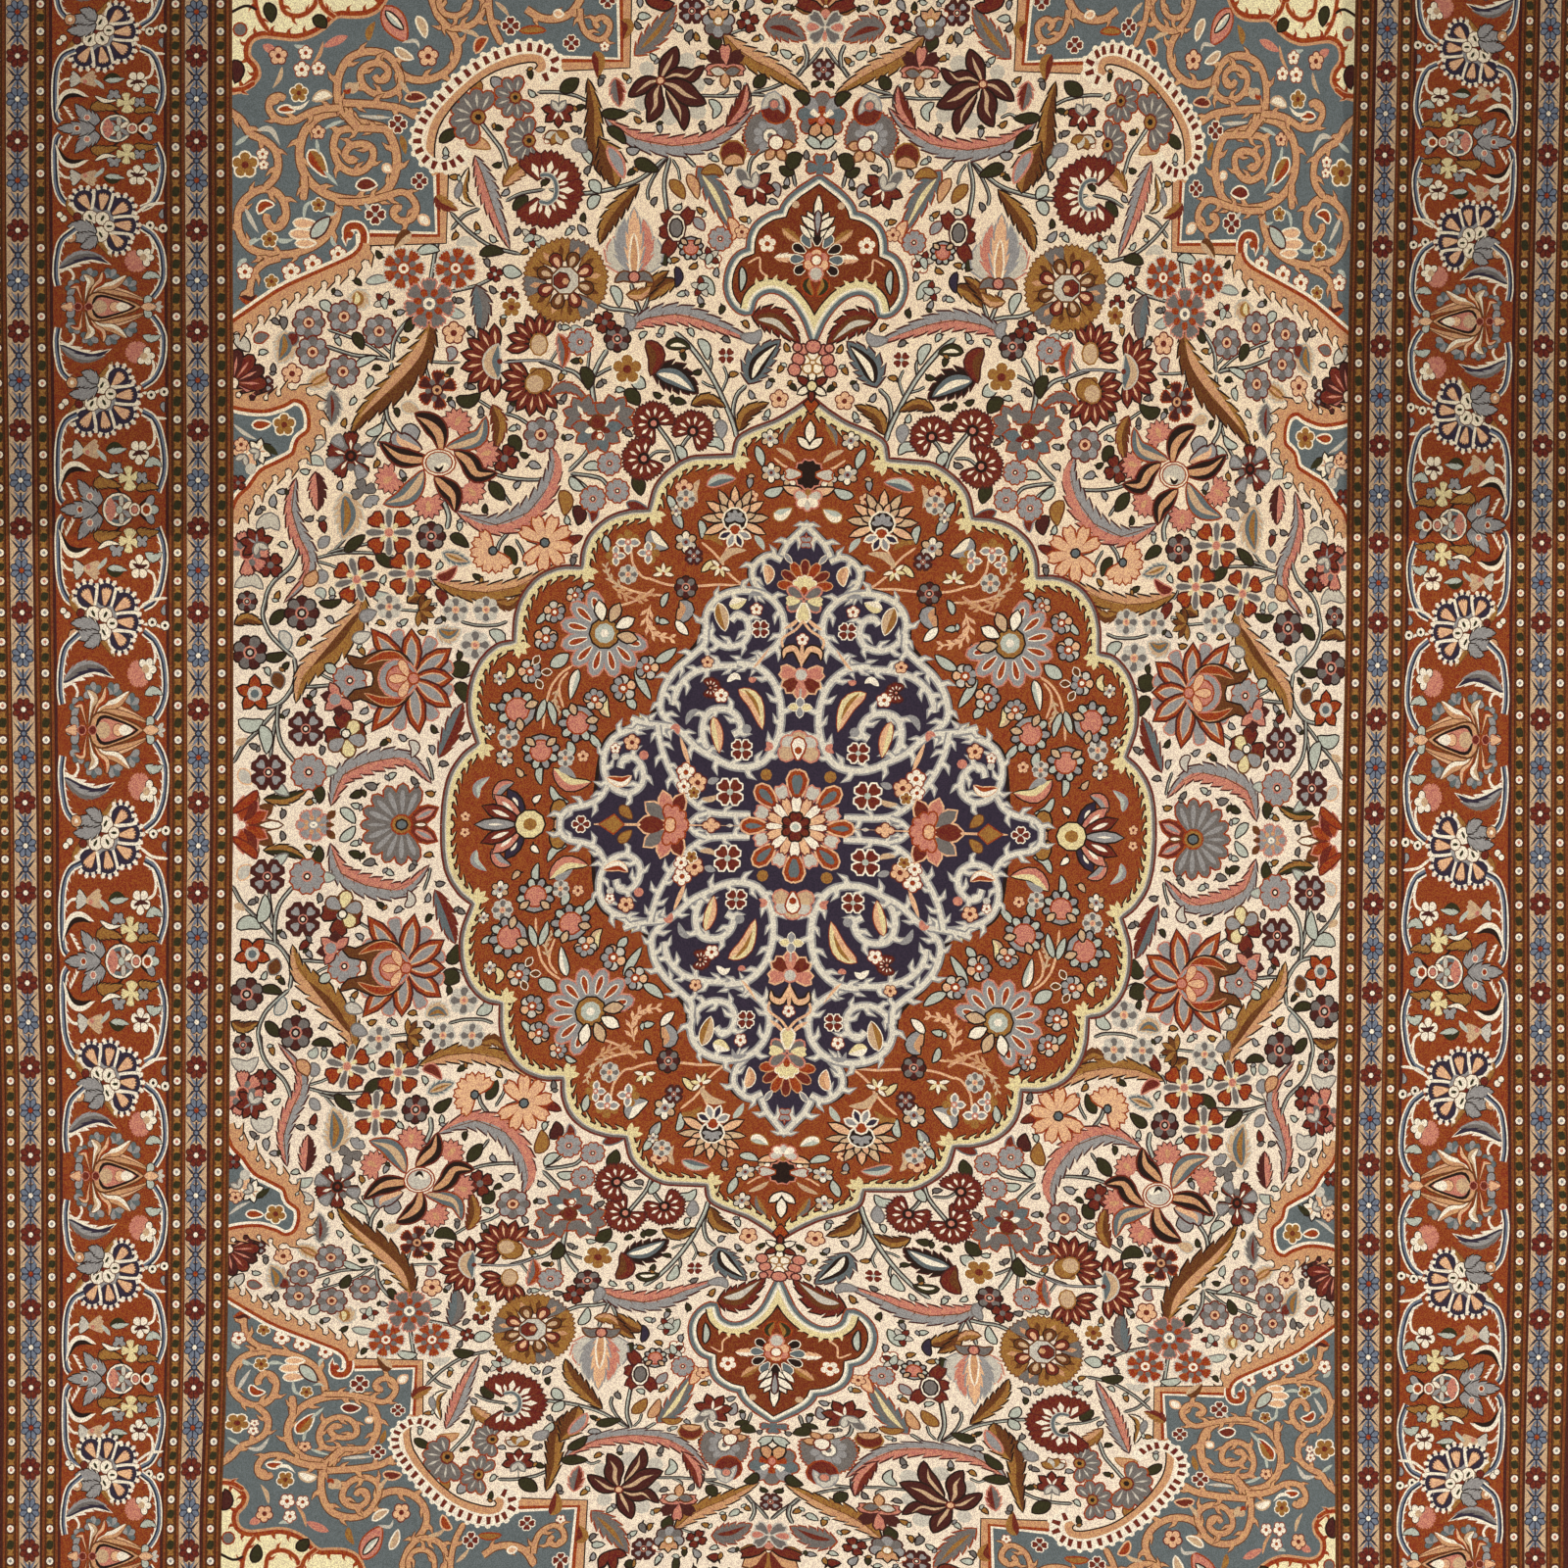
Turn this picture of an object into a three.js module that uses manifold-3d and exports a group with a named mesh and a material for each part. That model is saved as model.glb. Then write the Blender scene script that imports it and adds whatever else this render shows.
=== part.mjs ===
// A hand-knotted wool pile rug with a central medallion, laid flat on a floor.
// Millimetres, +Z up. The origin is the middle of the underside, +Y runs along the warps,
// and +X runs along the wefts.
//
// Pieces, in the order in which the real rug gets them:
//   pile_body        the knotted cloth: cotton warps and wefts with a clipped wool pile
//   selvedge_left    the left side cord, overcast with wool along the whole side
//   selvedge_right   the right side cord
//   end_band_top     the flat-woven end of the warps, with the warps knotted into a fringe
//   end_band_bottom  the same at the other end

import * as THREE from "three";
import { mergeVertices } from "three/addons/utils/BufferGeometryUtils.js";
import Module from "manifold-3d";

const wasm = await Module();
wasm.setup();

// The knot count sets the scale: 60 knots in each 70 mm, both ways.
const KNOT = 70 / 60;
const FIELD_HALF_WIDTH = 568 * KNOT;
const FIELD_HALF_LENGTH = 988 * KNOT;
const BORDER_WIDTH = 261 * KNOT;
const HALF_WIDTH = FIELD_HALF_WIDTH + BORDER_WIDTH;
const HALF_LENGTH = FIELD_HALF_LENGTH + BORDER_WIDTH;

// Pile and ground together, with the clipped pile rounded off at its edge.
const PILE_HEIGHT = 9;
const PILE_EDGE_ROUND = 2;

// A side cord is a flat bundle of warps, wound with wool.
const SELVEDGE_WIDTH = 9;
const SELVEDGE_HEIGHT = 7.5;
const SELVEDGE_ROUND = 2.6;

// The end band is plain cloth of the warps and wefts alone.
const BAND_WIDTH = 20;
const BAND_HEIGHT = 2.6;

// Each fringe strand is a bunch of warps with one knot near its root.
const STRANDS = 110;
const STRAND_LENGTH = 64;
const STRAND_HEIGHT = 3.2;
const STRAND_ROOT = 5;

// Neighbouring pieces keep this gap.
const GAP = 0.3;

// A loom never holds the edges dead straight: each side and each end wanders by a few millimetres.
const SIDE_WANDER = 2.4;
const END_WANDER = 1.8;
const SIDE_STEPS = 24;
const END_STEPS = 16;

const sideWander = (y) => SIDE_WANDER * Math.cos((2 * Math.PI * y) / (0.8 * HALF_LENGTH));
const endWander = (x) => END_WANDER * Math.cos((2 * Math.PI * x) / (0.9 * HALF_WIDTH));

const sideEdge = (y) => HALF_WIDTH - SIDE_WANDER + sideWander(y);
const endEdge = (x) => HALF_LENGTH - END_WANDER + endWander(x);

// Even steps from -half to +half.
const steps = (half, count) => Array.from({ length: count + 1 }, (_, i) => half * ((2 * i) / count - 1));

const wool = new THREE.MeshStandardMaterial({ color: 0x96503a, roughness: 0.95, metalness: 0 });
const overcast = new THREE.MeshStandardMaterial({ color: 0x5a3020, roughness: 0.95, metalness: 0 });
const cotton = new THREE.MeshStandardMaterial({ color: 0xdccfb4, roughness: 0.9, metalness: 0 });

// A flat piece: its outline in plan, raised from the floor to its height, with rounded edges.
function flatPiece(outline, height, round, roundSteps) {
  const shape = new THREE.Shape(outline.map(([x, y]) => new THREE.Vector2(x, y)));
  const geometry = new THREE.ExtrudeGeometry(shape, {
    depth: height - 2 * round,
    steps: 1,
    bevelEnabled: round > 0,
    bevelThickness: round,
    bevelSize: round,
    bevelOffset: -round,
    bevelSegments: roundSteps,
  });
  geometry.translate(0, 0, round);
  return geometry;
}

function pileBody() {
  const ends = steps(HALF_WIDTH - SIDE_WANDER, END_STEPS).slice(1, -1);
  const sides = steps(HALF_LENGTH - END_WANDER, SIDE_STEPS);
  const outline = [
    ...ends.map((x) => [x, -endEdge(x)]),
    ...sides.map((y) => [sideEdge(y), y]),
    ...[...ends].reverse().map((x) => [x, endEdge(x)]),
    ...[...sides].reverse().map((y) => [-sideEdge(y), y]),
  ];
  return flatPiece(outline, PILE_HEIGHT, PILE_EDGE_ROUND, 2);
}

// side is -1 for the left cord and 1 for the right one.
function selvedge(side) {
  const sides = steps(HALF_LENGTH - END_WANDER, SIDE_STEPS);
  const inner = sides.map((y) => [side * (sideEdge(y) + GAP), y]);
  const outer = sides.map((y) => [side * (sideEdge(y) + GAP + SELVEDGE_WIDTH), y]);
  return flatPiece([...inner, ...outer.reverse()], SELVEDGE_HEIGHT, SELVEDGE_ROUND, 3);
}

// One strand in plan, from its root inside the band to its tip, as half widths at distances
// along it. It swells at the knot and again where the warps spread below it.
const STRAND_PLAN = [
  { along: -STRAND_ROOT, half: 2.2 },
  { along: 8, half: 3.8 },
  { along: 14, half: 2.3 },
  { along: STRAND_LENGTH, half: 4.2 },
];

// Strands lie a little out of line, each by its own amount.
const strandSway = (i) => 2.6 * Math.sin(1.9 * i) + 1.4 * Math.sin(4.3 * i + 1);
const strandTrim = (i) => 3 * Math.sin(2.7 * i + 0.5);

function strand(i, x, root) {
  const point = ({ along, half }, side) => {
    const reach = Math.max(along, 0) / STRAND_LENGTH;
    const trimmed = along === STRAND_LENGTH ? along + strandTrim(i) : along;
    return [x + strandSway(i) * reach * reach + side * half, root + trimmed];
  };
  const outline = [
    ...STRAND_PLAN.map((row) => point(row, 1)),
    ...[...STRAND_PLAN].reverse().map((row) => point(row, -1)),
  ];
  return flatPiece(outline, STRAND_HEIGHT, 0, 0);
}

function toSolid(geometry) {
  const bare = geometry.clone();
  bare.deleteAttribute("normal");
  bare.deleteAttribute("uv");
  const merged = mergeVertices(bare, 1e-4);
  return new wasm.Manifold(
    new wasm.Mesh({
      numProp: 3,
      vertProperties: Float32Array.from(merged.attributes.position.array),
      triVerts: Uint32Array.from(merged.index.array),
    }),
  );
}

function toGeometry(solid) {
  const mesh = solid.getMesh();
  const geometry = new THREE.BufferGeometry();
  geometry.setAttribute("position", new THREE.BufferAttribute(mesh.vertProperties, 3));
  geometry.setIndex(new THREE.BufferAttribute(mesh.triVerts, 1));
  geometry.computeVertexNormals();
  return geometry;
}

// The band with its strands, at the +Y end.
function fringedBand() {
  const half = HALF_WIDTH - SIDE_WANDER;
  const ends = steps(half, END_STEPS);
  const inner = ends.map((x) => [x, endEdge(x) + GAP]);
  const outer = ends.map((x) => [x, endEdge(x) + GAP + BAND_WIDTH]);
  let solid = toSolid(flatPiece([...inner, ...outer.reverse()], BAND_HEIGHT, 0, 0));
  const pitch = (2 * half) / STRANDS;
  for (let i = 0; i < STRANDS; i += 1) {
    const x = -half + (i + 0.5) * pitch;
    solid = solid.add(toSolid(strand(i, x, endEdge(x) + GAP + BAND_WIDTH)));
  }
  return toGeometry(solid);
}

function piece(name, geometry, material) {
  const mesh = new THREE.Mesh(geometry, material);
  mesh.name = name;
  return mesh;
}

const rug = new THREE.Group();
rug.add(piece("pile_body", pileBody(), wool));
rug.add(piece("selvedge_left", selvedge(-1), overcast));
rug.add(piece("selvedge_right", selvedge(1), overcast));

const band = fringedBand();
rug.add(piece("end_band_top", band, cotton));

// The bottom band is the top one turned half round.
const bottomBand = piece("end_band_bottom", band, cotton);
bottomBand.rotation.z = Math.PI;
rug.add(bottomBand);

export default rug;
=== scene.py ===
import math
import bpy
import numpy as np
from mathutils.geometry import delaunay_2d_cdt
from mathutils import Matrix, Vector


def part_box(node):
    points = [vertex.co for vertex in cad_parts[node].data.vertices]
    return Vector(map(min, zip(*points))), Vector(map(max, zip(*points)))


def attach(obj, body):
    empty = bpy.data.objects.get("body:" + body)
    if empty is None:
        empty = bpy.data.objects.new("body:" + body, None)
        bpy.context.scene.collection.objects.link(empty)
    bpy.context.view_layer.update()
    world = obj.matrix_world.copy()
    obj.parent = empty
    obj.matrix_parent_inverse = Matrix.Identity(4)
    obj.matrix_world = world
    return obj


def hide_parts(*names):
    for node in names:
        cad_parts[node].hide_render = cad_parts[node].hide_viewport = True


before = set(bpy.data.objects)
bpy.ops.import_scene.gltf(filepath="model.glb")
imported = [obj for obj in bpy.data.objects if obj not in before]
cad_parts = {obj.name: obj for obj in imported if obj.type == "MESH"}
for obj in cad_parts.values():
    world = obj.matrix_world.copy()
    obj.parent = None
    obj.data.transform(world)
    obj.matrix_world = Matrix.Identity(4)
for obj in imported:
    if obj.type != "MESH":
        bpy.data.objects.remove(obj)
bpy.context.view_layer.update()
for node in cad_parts.values():
    node.select_set(False)


# Ground cloth. Cotton warps and wefts that carry the knots, beaten into a firm slab as thick as the
# pile. Its edge is the cut side of the outermost band of pile, dark brown, with rounded corners. The
# underside is the back of the rug. It lies flat on the floor, and its sides wander a little.
MM = 0.001
KNOT = 7.0 / 6.0 * MM
HALF_WIDTH = 829 * KNOT
HALF_LENGTH = 1249 * KNOT
PILE_TOP = 9.0 * MM
PILE_EDGE_ROUND = 2.0 * MM
GROUND_DROP = 0.2 * MM
SIDE_WANDER = 2.4 * MM
END_WANDER = 1.8 * MM


def side_edge(y):
    return HALF_WIDTH - SIDE_WANDER + SIDE_WANDER * np.cos(math.tau * y / (0.8 * HALF_LENGTH))


def end_edge(x):
    return HALF_LENGTH - END_WANDER + END_WANDER * np.cos(math.tau * x / (0.9 * HALF_WIDTH))


def dye(red, green, blue):
    """A yarn's colour as the shader wants it, from its 0 to 255 values."""
    return tuple(((v / 255 + 0.055) / 1.055) ** 2.4 if v > 10 else v / 255 / 12.92
        for v in (red, green, blue)) + (1.0,)


def socket(group, name, kind, side, value=None):
    made = group.interface.new_socket(name=name, in_out=side, socket_type=kind)
    if value is not None:
        made.default_value = value


def node_of(tree, kind, links=(), **settings):
    """A node with its settings; links are (input, the socket or value that it gets)."""
    made = tree.nodes.new(kind)
    for key, value in settings.items():
        setattr(made, key, value)
    for key, value in links:
        if isinstance(value, bpy.types.NodeSocket):
            tree.links.new(value, made.inputs[key])
        else:
            made.inputs[key].default_value = value
    return made


def maths(tree, operation, *values):
    return node_of(tree, "ShaderNodeMath", tuple(enumerate(values)), operation=operation).outputs[0]


def weave_group(name, settings):
    """A node group for a kind of cloth: the group, what it is given, and the place on the piece."""
    group = bpy.data.node_groups.new(name, "ShaderNodeTree")
    socket(group, "Yarn", "NodeSocketColor", "INPUT", (0.5, 0.5, 0.5, 1.0))
    for setting, value in settings:
        socket(group, setting, "NodeSocketFloat", "INPUT", value)
    socket(group, "Color", "NodeSocketColor", "OUTPUT")
    socket(group, "Roughness", "NodeSocketFloat", "OUTPUT")
    socket(group, "Height", "NodeSocketFloat", "OUTPUT")
    return group, group.nodes.new("NodeGroupInput"), group.nodes.new("ShaderNodeTexCoord").outputs["Object"]


def hand_out(group, color, rough, height):
    handed = group.nodes.new("NodeGroupOutput")
    for name, value in (("Color", color), ("Roughness", rough), ("Height", height)):
        group.links.new(value, handed.inputs[name])


def share_of(tree, value, whole):
    """How far a value is along a whole, from 0 to 1."""
    return node_of(tree, "ShaderNodeMath", ((0, value), (1, whole)), operation="DIVIDE",
        use_clamp=True).outputs[0]


LOT_ROW = 293 * KNOT
PALE_ROW = 240 * KNOT
FIELD_WIDE = 568 * KNOT
FIELD_LONG = 988 * KNOT
FLEECE_SCALE = 160.0
STREAK_SCALE = (0.7, 17.0, 0.0)
YARN_LEVEL = 0.93
TUFT_PAINTED_SHADE = 0.12
CLOUDINESS = 0.35
HUE_SPREAD = 0.035
WASHED_OUT = 0.18
ROW_WAVER = 6 * KNOT
LOT_BLEND = 3 * KNOT
WASH_BLEND = 40 * KNOT

# The knots of the pile: one tuft of cut wool in each square of the cloth, no two alike. Each tuft is
# painted lighter in its middle and darker towards its rim: painted shade between the tufts.
knots, given, place = weave_group("hand_knotted_wool", (
    ("Knot Size", KNOT), ("Uneven Dye", 0.3), ("Abrash", 0.1), ("Dye Lot", 0.0), ("Bleached", 0.0)))
per_metre = maths(knots, "DIVIDE", 1.0, given.outputs["Knot Size"])
counted = node_of(knots, "ShaderNodeVectorMath", ((0, place), ("Scale", per_metre)),
    operation="SCALE").outputs[0]
cell = node_of(knots, "ShaderNodeVectorMath", ((0, counted),), operation="FLOOR").outputs[0]
flat_cell = node_of(knots, "ShaderNodeVectorMath", ((0, cell), (1, (1.0, 1.0, 0.0))),
    operation="MULTIPLY").outputs[0]
tuft = node_of(knots, "ShaderNodeTexWhiteNoise", (("Vector", flat_cell),), noise_dimensions="2D")
split = node_of(knots, "ShaderNodeSeparateXYZ", ((0, counted),))
waves = [maths(knots, "SINE", maths(knots, "MULTIPLY", split.outputs[k], math.pi)) for k in (0, 1)]
bumps = [maths(knots, "ABSOLUTE", wave) for wave in waves]
pillow = maths(knots, "POWER", maths(knots, "MULTIPLY", *bumps), 0.5)
fleece = node_of(knots, "ShaderNodeTexNoise",
    (("Vector", place), ("Scale", FLEECE_SCALE), ("Detail", 4.0))).outputs["Fac"]
streaks = node_of(knots, "ShaderNodeVectorMath", ((0, place), (1, STREAK_SCALE)),
    operation="MULTIPLY").outputs[0]
abrash = node_of(knots, "ShaderNodeTexNoise",
    (("Vector", streaks), ("Scale", 1.0), ("Detail", 2.0))).outputs["Fac"]
uneven = maths(knots, "MULTIPLY", maths(knots, "SUBTRACT", tuft.outputs["Value"], 0.5),
    given.outputs["Uneven Dye"])
cloudiness = maths(knots, "MULTIPLY", CLOUDINESS, given.outputs["Uneven Dye"])
cloudy = maths(knots, "MULTIPLY", maths(knots, "SUBTRACT", fleece, 0.5), cloudiness)
banded = maths(knots, "MULTIPLY", maths(knots, "SUBTRACT", abrash, 0.5), given.outputs["Abrash"])
level = maths(knots, "ADD", YARN_LEVEL, maths(knots, "ADD", uneven, maths(knots, "ADD", cloudy, banded)))
# painted shade: each knot's colour is lifted in its middle and falls off to its rim, where neighbouring
# tufts shade each other
level = maths(knots, "ADD", level, maths(knots, "MULTIPLY", pillow, TUFT_PAINTED_SHADE))
# From one row of the borders on, the weaver knotted with a darker lot of wool.
spot = node_of(knots, "ShaderNodeSeparateXYZ", ((0, place),))
wavering = maths(knots, "ADD", spot.outputs[1], maths(knots, "MULTIPLY", fleece, ROW_WAVER))
past_row = maths(knots, "SUBTRACT", wavering, LOT_ROW)
past_field_side = maths(knots, "SUBTRACT", maths(knots, "ABSOLUTE", spot.outputs[0]), FIELD_WIDE)
past_field_end = maths(knots, "SUBTRACT", spot.outputs[1], FIELD_LONG)
past_side = maths(knots, "MAXIMUM", past_field_side, past_field_end)
shares = [share_of(knots, past, LOT_BLEND) for past in (past_row, past_side)]
darker = maths(knots, "MULTIPLY", maths(knots, "MULTIPLY", *shares), given.outputs["Dye Lot"])
level = maths(knots, "MULTIPLY", level, maths(knots, "SUBTRACT", 1.0, darker))
off_hue = maths(knots, "MULTIPLY", maths(knots, "SUBTRACT", tuft.outputs["Value"], 0.5), HUE_SPREAD)
warm = maths(knots, "ADD", 0.5, off_hue)
# Below another row the pale wool is whiter, where it was washed for longer.
paler = share_of(knots, maths(knots, "SUBTRACT", PALE_ROW, wavering), WASH_BLEND)
washed = maths(knots, "MULTIPLY", maths(knots, "MULTIPLY", paler, given.outputs["Bleached"]), WASHED_OUT)
fuller = maths(knots, "SUBTRACT", 1.01, washed)
toned = node_of(knots, "ShaderNodeHueSaturation", (
    ("Hue", warm), ("Saturation", fuller), ("Value", level), ("Color", given.outputs["Yarn"])))
height = maths(knots, "ADD", maths(knots, "MULTIPLY", pillow, 0.6),
    maths(knots, "MULTIPLY", tuft.outputs["Value"], 0.4))
rough = maths(knots, "ADD", 0.82, maths(knots, "MULTIPLY", fleece, 0.15))
hand_out(knots, toned.outputs[0], rough, height)


def cloth_material(name, group, settings, relief, sheen=0.0):
    """A yarn's material: the group gives colour, roughness and height, the shader stays here."""
    made = bpy.data.materials.new(name)
    made.use_nodes = True
    tree = made.node_tree
    shader = tree.nodes["Principled BSDF"]
    weave = node_of(tree, "ShaderNodeGroup", tuple(settings.items()), node_tree=group)
    bump = node_of(tree, "ShaderNodeBump",
        (("Distance", relief), ("Strength", 1.0), ("Height", weave.outputs["Height"])))
    tree.links.new(weave.outputs["Color"], shader.inputs["Base Color"])
    tree.links.new(weave.outputs["Roughness"], shader.inputs["Roughness"])
    tree.links.new(bump.outputs[0], shader.inputs["Normal"])
    shader.inputs["Specular IOR Level"].default_value = 0.06
    shader.inputs["Sheen Weight"].default_value = sheen
    shader.inputs["Sheen Roughness"].default_value = 0.6
    return made


def new_piece(name, points, faces):
    mesh = bpy.data.meshes.new(name)
    mesh.from_pydata(points, [], faces)
    mesh.validate()
    made = bpy.data.objects.new(name, mesh)
    bpy.context.collection.objects.link(made)
    return made


CLOTH_SQUARES = (44, 66)
bpy.ops.mesh.primitive_grid_add(x_subdivisions=CLOTH_SQUARES[0], y_subdivisions=CLOTH_SQUARES[1], size=1.0,
                                location=(0.0, 0.0, 0.0))
ground = bpy.context.object
ground.name = ground.data.name = "ground_cloth"
for corner in ground.data.vertices:
    x, y = corner.co.x * 2, corner.co.y * 2
    corner.co = (x * side_edge(y * HALF_LENGTH), y * end_edge(x * HALF_WIDTH), 0.0)
bpy.ops.object.mode_set(mode="EDIT")
bpy.ops.mesh.select_all(action="SELECT")
bpy.ops.mesh.extrude_region_move(TRANSFORM_OT_translate={"value": (0.0, 0.0, PILE_TOP - GROUND_DROP)})
bpy.ops.mesh.select_all(action="SELECT")
bpy.ops.mesh.normals_make_consistent(inside=False)
bpy.ops.mesh.select_all(action="DESELECT")
bpy.ops.mesh.select_mode(type="EDGE")
bpy.ops.object.mode_set(mode="OBJECT")
rims = {}
for face in ground.data.polygons:
    for key in face.edge_keys:
        rims.setdefault(key, []).append(abs(face.normal.z) > 0.5)
for edge in ground.data.edges:
    edge.select = sorted(rims[edge.key]) == [False, True]
bpy.ops.object.mode_set(mode="EDIT")
bpy.ops.mesh.bevel(offset=PILE_EDGE_ROUND, segments=3)
bpy.ops.object.mode_set(mode="OBJECT")
bpy.ops.object.shade_smooth_by_angle(angle=math.radians(50))
back_wool = {"Yarn": dye(150, 112, 82), "Knot Size": KNOT, "Uneven Dye": 0.5, "Abrash": 0.2}
cut_wool = {"Yarn": dye(58, 30, 18), "Knot Size": KNOT, "Uneven Dye": 0.4, "Abrash": 0.1}
ground.data.materials.append(cloth_material("cut_side_of_pile", knots, cut_wool, 0.5 * MM, 0.2))
ground.data.materials.append(cloth_material("back_of_rug", knots, back_wool, 0.4 * MM))
for face in ground.data.polygons:
    face.material_index = 1 if face.normal.z < -0.5 else 0
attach(ground, "root")
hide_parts("pile_body")


# The wool and the cartoon. The pile is knotted from plant-dyed wool in some thirty colours, after a
# cartoon of one quarter of the rug, squared so that each square is a knot. The cartoon's numbers are
# its squares, across from the left and down.
YARNS = {
    "ivory": (236, 211, 180), "ecru": (218, 205, 180), "cream": (240, 222, 192), "straw": (222, 202, 150),
    "lemon": (236, 220, 174), "peach": (222, 172, 132), "tan": (199, 146, 105), "sand": (198, 163, 127),
    "ochre": (152, 104, 52), "brown": (102, 58, 30), "guard": (74, 41, 20), "sienna": (124, 64, 34),
    "rust": (150, 62, 30), "madder": (140, 67, 34), "russet": (120, 55, 29), "brick": (140, 64, 32),
    "dark_red": (108, 42, 30), "plum": (74, 34, 29), "salmon": (196, 124, 104), "navy": (52, 43, 57),
    "steel": (98, 105, 105), "blue": (111, 118, 131), "indigo": (46, 46, 59),
    "pale_blue": (180, 182, 166), "silver": (147, 142, 138), "slate": (112, 104, 98),
    "mist": (196, 184, 164), "green": (52, 48, 26), "black": (40, 26, 20),
}
cartoon = []
LINE = 1.9


def lay(points, yarn):
    cartoon.append((points, yarn))


def turned(shape, across, down, turn=0.0, size=1.0):
    c, s = math.cos(math.radians(turn)), math.sin(math.radians(turn))
    return [(across + size * (a * c - b * s), down - size * (a * s + b * c)) for a, b in shape]


def grown(points, by):
    """The same patch with its edge moved out, for the line round it."""
    count = len(points)
    area = sum(points[i - 1][0] * points[i][1] - points[i][0] * points[i - 1][1] for i in range(count))
    by = by if area > 0 else -by
    out = []
    for i in range(count):
        (ax, ay), (x, y), (bx, by_) = points[i - 1], points[i], points[(i + 1) % count]
        tx, ty = bx - ax, by_ - ay
        long = math.hypot(tx, ty) or 1.0
        out.append((x + by * ty / long, y - by * tx / long))
    return out


def patch(points, yarn, line=None, edge=LINE):
    if line:
        lay(grown(points, edge), line)
    lay(points, yarn)


def smooth(points, steps=4, closed=False):
    """A flowing line through the points (Catmull-Rom)."""
    count = len(points)
    if count < 3 and not closed:
        return list(points)
    out = []
    for i in range(count if closed else count - 1):
        if closed:
            a, b, c, d = (points[(i + k) % count] for k in (-1, 0, 1, 2))
        else:
            # painted shade: each turn of the wool is lighter on its crown and darker in the groove between
            # turns; the random level per turn is the wool's own tone
            a, b, c, d = points[max(i - 1, 0)], points[i], points[i + 1], points[min(i + 2, count - 1)]
        for k in range(steps):
            t = k / steps
            out.append(tuple(0.5 * (2 * q + (r - p) * t + (2 * p - 5 * q + 4 * r - s) * t * t
                                    + (3 * q - p - 3 * r + s) * t ** 3) for p, q, r, s in zip(a, b, c, d)))
    if not closed:
        out.append(points[-1])
    return out


def disc(across, down, radius, yarn, line=None, corners=10, tall=1.0, turn=0.0, edge=LINE):
    ring = [(radius * math.cos(math.tau * k / corners), radius * tall * math.sin(math.tau * k / corners))
            for k in range(corners)]
    patch(turned(ring, across, down, turn), yarn, line, edge)


def sides_of(path, half_widths):
    """The left and right edges of a band along a path."""
    left, right = [], []
    last = len(path) - 1
    for i, (x, y) in enumerate(path):
        (ax, ay), (bx, by) = path[max(i - 1, 0)], path[min(i + 1, last)]
        long = math.hypot(bx - ax, by - ay) or 1.0
        nx, ny = (by - ay) / long, -(bx - ax) / long
        w = half_widths[i]
        left.append((x + nx * w, y + ny * w))
        right.append((x - nx * w, y - ny * w))
    return left, right


def vine(points, wide, yarn, core=None, steps=4, taper=0.35):
    """A stem: a band of even width, thinner at both ends, with a lighter thread inside."""
    path = smooth(points, steps)
    last = len(path) - 1
    widths = [0.5 * wide * (taper if i in (0, last) else 1.0) for i in range(last + 1)]
    left, right = sides_of(path, widths)
    lay(left + right[::-1], yarn)
    if core:
        left, right = sides_of(path, [w * 0.42 for w in widths])
        lay(left + right[::-1], core)


# A barb on a leaf's edge: how far along its own step, and how far out, for each of its points.
BARB = ((0.0, 0.74), (0.45, 0.98), (1.25, 1.26))


def at(path, share):
    """A point of a path by its share of the way, and the direction there."""
    spot = min(max(share, 0.0), 0.9999) * (len(path) - 1)
    i = int(spot)
    (ax, ay), (bx, by) = path[i], path[i + 1]
    long = math.hypot(bx - ax, by - ay) or 1.0
    return (ax + (bx - ax) * (spot - i), ay + (by - ay) * (spot - i)), ((bx - ax) / long, (by - ay) / long)


def leaf(points, wide, yarn, shade=None, line="black", teeth=0, fat=0.45, steps=4, edge=LINE, both=True,
        vein=None):
    """A leaf along its midrib; shade is the yarn of its right half. Teeth are barbs that point to
    the tip, and a vein is a thin line of another yarn inside, with a stroke to each barb."""
    if len(points) == 2:
        (ax, ay), (bx, by) = points
        points = [points[0], ((ax + bx) / 2, (ay + by) / 2), points[1]]
    path = smooth(points, steps)
    last = len(path) - 1

    def half_width(share):
        return 0.5 * wide * max(math.sin(math.pi * share ** (math.log(0.5) / math.log(fat))), 0.0)

    left, right = sides_of(path, [half_width(i / last) for i in range(last + 1)])
    if teeth:
        rows = [(min((k + lead) / teeth, 1.0), reach) for k in range(teeth) for lead, reach in BARB]
        for side, out in ((1, left), (-1, right)):
            if side > 0 and not both:
                continue
            del out[1:-1]
            for share, reach in rows[1:-1]:
                (x, y), (tx, ty) = at(path, share)
                w = side * reach * half_width(share)
                out.insert(-1, (x + ty * w, y - tx * w))
    patch(left + right[::-1][1:-1], yarn, line, edge)
    if shade:
        lay(path + right[::-1][1:-1], shade)
    if vein:
        spine = [at(path, share)[0] for share in (0.06, 0.25, 0.45, 0.65, 0.85)]
        thread, other = sides_of(spine, (0.4, 0.55, 0.5, 0.4, 0.2))
        lay(thread + other[::-1], vein)
        for k in range(1, teeth):
            (x, y), (tx, ty) = at(path, k / teeth)
            w = 0.5 * half_width(k / teeth)
            for side in (1, -1):
                lay([(x - 0.6 * tx, y - 0.6 * ty), (x + 0.6 * tx, y + 0.6 * ty),
                    (x + 0.9 * w * tx + side * ty * w, y + 0.9 * w * ty - side * tx * w)], vein)


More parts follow.
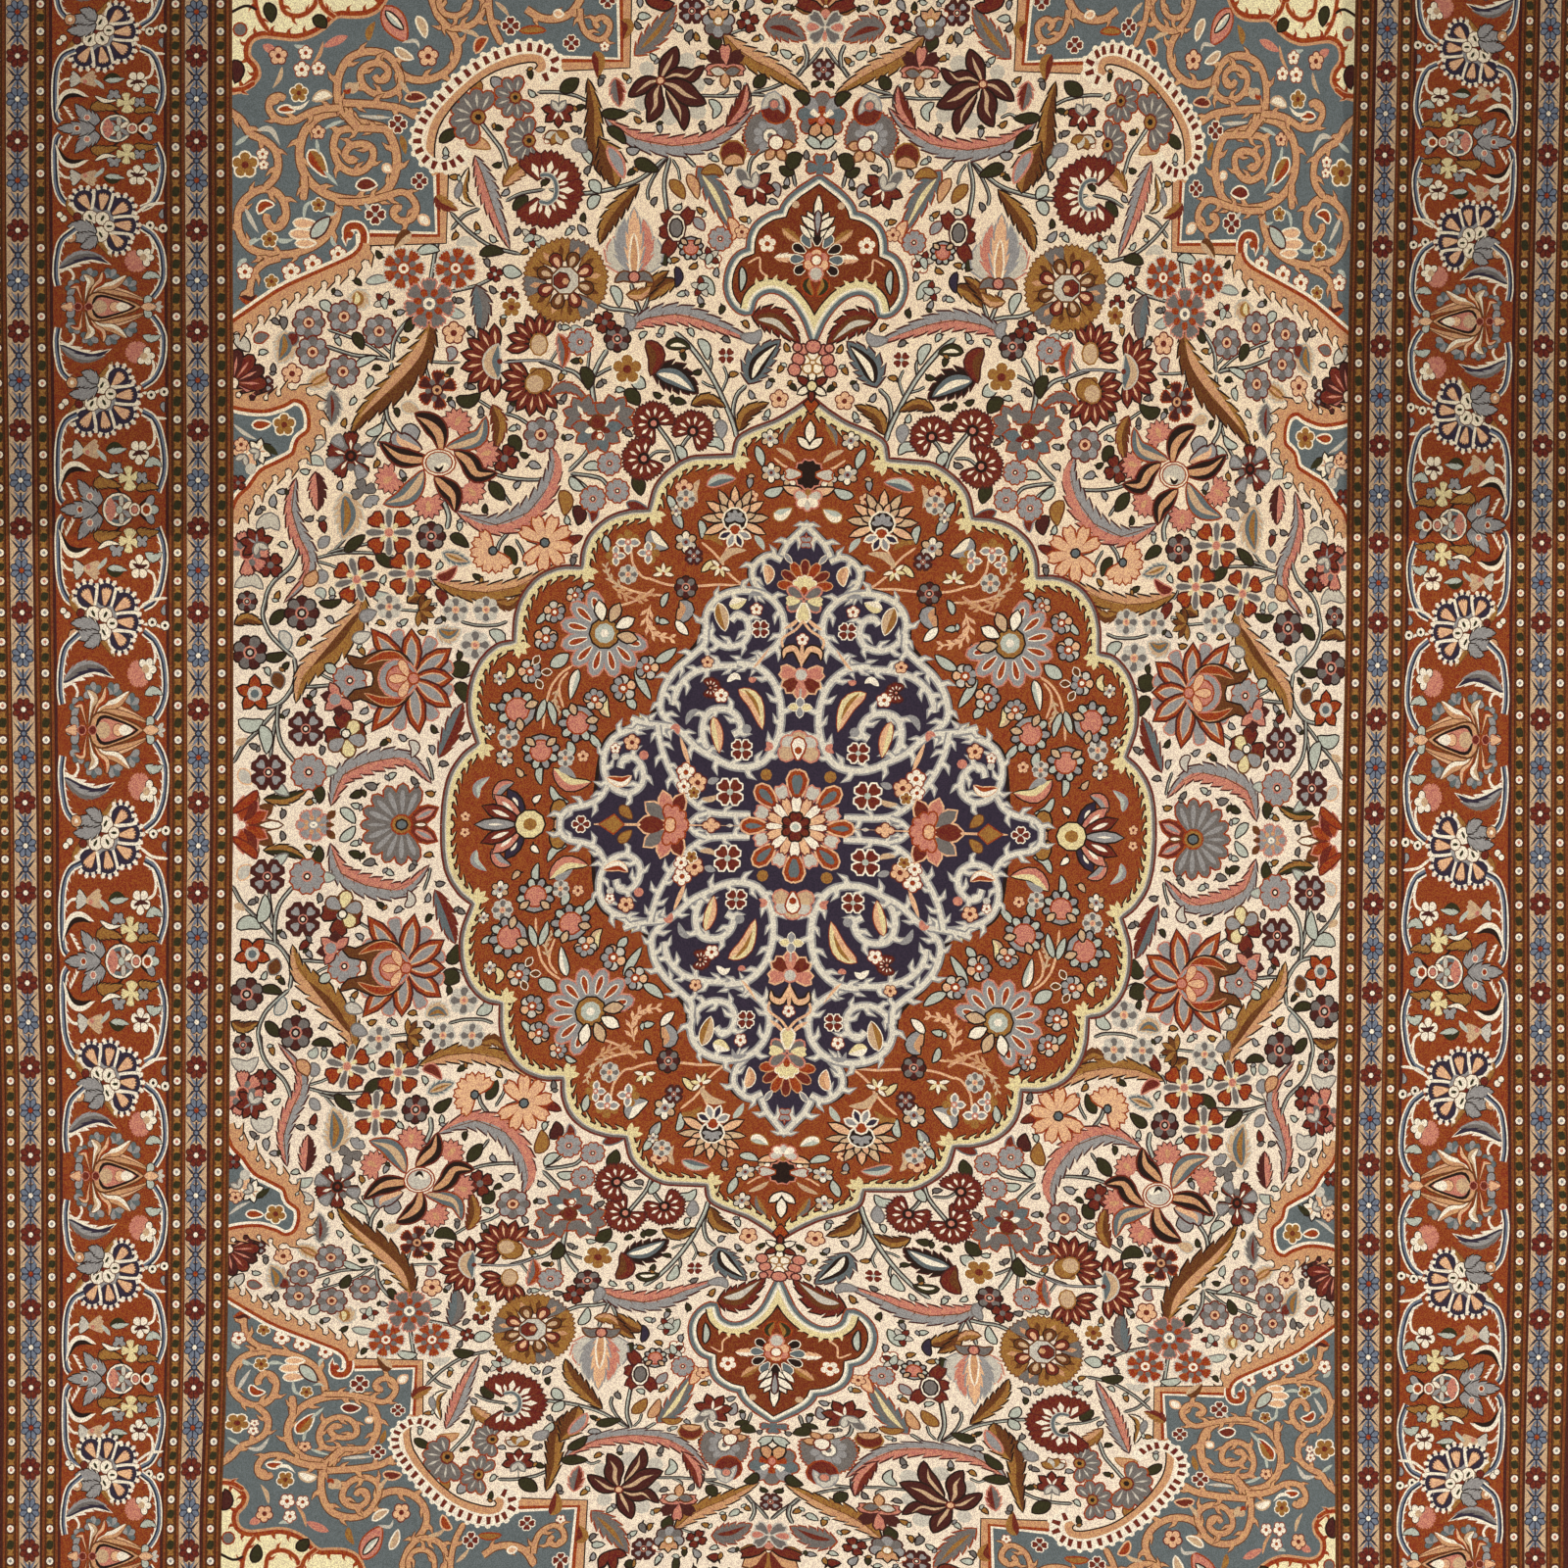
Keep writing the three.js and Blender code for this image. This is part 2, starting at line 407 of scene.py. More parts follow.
PETALS = {
    "round": ((0.0, 0.10), (0.35, 0.40), (0.68, 0.50), (0.92, 0.30), (1.0, 0.0)),
    "point": ((0.0, 0.06), (0.25, 0.34), (0.5, 0.47), (0.76, 0.36), (1.0, 0.0)),
    "heart": ((0.0, 0.12), (0.40, 0.42), (0.76, 0.52), (0.97, 0.30), (0.88, 0.0)),
    "kite": ((0.0, 0.0), (0.62, 0.50), (1.0, 0.0)),
    "block": ((0.0, 0.14), (0.50, 0.40), (0.92, 0.50), (1.0, 0.25), (1.0, 0.0)),
    "fringed": ((0.0, 0.10), (0.45, 0.40), (0.80, 0.56), (0.97, 0.42), (0.88, 0.28), (1.03, 0.14),
    (0.91, 0.0)),
    "hook": ((0.0, 0.10), (0.30, 0.46), (0.65, 0.48), (1.05, 0.30), (0.92, 0.0)),
}


def petal(across, down, start, end, wide, turn, yarn, line=None, kind="round", curl=0.0, edge=LINE):
    half = PETALS[kind]
    shape = [(a, b) for a, b in half] + [(a, -b) for a, b in half[::-1] if b]
    shape = [(start + a * (end - start), b * wide + curl * a * a * (end - start)) for a, b in shape]
    patch(turned(shape, across, down, turn), yarn, line, edge)


def whorl(across, down, start, end, wide, count, turn, yarns, line=None, kind="round", spread=360.0,
          curl=0.0, edge=LINE):
    """Petals round a centre; a spread under 360 makes a fan that faces the turn."""
    step = spread / (count if spread == 360.0 else max(count - 1, 1))
    first = turn - (0.0 if spread == 360.0 else spread / 2)
    for ring in (True, False):
        for k in range(count):
            yarn = yarns[k % len(yarns)]
            if ring and line:
                half = PETALS[kind]
                shape = [(a, b) for a, b in half] + [(a, -b) for a, b in half[::-1] if b]
                shape = [(start + a * (end - start), b * wide + curl * a * a * (end - start))
                    for a, b in shape]
                lay(grown(turned(shape, across, down, first + k * step), edge), line)
            elif not ring:
                petal(across, down, start, end, wide, first + k * step, yarn, None, kind, curl)


# Kinds of blossom: rings of petals from the outside in, then discs. Lengths are shares of the
# radius. A ring is (start, end, width, count, offset turn, spread, yarns, line, kind, curl).
BLOSSOMS = {
    "grey_wheel": (((0.2, 1.0, 0.62, 8, 0, 360, ("slate", "silver"), "dark_red", "round", 0),),
                   ((0.42, "dark_red"), (0.34, "peach"), (0.18, "dark_red"))),
    "dark_wheel": (((0.2, 1.0, 0.95, 4, 45, 360, ("plum",), "plum", "heart", 0),
                    (0.34, 0.84, 0.5, 4, 45, 360, ("silver",), None, "heart", 0)),
                   ((0.3, "salmon"), (0.22, "black"), (0.11, "cream"))),
    "silver_wheel": (((0.2, 1.0, 0.75, 6, 30, 360, ("silver",), "rust", "heart", 0),),
                     ((0.32, "salmon"), (0.22, "black"), (0.11, "cream"))),
    "plum_wheel": (((0.2, 1.0, 0.66, 8, 90, 360, ("plum", "slate"), "black", "round", 0),),
                   ((0.42, "salmon"), (0.3, "black"), (0.16, "mist"))),
    "red_wheel": (((0.15, 1.0, 0.5, 7, 0, 235, ("dark_red",), "plum", "fringed", 0),
                   (0.34, 0.74, 0.15, 8, 0, 245, ("cream",), None, "kite", 0)),
                  ((0.3, "black"), (0.15, "salmon"))),
    "four": (((0.1, 1.0, 0.8, 4, 45, 360, ("dark_red",), "black", "heart", 0),), ((0.28, "slate"),)),
    "four_up": (((0.1, 1.0, 0.75, 4, 0, 360, ("dark_red",), "black", "heart", 0),), ((0.25, "pale_blue"),)),
    "four_ringed": (((0.1, 1.0, 0.85, 4, 0, 360, ("dark_red",), "cream", "heart", 0),),
                    ((0.24, "pale_blue"),)),
    "small_cream": (((0.1, 1.0, 0.8, 5, 90, 360, ("cream",), "rust", "round", 0),), ((0.32, "rust"),)),
    "cream_ringed": (((0.1, 1.0, 0.6, 6, 90, 360, ("cream", "mist", "sand"), "black", "round", 0),),
                     ((0.4, "silver"), (0.2, "dark_red"))),
    "small_peach": (((0.1, 1.0, 0.8, 5, 90, 360, ("peach",), "dark_red", "round", 0),),
                    ((0.32, "dark_red"),)),
    "ochre_small": (((0.1, 1.0, 0.8, 5, 90, 360, ("ochre",), "cream", "round", 0),), ((0.3, "dark_red"),)),
    "faint": (((0.2, 1.0, 0.6, 8, 0, 360, ("slate", "mist"), "mist", "round", 0),),
    ((0.34, "peach"), (0.17, "salmon"))),
    "half_ringed": (((0.3, 1.0, 0.7, 4, 330, 190, ("peach", "mist"), "black", "round", 0),
                     (0.25, 0.95, 0.6, 3, 160, 110, ("silver",), "black", "round", 0)),
                     ((0.42, "rust"), (0.2, "cream"))),
    "ochre_fan": (((0.2, 1.05, 0.75, 3, 90, 130, ("ochre",), None, "round", 0),
                   (0.1, 0.95, 0.5, 3, 270, 170, ("silver",), "cream", "point", 0)),
                   ((0.3, "salmon"), (0.14, "cream"))),
    "cream_spray": (((0.0, 1.1, 0.4, 5, 90, 200, ("cream", "straw"), "brown", "point", 0),),
    ((0.2, "rust"),)),
    "star": (((0.0, 1.0, 0.62, 5, 90, 360, ("rust",), "black", "point", 0),),
             ((0.42, "mist"), (0.24, "steel"))),
}


def blossom(kind, across, down, radius, turn=0.0):
    rings, eyes = BLOSSOMS[kind]
    for start, end, wide, count, offset, spread, yarns, line, shape, curl in rings:
        whorl(across, down, start * radius, end * radius, wide * radius, count, turn + offset, yarns,
              line, shape, spread, curl, edge=min(LINE, radius * 0.15))
    for share, yarn in eyes:
        disc(across, down, share * radius, yarn, corners=8)


def scroll(points, wide, yarn, line, edge=1.2, pitch=17.0, long=6.5, taper=0.5):
    """A thick tendril with flame-like thorns along it, in turn on its two sides."""
    path = smooth(points)
    last = len(path) - 1
    widths = [0.5 * wide * (taper if i == last else 1.0) for i in range(last + 1)]
    left, right = sides_of(path, [w + edge for w in widths])
    lay(left + right[::-1], line)
    thorns = []
    run = 0.4 * pitch
    for i in range(1, last - 1):
        (ax, ay), (x, y) = path[i - 1], path[i]
        step = math.hypot(x - ax, y - ay) or 1.0
        run += step
        if run > pitch:
            run = 0.0
            tx, ty = (x - ax) / step, (y - ay) / step
            side = 1 if len(thorns) % 2 else -1
            out = 0.5 * wide + long * (1.25 if len(thorns) % 3 else 0.8)
            shape = ((-0.5 * wide, 0.4 * wide), (0.1 * wide, 0.75 * out), (0.75 * long + 0.5 * wide, out),
                (0.5 * wide, 0.55 * out),
                     (0.55 * wide, 0.4 * wide))
            thorns.append([(x + a * tx + side * b * ty, y + a * ty - side * b * tx) for a, b in shape])
    for thorn in thorns:
        lay(grown(thorn, edge), line)
    left, right = sides_of(path, widths)
    lay(left + right[::-1], yarn)
    for thorn in thorns:
        lay(thorn, yarn)


def spots(flat):
    return list(zip(flat[::2], flat[1::2]))


def sprinkled_leaves(groups, edge=LINE):
    """Small leaves by their yarn, shaded half and outline: the midrib's points, then the width."""
    for (yarn, shade, line), rows in groups.items():
        for *flat, wide in rows:
            leaf(spots(flat), wide, yarn, shade, line, edge=edge)


def sprinkled_blossoms(groups):
    """Small flowers by their kind: place, radius, and a turn where it has one."""
    for kind, rows in groups.items():
        for across, down, radius, *turn in rows:
            blossom(kind, across, down, radius, *turn)


# The field. Ivory wool strewn with flowering branches: long serrated leaves, wheels, daisies, a
# whirling flower and great lotuses, in a quarter that is turned over at the two middle lines.
def daisy(across, down, radius, turn, spread, count):
    """Half a daisy of dark red petals, each with a pale streak."""
    whorl(across, down, radius * 0.3, radius, radius * 0.32, count, turn, ("dark_red",), "black", "point",
        spread)
    whorl(across, down, radius * 0.42, radius * 0.84, radius * 0.08, count, turn, ("peach",), None, "kite",
        spread)


def half_wheel(across, down, radius, turn, yarn="steel", spread=190.0, count=7):
    """A fan of blue-grey petals with pale rays and a small eye."""
    whorl(across, down, radius * 0.25, radius, radius * 0.5, count, turn, (yarn,), "rust", "round", spread)
    whorl(across, down, radius * 0.3, radius * 0.85, radius * 0.1, count, turn, ("mist",), None, "kite",
        spread)
    disc(across, down, radius * 0.24, "ochre", "dark_red", 8)
    disc(across, down, radius * 0.12, "black", None, 6)


def great_half_wheel(across, down, radius, turn):
    """The large fan on the cross line, with two red petals behind it."""
    for side in (-26, 26):
        petal(across, down, radius * 0.2, radius * 0.98, radius * 0.4, turn + 180 + side, "dark_red",
            "rust", "point")
        petal(across, down, radius * 0.4, radius * 0.85, radius * 0.1, turn + 180 + side, "silver",
            "salmon", "point")
    petal(across, down, radius * 0.3, radius * 0.62, radius * 0.14, turn + 180, "cream", "brown", "point")
    whorl(across, down, radius * 0.22, radius, radius * 0.33, 11, turn, ("slate",), "rust", "round", 230)
    whorl(across, down, radius * 0.3, radius * 0.86, radius * 0.13, 11, turn, ("silver",), None, "round",
        230)
    disc(across, down, radius * 0.24, "ochre", "rust")
    disc(across, down, radius * 0.13, "steel", "black", 8)


# The whirling flower's petals: dark side, light side, line, width, then the points of the midrib.
WHIRL = (
    ("silver", "peach", "plum", 17, 430, 456, 418, 452, 406, 446, 404, 438),
    ("steel", "sand", "rust", 16, 456, 454, 474, 450, 490, 443, 496, 424),
    ("steel", "sand", "rust", 19, 432, 478, 424, 494, 412, 506, 392, 512),
    ("black", "tan", "dark_red", 20, 450, 458, 448, 440, 438, 428, 424, 420),
    ("black", "tan", "dark_red", 19, 464, 458, 478, 468, 488, 482, 507, 481),
    ("black", "tan", "dark_red", 19, 444, 484, 454, 494, 463, 504, 465, 520),
    ("black", "tan", "dark_red", 18, 438, 466, 420, 466, 404, 462, 388, 449),
)


def whirling_flower():
    """Long bent petals, one side dark and one light, round an oval heart, over pink leaves."""
    for across, down, turn in ((466, 430, 62), (494, 461, 12), (480, 498, 312), (437, 512, 272),
            (398, 486, 208)):
        whorl(across, down, 3, 16, 6, 10, turn, ("salmon",), "plum", "point", 250, edge=1.3)
        disc(across, down, 8, "salmon", None, 8)
        petal(across, down, -3, 8, 6, turn, "tan")
    for dark, light, line, wide, *flat in WHIRL:
        points = spots(flat)
        leaf(points, wide, dark, None, line, fat=0.5)
        leaf([(x + 0.06 * (points[0][0] - x), y + 0.06 * (points[0][1] - y) + 1) for x, y in points],
            0.42 * wide, light, None,
             None, fat=0.4)
    for size, yarn in ((18, "rust"), (16.2, "cream"), (14.6, "rust"), (13, "mist")):
        disc(448, 470, size, yarn, None, 14, tall=0.8)
    petal(452, 474, -6, 6, 8, 0, "cream")
    leaf(((443, 474), (448, 478), (453, 472)), 4, "black", None, None)


# The arms of the star flower: their width, then the points of the midrib.
STAR_ARMS = ((16, 674, 82, 680, 68, 686, 58, 690, 48), (13, 678, 80, 692, 75, 706, 77, 718, 67),
             (14, 680, 92, 690, 106, 697, 118, 698, 132), (20, 676, 84, 692, 89, 705, 99, 720, 105),
             (18, 673, 86, 668, 98, 668, 112, 661, 124), (14, 673, 82, 661, 84, 651, 91, 642, 98))


def star_flower():
    """Six bent arms of plum with pale hearts, over soft blue-grey shadows."""
    for across, down, radius in ((655, 105, 8), (683, 119, 9), (711, 86, 9), (712, 113, 9), (701, 62, 9),
            (660, 70, 8)):
        disc(across, down, radius, "mist", None, 8)
    for wide, *flat in STAR_ARMS:
        leaf(spots(flat), wide, "plum", fat=0.5)
    for wide, *flat in STAR_ARMS:
        points = spots(flat)
        leaf([(x + 0.2 * (points[0][0] - x), y + 0.2 * (points[0][1] - y)) for x, y in points], 0.24 * wide,
            "sand", None, None)
    disc(674, 82, 3.5, "peach", "dark_red", 7)


def cross_flower(across, down, radius, turn=0.0, corners=(45, 135, 225, 315)):
    """Four slate arms in a cross, with red hooked petals between them."""
    for k in corners:
        petal(across, down, radius * 0.42, radius * 1.0, radius * 0.62, turn + k, "rust", "plum", "heart")
        petal(across, down, radius * 0.2, radius * 0.5, radius * 0.2, turn + k, "straw")
    for k in (0, 90, 180, 270):
        petal(across, down, radius * 0.15, radius * 0.95, radius * 0.28, turn + k, "slate", "mist", edge=1)
    disc(across, down, radius * 0.17, "salmon", "peach", 8, edge=1)


def bloom(across, down, radius, turn, petals=7, outer="dark_red", inner="slate", line="black",
        heart="cream", spread=300.0):
    """A full flower with a second ring of small petals in another yarn."""
    whorl(across, down, radius * 0.3, radius, radius * 0.52, petals, turn, (outer,), line, "fringed",
        spread)
    whorl(across, down, radius * 0.22, radius * 0.66, radius * 0.3, petals, turn + 180 / petals, (inner,),
        None, "round", spread)
    disc(across, down, radius * 0.26, heart, outer, 9)
    disc(across, down, radius * 0.12, outer, None, 7)


def great_lotus(across, down, turn=0.0):
    """The large composite palmette: a brown bud in layers, open behind a wheel of red petals."""
    for k, reach in ((62, 46), (18, 43), (-18, 43), (-60, 47), (108, 51), (-105, 53), (148, 50),
            (-148, 50)):
        petal(across, down, 22, reach, 12, turn + k, "silver", "salmon", "block")
    for k, reach in ((37, 50), (90, 50), (0, 42), (129, 65), (-127, 67), (-82, 56), (-36, 49)):
        petal(across, down, 3, reach, 20, turn + k, "rust", "plum", "point", edge=2.2)
        petal(across, down, 8, reach * 0.84, 10, turn + k, "silver", "peach", "point", edge=1.4)
    hub = turned([(-14, 0)], across, down, turn)[0]
    patch(smooth([turned([p], across, down, turn)[0]
        for p in ((0, 14), (-14, 27), (-32, 28), (-52, 20), (-66, 24), (-58, 12), (-40, 8),
          (-40, -8), (-58, -12), (-66, -24), (-52, -20), (-32, -28), (-14, -27), (0, -14))], 2,
          closed=True), "brown", "black")
    for side in (1, -1):
        arc = [turned([(a, b * side)], across, down, turn)[0]
            for a, b in ((-2, 10), (-14, 22), (-30, 23), (-48, 15))]
        leaf(arc, 8, "rust", None, "tan", fat=0.5, edge=1)
    disc(hub[0], hub[1], 19, "silver", "salmon", 14)
    disc(hub[0] + 2, hub[1], 13, "salmon", "rust", 12)
    for k in (0, 62, -62):
        petal(hub[0] + 12, hub[1], 2, 21, 9, 180 + k, "peach", "rust", edge=1)
    disc(across + 2, down, 5, "salmon", "rust", 8)


def palm_tree(across, down, tall):
    """A tall pale palmette on the upright, in soft outlines."""
    for lean, share, yarn, line in ((-0.30, 0.6, "mist", "salmon"), (0.30, 0.6, "mist", "silver"),
            (-0.17, 0.85, "silver", "mist"),
                                    (0.17, 0.85, "salmon", "mist"), (0.0, 1.0, "peach", "silver")):
        leaf(((across, down), (across + lean * tall, down - 0.5 * tall * share),
            (across + 0.8 * lean * tall, down - tall * share)),
             0.24 * tall, yarn, None, line, teeth=5)
    leaf(((across, down), (across, down - tall * 0.3), (across, down - tall * 0.62)), 0.11 * tall, "tan",
        None, "cream")
    for side in (-1, 1):
        leaf(((across, down + 4), (across + side * 10, down - 1), (across + side * 19, down + 5)), 9,
            "slate", None, "brown")
    disc(across, down, 5, "salmon", "plum", 8)


def flame_leaf(points, wide, line="rust", core="steel", side="slate", heart="straw"):
    """A broad flat leaf in rings of yarn, cut into barbs outside."""
    (ax, ay), (bx, by) = points[0], points[-1]
    leaf(points, wide, side, None, line, teeth=6, fat=0.45)
    for share, width, yarn in ((0.14, 0.6, core), (0.24, 0.26, heart)):
        inner = [(x + share * ((ax + bx) / 2 - x), y + share * ((ay + by) / 2 - y))
            for x, y in smooth(points, 2)]
        leaf(inner, wide * width, yarn, None, None, fat=0.45)


def swallow_tail(across, down, size, turn, yarn="dark_red", inner="cream"):
    """A cup with pointed corners on a short stalk."""
    whorl(across, down, 0, size, size * 0.5, 5, turn, (yarn,), "black", "point", 200)
    whorl(across, down, 0, size * 0.6, size * 0.16, 2, turn, (inner,), None, "point", 60)
    whorl(across, down, 0, size * 0.7, size * 0.34, 2, turn + 180, ("mist",), "slate", "point", 70)


FIELD_VINES = {
    3: ((404, 362, 392, 352, 388, 342), (432, 366, 450, 368, 470, 368), (571, 95, 570, 106),
        (686, 162, 692, 172, 694, 184), (740, 84, 742, 92, 730, 98), (742, 36, 758, 30, 772, 31),
        (735, 396, 722, 392, 716, 388), (736, 400, 742, 384, 738, 372), (560, 370, 568, 358, 572, 350),
        (600, 388, 600, 372, 602, 356), (322, 570, 342, 576, 360, 588), (340, 560, 350, 550, 356, 540),
        (324, 572, 330, 580), (318, 678, 332, 688, 346, 694), (470, 690, 480, 686, 486, 680),
        (380, 606, 392, 614, 410, 620, 440, 622), (425, 620, 444, 614, 444, 616),
        (320, 838, 345, 841, 370, 842), (438, 582, 440, 590, 444, 596), (340, 396, 344, 388, 348, 380),
        (632, 120, 644, 112, 654, 116)),
    3.5: ((398, 366, 376, 350, 352, 340, 334, 334), (430, 362, 436, 378, 440, 396),
        (712, 97, 740, 98, 764, 96, 782, 97), (724, 378, 726, 366, 720, 356),
        (582, 484, 594, 492, 602, 500),
        (684, 460, 670, 460, 660, 468), (488, 406, 500, 414, 512, 420),
        (320, 568, 346, 562, 378, 562, 404, 566), (334, 562, 356, 556, 378, 552, 392, 546),
        (526, 548, 534, 562, 536, 576), (470, 632, 486, 636, 506, 636, 518, 632),
        (442, 794, 440, 782, 436, 770), (360, 748, 370, 738, 384, 730)),
    4: ((516, 204, 532, 196, 556, 192), (394, 364, 374, 364, 362, 374), (396, 410, 388, 436, 378, 452),
        (438, 305, 460, 296, 486, 290, 506, 280), (548, 93, 568, 93, 588, 97, 602, 104),
        (682, 158, 668, 178, 661, 194, 662, 204), (768, 94, 786, 90, 800, 84, 812, 80),
        (840, 47, 830, 60, 820, 70, 814, 78), (820, 66, 812, 76), (606, 384, 620, 376, 632, 372),
        (515, 420, 528, 424, 540, 432, 546, 440), (500, 480, 520, 486, 548, 488, 566, 484),
        (498, 488, 512, 500, 522, 514), (282, 730, 278, 752, 276, 772), (302, 698, 322, 698, 342, 696),
        (536, 548, 552, 553, 576, 552)),
    4.5: ((398, 366, 382, 362, 360, 360, 330, 350), (460, 233, 474, 218, 490, 211),
        (459, 214, 478, 234, 502, 250, 532, 258), (790, 150, 776, 154, 766, 164, 763, 184),
        (800, 158, 808, 172, 812, 190), (656, 318, 664, 300, 676, 286),
        (582, 482, 600, 484, 614, 488, 622, 498), (692, 462, 700, 448, 710, 438),
        (288, 716, 276, 728, 262, 744, 248, 758, 238, 776), (520, 540, 510, 552, 506, 566)),
    5: ((400, 366, 402, 346, 412, 330, 426, 318), (400, 368, 398, 388, 394, 408, 396, 426, 405, 440),
        (448, 240, 443, 262, 440, 282, 436, 300), (490, 122, 500, 136, 512, 152, 518, 172),
        (560, 192, 590, 197, 626, 192, 654, 182, 680, 160), (684, 160, 678, 184, 680, 210, 684, 224),
        (690, 150, 700, 160, 710, 170), (820, 44, 824, 56, 822, 68),
        (656, 320, 640, 316, 622, 314, 606, 306),
        (654, 320, 648, 304, 644, 288), (752, 440, 748, 420, 752, 402, 762, 392),
        (602, 396, 588, 380, 572, 374, 548, 366), (580, 480, 596, 464, 606, 448),
        (692, 474, 688, 458, 676, 440, 668, 430), (816, 350, 808, 334, 800, 322),
        (308, 540, 304, 560, 296, 576, 280, 590, 272, 604, 270, 622),
        (272, 606, 268, 624, 274, 642, 286, 656, 300, 668),
        (300, 668, 302, 684, 298, 700, 284, 716, 262, 720),
        (284, 716, 283, 738, 288, 758, 302, 776)),
    6: ((760, 84, 764, 96, 764, 108), (688, 338, 704, 352, 722, 376, 736, 402, 748, 430, 752, 446),
        (608, 430, 606, 408, 604, 388, 612, 368, 620, 356), (452, 508, 458, 524, 456, 538)),
}

FIELD_SAZ = {
    ("silver", "salmon", "plum"): ((485, 158, 495, 184, 504, 212, 520, 252, 17, 9),
        (302, 486, 297, 512, 303, 540, 315, 562, 313, 586, 290, 612, 15, 12),
        (466, 520, 498, 534, 532, 526, 556, 502, 566, 474, 562, 454, 21, 12),
        (636, 336, 660, 324, 696, 320, 734, 332, 766, 346, 18, 11),
        (338, 818, 350, 788, 382, 774, 416, 772, 440, 796, 20, 11)),
    ("salmon", "silver", "plum"): ((617, 119, 640, 138, 676, 148, 716, 146, 748, 130, 770, 108, 18, 12),),
    ("dark_red", "salmon", "plum"): ((742, 128, 756, 108, 762, 86, 12, 5),),
    ("ochre", "brown", "black"): ((600, 80, 606, 112, 606, 144, 614, 172, 632, 184, 15, 9),
        (240, 634, 252, 628, 268, 634, 10, 4), (706, 412, 722, 406, 740, 414, 11, 4),
        (754, 438, 762, 420, 784, 410, 13, 4), (690, 286, 676, 292, 662, 306, 13, 3),
        (660, 300, 668, 286, 682, 276, 10, 3), (416, 612, 426, 606, 436, 612, 11, 3)),
    ("tan", "ochre", "black"): ((738, 34, 760, 56, 792, 72, 826, 94, 19, 8),
        (442, 590, 470, 600, 504, 602, 540, 592, 568, 574, 17, 9)),
    ("brown", "ochre", "black"): ((652, 188, 632, 210, 618, 230, 612, 248, 15, 7),
        (440, 326, 434, 352, 408, 388, 376, 416, 358, 440, 24, 10)),
    ("tan", "tan", None): ((436, 336, 424, 360, 396, 392, 366, 424, 10, 0),),
    ("salmon", "salmon", None): ((566, 458, 570, 478, 558, 504, 540, 524, 8, 0),),
    ("ochre", "tan", "black"): ((370, 604, 364, 630, 336, 662, 310, 686, 302, 714, 25, 9),),
    ("brown", "brown", None): ((366, 622, 344, 652, 318, 678, 8, 0),),
    ("steel", "dark_red", "dark_red"): ((448, 770, 458, 750, 466, 730, 472, 716, 15, 5),),
    ("slate", "steel", "plum"): ((486, 290, 492, 312, 490, 338, 17, 5),),
    ("ochre", "brown", "dark_red"): ((503, 412, 510, 432, 506, 456, 13, 5),),
    ("ochre", "cream", "black"): ((478, 170, 472, 190, 474, 202, 484, 208, 8, 5),),
    ("rust", "slate", "salmon"): ((570, 340, 576, 356, 574, 374, 11, 4),),
    ("ochre", "tan", "brown"): ((514, 188, 523, 177, 534, 170, 548, 168, 13, 5),
        (640, 300, 654, 300, 664, 292, 10, 3)),
    ("dark_red", "slate", "salmon"): ((628, 80, 630, 94, 632, 108, 13, 4),),
    ("plum", "salmon", "plum"): ((322, 480, 324, 500, 324, 518, 15, 5),),
    ("green", "ochre", "black"): ((270, 812, 292, 812, 312, 804, 10, 4),),
    ("ochre", "brown", "brown"): ((506, 612, 520, 616, 532, 606, 9, 3),),
}

FIELD_FLAMES = {
    ("rust", "slate", "slate", "ochre"): ((648, 56, 670, 34, 690, 6, 19),),
    ("rust", "slate", "steel", "straw"): ((712, 170, 730, 196, 748, 236, 20),),
    ("mist", "steel", "sand", "ochre"): ((352, 500, 356, 524, 350, 548, 26),
        (290, 336, 292, 352, 284, 368, 22), (446, 640, 458, 646, 470, 640, 16)),
    ("rust", "slate", "slate", "dark_red"): ((780, 26, 800, 28, 822, 40, 24),),
    ("plum", "black", "steel", "cream"): ((764, 390, 774, 368, 796, 346, 26),),
    ("plum", "steel", "black", "cream"): ((666, 378, 690, 384, 712, 400, 27),),
    ("black", "brown", "dark_red", "mist"): ((768, 322, 792, 326, 816, 348, 24),),
    ("mist", "ochre", "sand", "tan"): ((314, 392, 328, 384, 340, 376, 15),),
    ("mist", "sand", "steel", "ochre"): ((452, 562, 466, 568, 480, 572, 12),),
    ("mist", "slate", "slate", "dark_red"): ((338, 396, 340, 414, 338, 432, 15),),
    ("brown", "salmon", "salmon", "cream"): ((620, 148, 626, 164, 634, 178, 12),),
    ("mist", "ochre", "sand", "straw"): ((364, 294, 366, 304, 360, 312, 20),),
}

